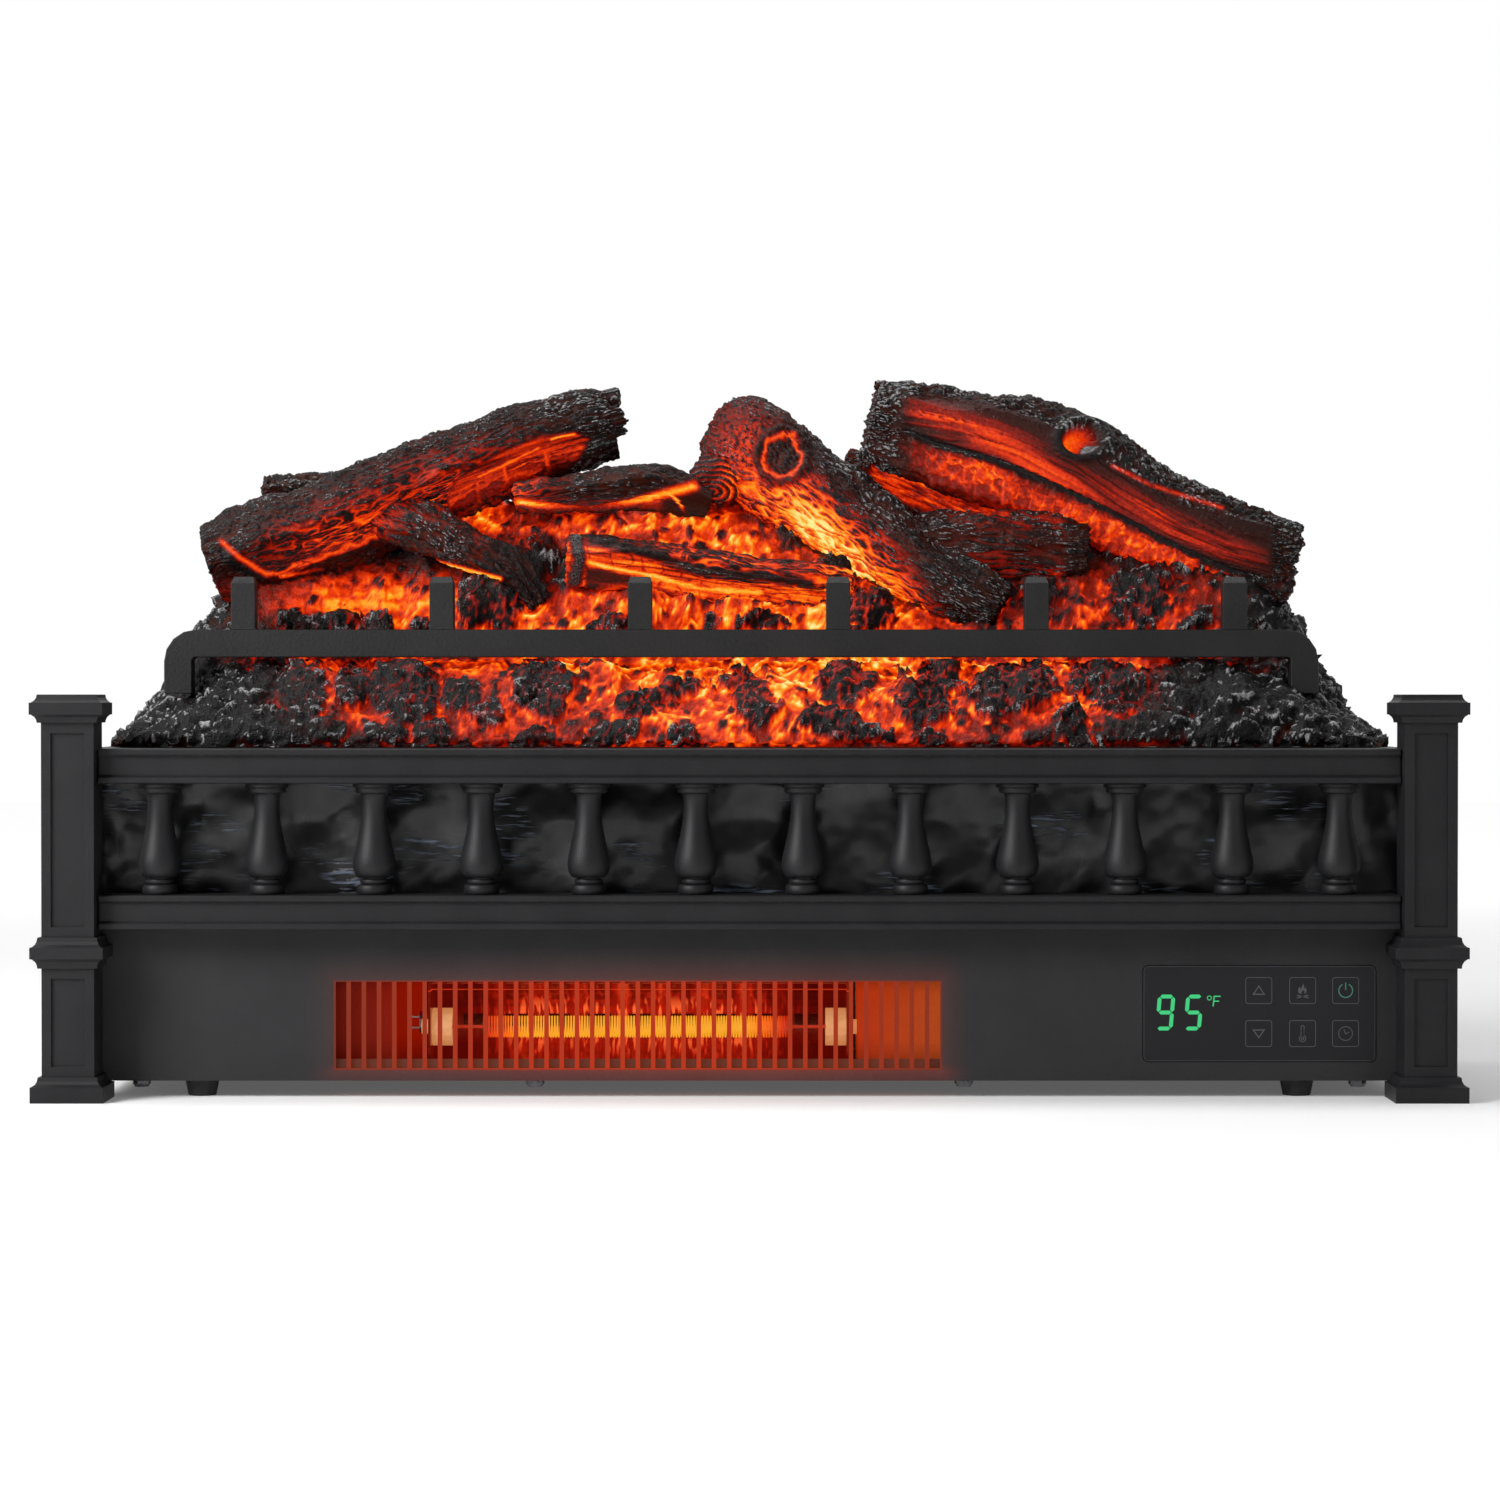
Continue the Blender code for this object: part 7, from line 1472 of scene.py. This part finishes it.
# The moulded solid is read from above, line by line, and its rim is led down to the deck.
bed_low, bed_high = [np.array(tuple(corner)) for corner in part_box("ember_bed")]
across = spaced(bed_low[0], bed_high[0], 0.0002, BED_STEP)
along = spaced(bed_low[1], bed_high[1], 0.0002, BED_STEP)
bed_starts = stack(across[None, :], along[:, None], bed_high[2] + RAY_START)
floor_height = feel("ember_bed", bed_starts, (0, 0, -1), 2, bed_low[2])
hump_x = (across[None, :] / HUMP_PIXEL + PHOTO_CENTRE - HUMP_ACROSS[0]) / HUMP_ACROSS[1]
hump_y = (along[:, None] - HUMP_DEEP[0]) / HUMP_DEEP[1]
bed_top = soften(floor_height, 2) + HUMP_HEIGHT * np.exp(-(hump_x ** 2 + hump_y ** 2))
slope_x = np.gradient(soften(floor_height, 8), across, axis=1)
slope_y = np.gradient(soften(floor_height, 8), along, axis=0)
bed_out = stack(-slope_x, -slope_y, 1.0)
bed_out = bed_out / np.linalg.norm(bed_out, axis=-1)[..., None]
around_bed = ((BED_WALL, BED_WALL), (BED_WALL, BED_WALL), (0, 0))
bed_at = np.pad(stack(across[None, :], along[:, None], bed_top), around_bed, mode="edge")
bed_out = np.pad(bed_out, around_bed, mode="edge")
bed_rows, bed_columns = bed_at.shape[:2]
past_x, past_y = past_edge(bed_columns)[None, :], past_edge(bed_rows)[:, None]
down = np.maximum(np.abs(past_x), np.abs(past_y)) / BED_WALL
bed_at[..., 2] += (bed_low[2] - bed_at[..., 2]) * down
bed_out = np.where(down[..., None] > 0, stack(np.sign(past_x), np.sign(past_y), 0.0), bed_out)
bed_out = bed_out / np.linalg.norm(bed_out, axis=-1)[..., None]
bed_x, bed_y = seen(bed_at)
toward = ease(-bed_out[..., 1], -0.25, 0.10)

# Broken charcoal: shards and chips with flat faces, in the big lumps and loose between them.
shard_at = bed_at / SHARD + 0.2 * layers(bed_at / 0.010, 200, 2)[..., None]
shard_own, shard_place = cells(shard_at, 214)[2:]
chip_first, chip_second, chip_own, chip_place = cells(bed_at / CHIP, 215)
shard = split_faces(shard_at, shard_place, shard_own)
chip = split_faces(bed_at / CHIP, chip_place, chip_own)
chip_aside = 4.0 * (chip_own - 0.5)
chip_up = 4.0 * ((chip_own * 3.3) % 1 - 0.5)
warp_x = bed_x + 4.0 * layers(bed_at / 0.011, 201, 3) + 8.0 * (shard_own - 0.5) + chip_aside
warp_y = bed_y + 4.0 * layers(bed_at / 0.011, 205, 3) + 9.0 * ((shard_own * 5.7) % 1 - 0.5) + chip_up
lump = np.zeros(bed_x.shape)
lump_tilt = np.zeros(bed_x.shape)
for number, (at_x, at_y, half_x, half_y, tilt) in enumerate(LUMPS):
    turn = math.radians(tilt)
    dx, dy = warp_x - at_x, warp_y - at_y
    u = (dx * math.cos(turn) + dy * math.sin(turn)) / half_x
    v = (-dx * math.sin(turn) + dy * math.cos(turn)) / half_y
    round_gap = (np.abs(u) ** 2.6 + np.abs(v) ** 2.6) ** (1 / 2.6)
    mine = np.clip(LUMP_REACH - round_gap, 0, 1) * toward
    own_tilt = 0.30 * math.sin(number * 2.4) * u + 0.35 * math.cos(number * 1.7) * v
    lump_tilt = np.where(mine > lump, own_tilt, lump_tilt)
    lump = np.maximum(lump, mine)
loose_at = bed_at / 0.017 + 0.35 * layers(bed_at / 0.012, 211, 2)[..., None]
loose_first, loose_second, loose_own = cells(loose_at, 212)[:3]
small_first, small_second, small_own = cells(bed_at / 0.0062, 213)[:3]
warmth = spread(bed_x, bed_y, BED_HEAT) * (0.15 + 0.85 * toward)
clear = sum(ease(inside(bed_x, bed_y, zone), -4, 4) for zone in BED_CLEAR)
clear = np.clip(clear, 0, 1) * toward
cool = ease(0.62 - warmth + 0.55 * loose_own, 0.35, 0.70)
loose = ease(loose_second - loose_first, 0.05, 0.20) * cool * (1 - clear)
rock = np.maximum(ease(lump, 0.02, 0.16), loose * (0.25 + 0.75 * ease(0.55 - warmth, 0.0, 0.25)))
gravel = ease(small_second - small_first, 0.06, 0.30) * (small_own > 0.42 + 0.5 * warmth)
gravel = gravel * (1 - ease(lump, 0.0, 0.1))

# Height: stepped flakes on the charcoal, soft folds in the molten embers, and nothing above the grate's bar.
flakes = layers(bed_at / (0.009, 0.004, 0.0035), 221, 3) * 4.0
shelves = (np.floor(flakes) + ease(flakes - np.floor(flakes), 0.55, 1.0)) / 4.0
melt = np.clip(1 - np.abs(lattice(bed_at / (0.009, 0.007, 0.008), 231)) * 2.2, 0, 1)
melt = melt * 0.6 + 0.4 * np.clip(1 - np.abs(lattice(bed_at / 0.0038, 232)) * 2.2, 0, 1)
rock_rise = 0.0040 + 0.0016 * ease(lump, 0.1, 0.7) * (1 + 2.0 * lump_tilt)
rock_rise = rock_rise + 0.0022 * shelves + 0.0072 * shard + 0.0034 * chip
rise = rock * rock_rise + (1 - rock) * (0.0022 * melt - 0.0014)
rise = rise + gravel * (1 - rock) * (0.0014 + 0.0012 * chip)
patchy = ease(lattice(bed_at / 0.016, 251), -0.6, 0.3)
crest = ease(rise - soften(rise, 3), 0.00030, 0.00095) * (0.45 + 0.55 * patchy)
bed_shape = bed_at + bed_out * (rise - 0.0022 - 0.0026 * (down > 0))[..., None]
bed_shape = np.clip(bed_shape, bed_low + 0.0001, bed_high - 0.0001)
under_bar = np.minimum(bed_shape[..., 2], GRATE_BAR_LOW - 0.0008)
bed_shape[..., 2] = np.where(bed_shape[..., 1] < GRATE_REAR + 0.0012, under_bar, bed_shape[..., 2])
bed_x, bed_y = seen(bed_shape)

# Glow and finish: bright folds, charred blocks below the left log, dark charcoal with warm clefts and rims.
pits = ease(layers(bed_at / 0.013, 241, 2), -0.5, 0.4)
blaze = warmth * (0.50 + 1.02 * melt ** 2) * (0.66 + 0.42 * pits)
course = (bed_y + 5.0 * lattice(bed_at / 0.014, 261)) / BLOCK_HEIGHT
block_at = (bed_x + 4.0 * lattice(bed_at / 0.012, 262)) / BLOCK_WIDTH + (np.floor(course) * 0.37) % 1
part_x, part_y = block_at - np.floor(block_at), course - np.floor(course)
joint_x = np.minimum(part_x, 1 - part_x) * BLOCK_WIDTH
joint_y = np.minimum(part_y, 1 - part_y) * BLOCK_HEIGHT
joint = ease(np.minimum(joint_x, joint_y), 0.4, 2.4)
block_own = scatter(stack(np.floor(block_at), np.floor(course), 0), 263)
block_heat = warmth * (0.60 + 0.34 * block_own + 0.24 * melt) * (0.62 + 0.38 * joint)
blaze = over(blaze, ease(inside(bed_x, bed_y, CHARRED_BLOCKS), -3, 5) * toward, block_heat)
cleft = (1 - ease(chip_second - chip_first, 0.0, 0.15)) * warmth * 0.46 * ease(warmth, 0.12, 0.50)
rim_light = ease(lump, 0.0, 0.05) * (1 - ease(lump, 0.05, 0.14)) * warmth * 0.18
bed_heat = blaze * (1 - rock) * (1 - 0.80 * gravel) + rock * cleft + rim_light
bed_ridge = 0.15 + 0.85 * np.maximum(rock, gravel * 0.8)
# Grey on the charcoal's crests: dry brush, with painted highlights, more on faces towards the front.
bed_ash_and_highlight = np.maximum(rock, gravel * 0.7) * crest * (1 - 0.55 * warmth) * (0.45 + 0.55 * toward)

charcoal_bed = add_mesh(
    "charcoal_bed", bed_shape.reshape(-1, 3), grid_faces(bed_rows, bed_columns).tolist(),
    glow=np.clip(bed_heat, 0, 1), ridge=np.clip(bed_ridge, 0, 1), ash=bed_ash_and_highlight)
bed_resin = resin(
    "ember_resin", (0.0085, 0.0078, 0.0080), (0.050, 0.008, 0.003), (0.30, 0.30, 0.31), 420.0, 0.0020)
stand_in(charcoal_bed, bed_resin, "ember_resin", "ember_bed")
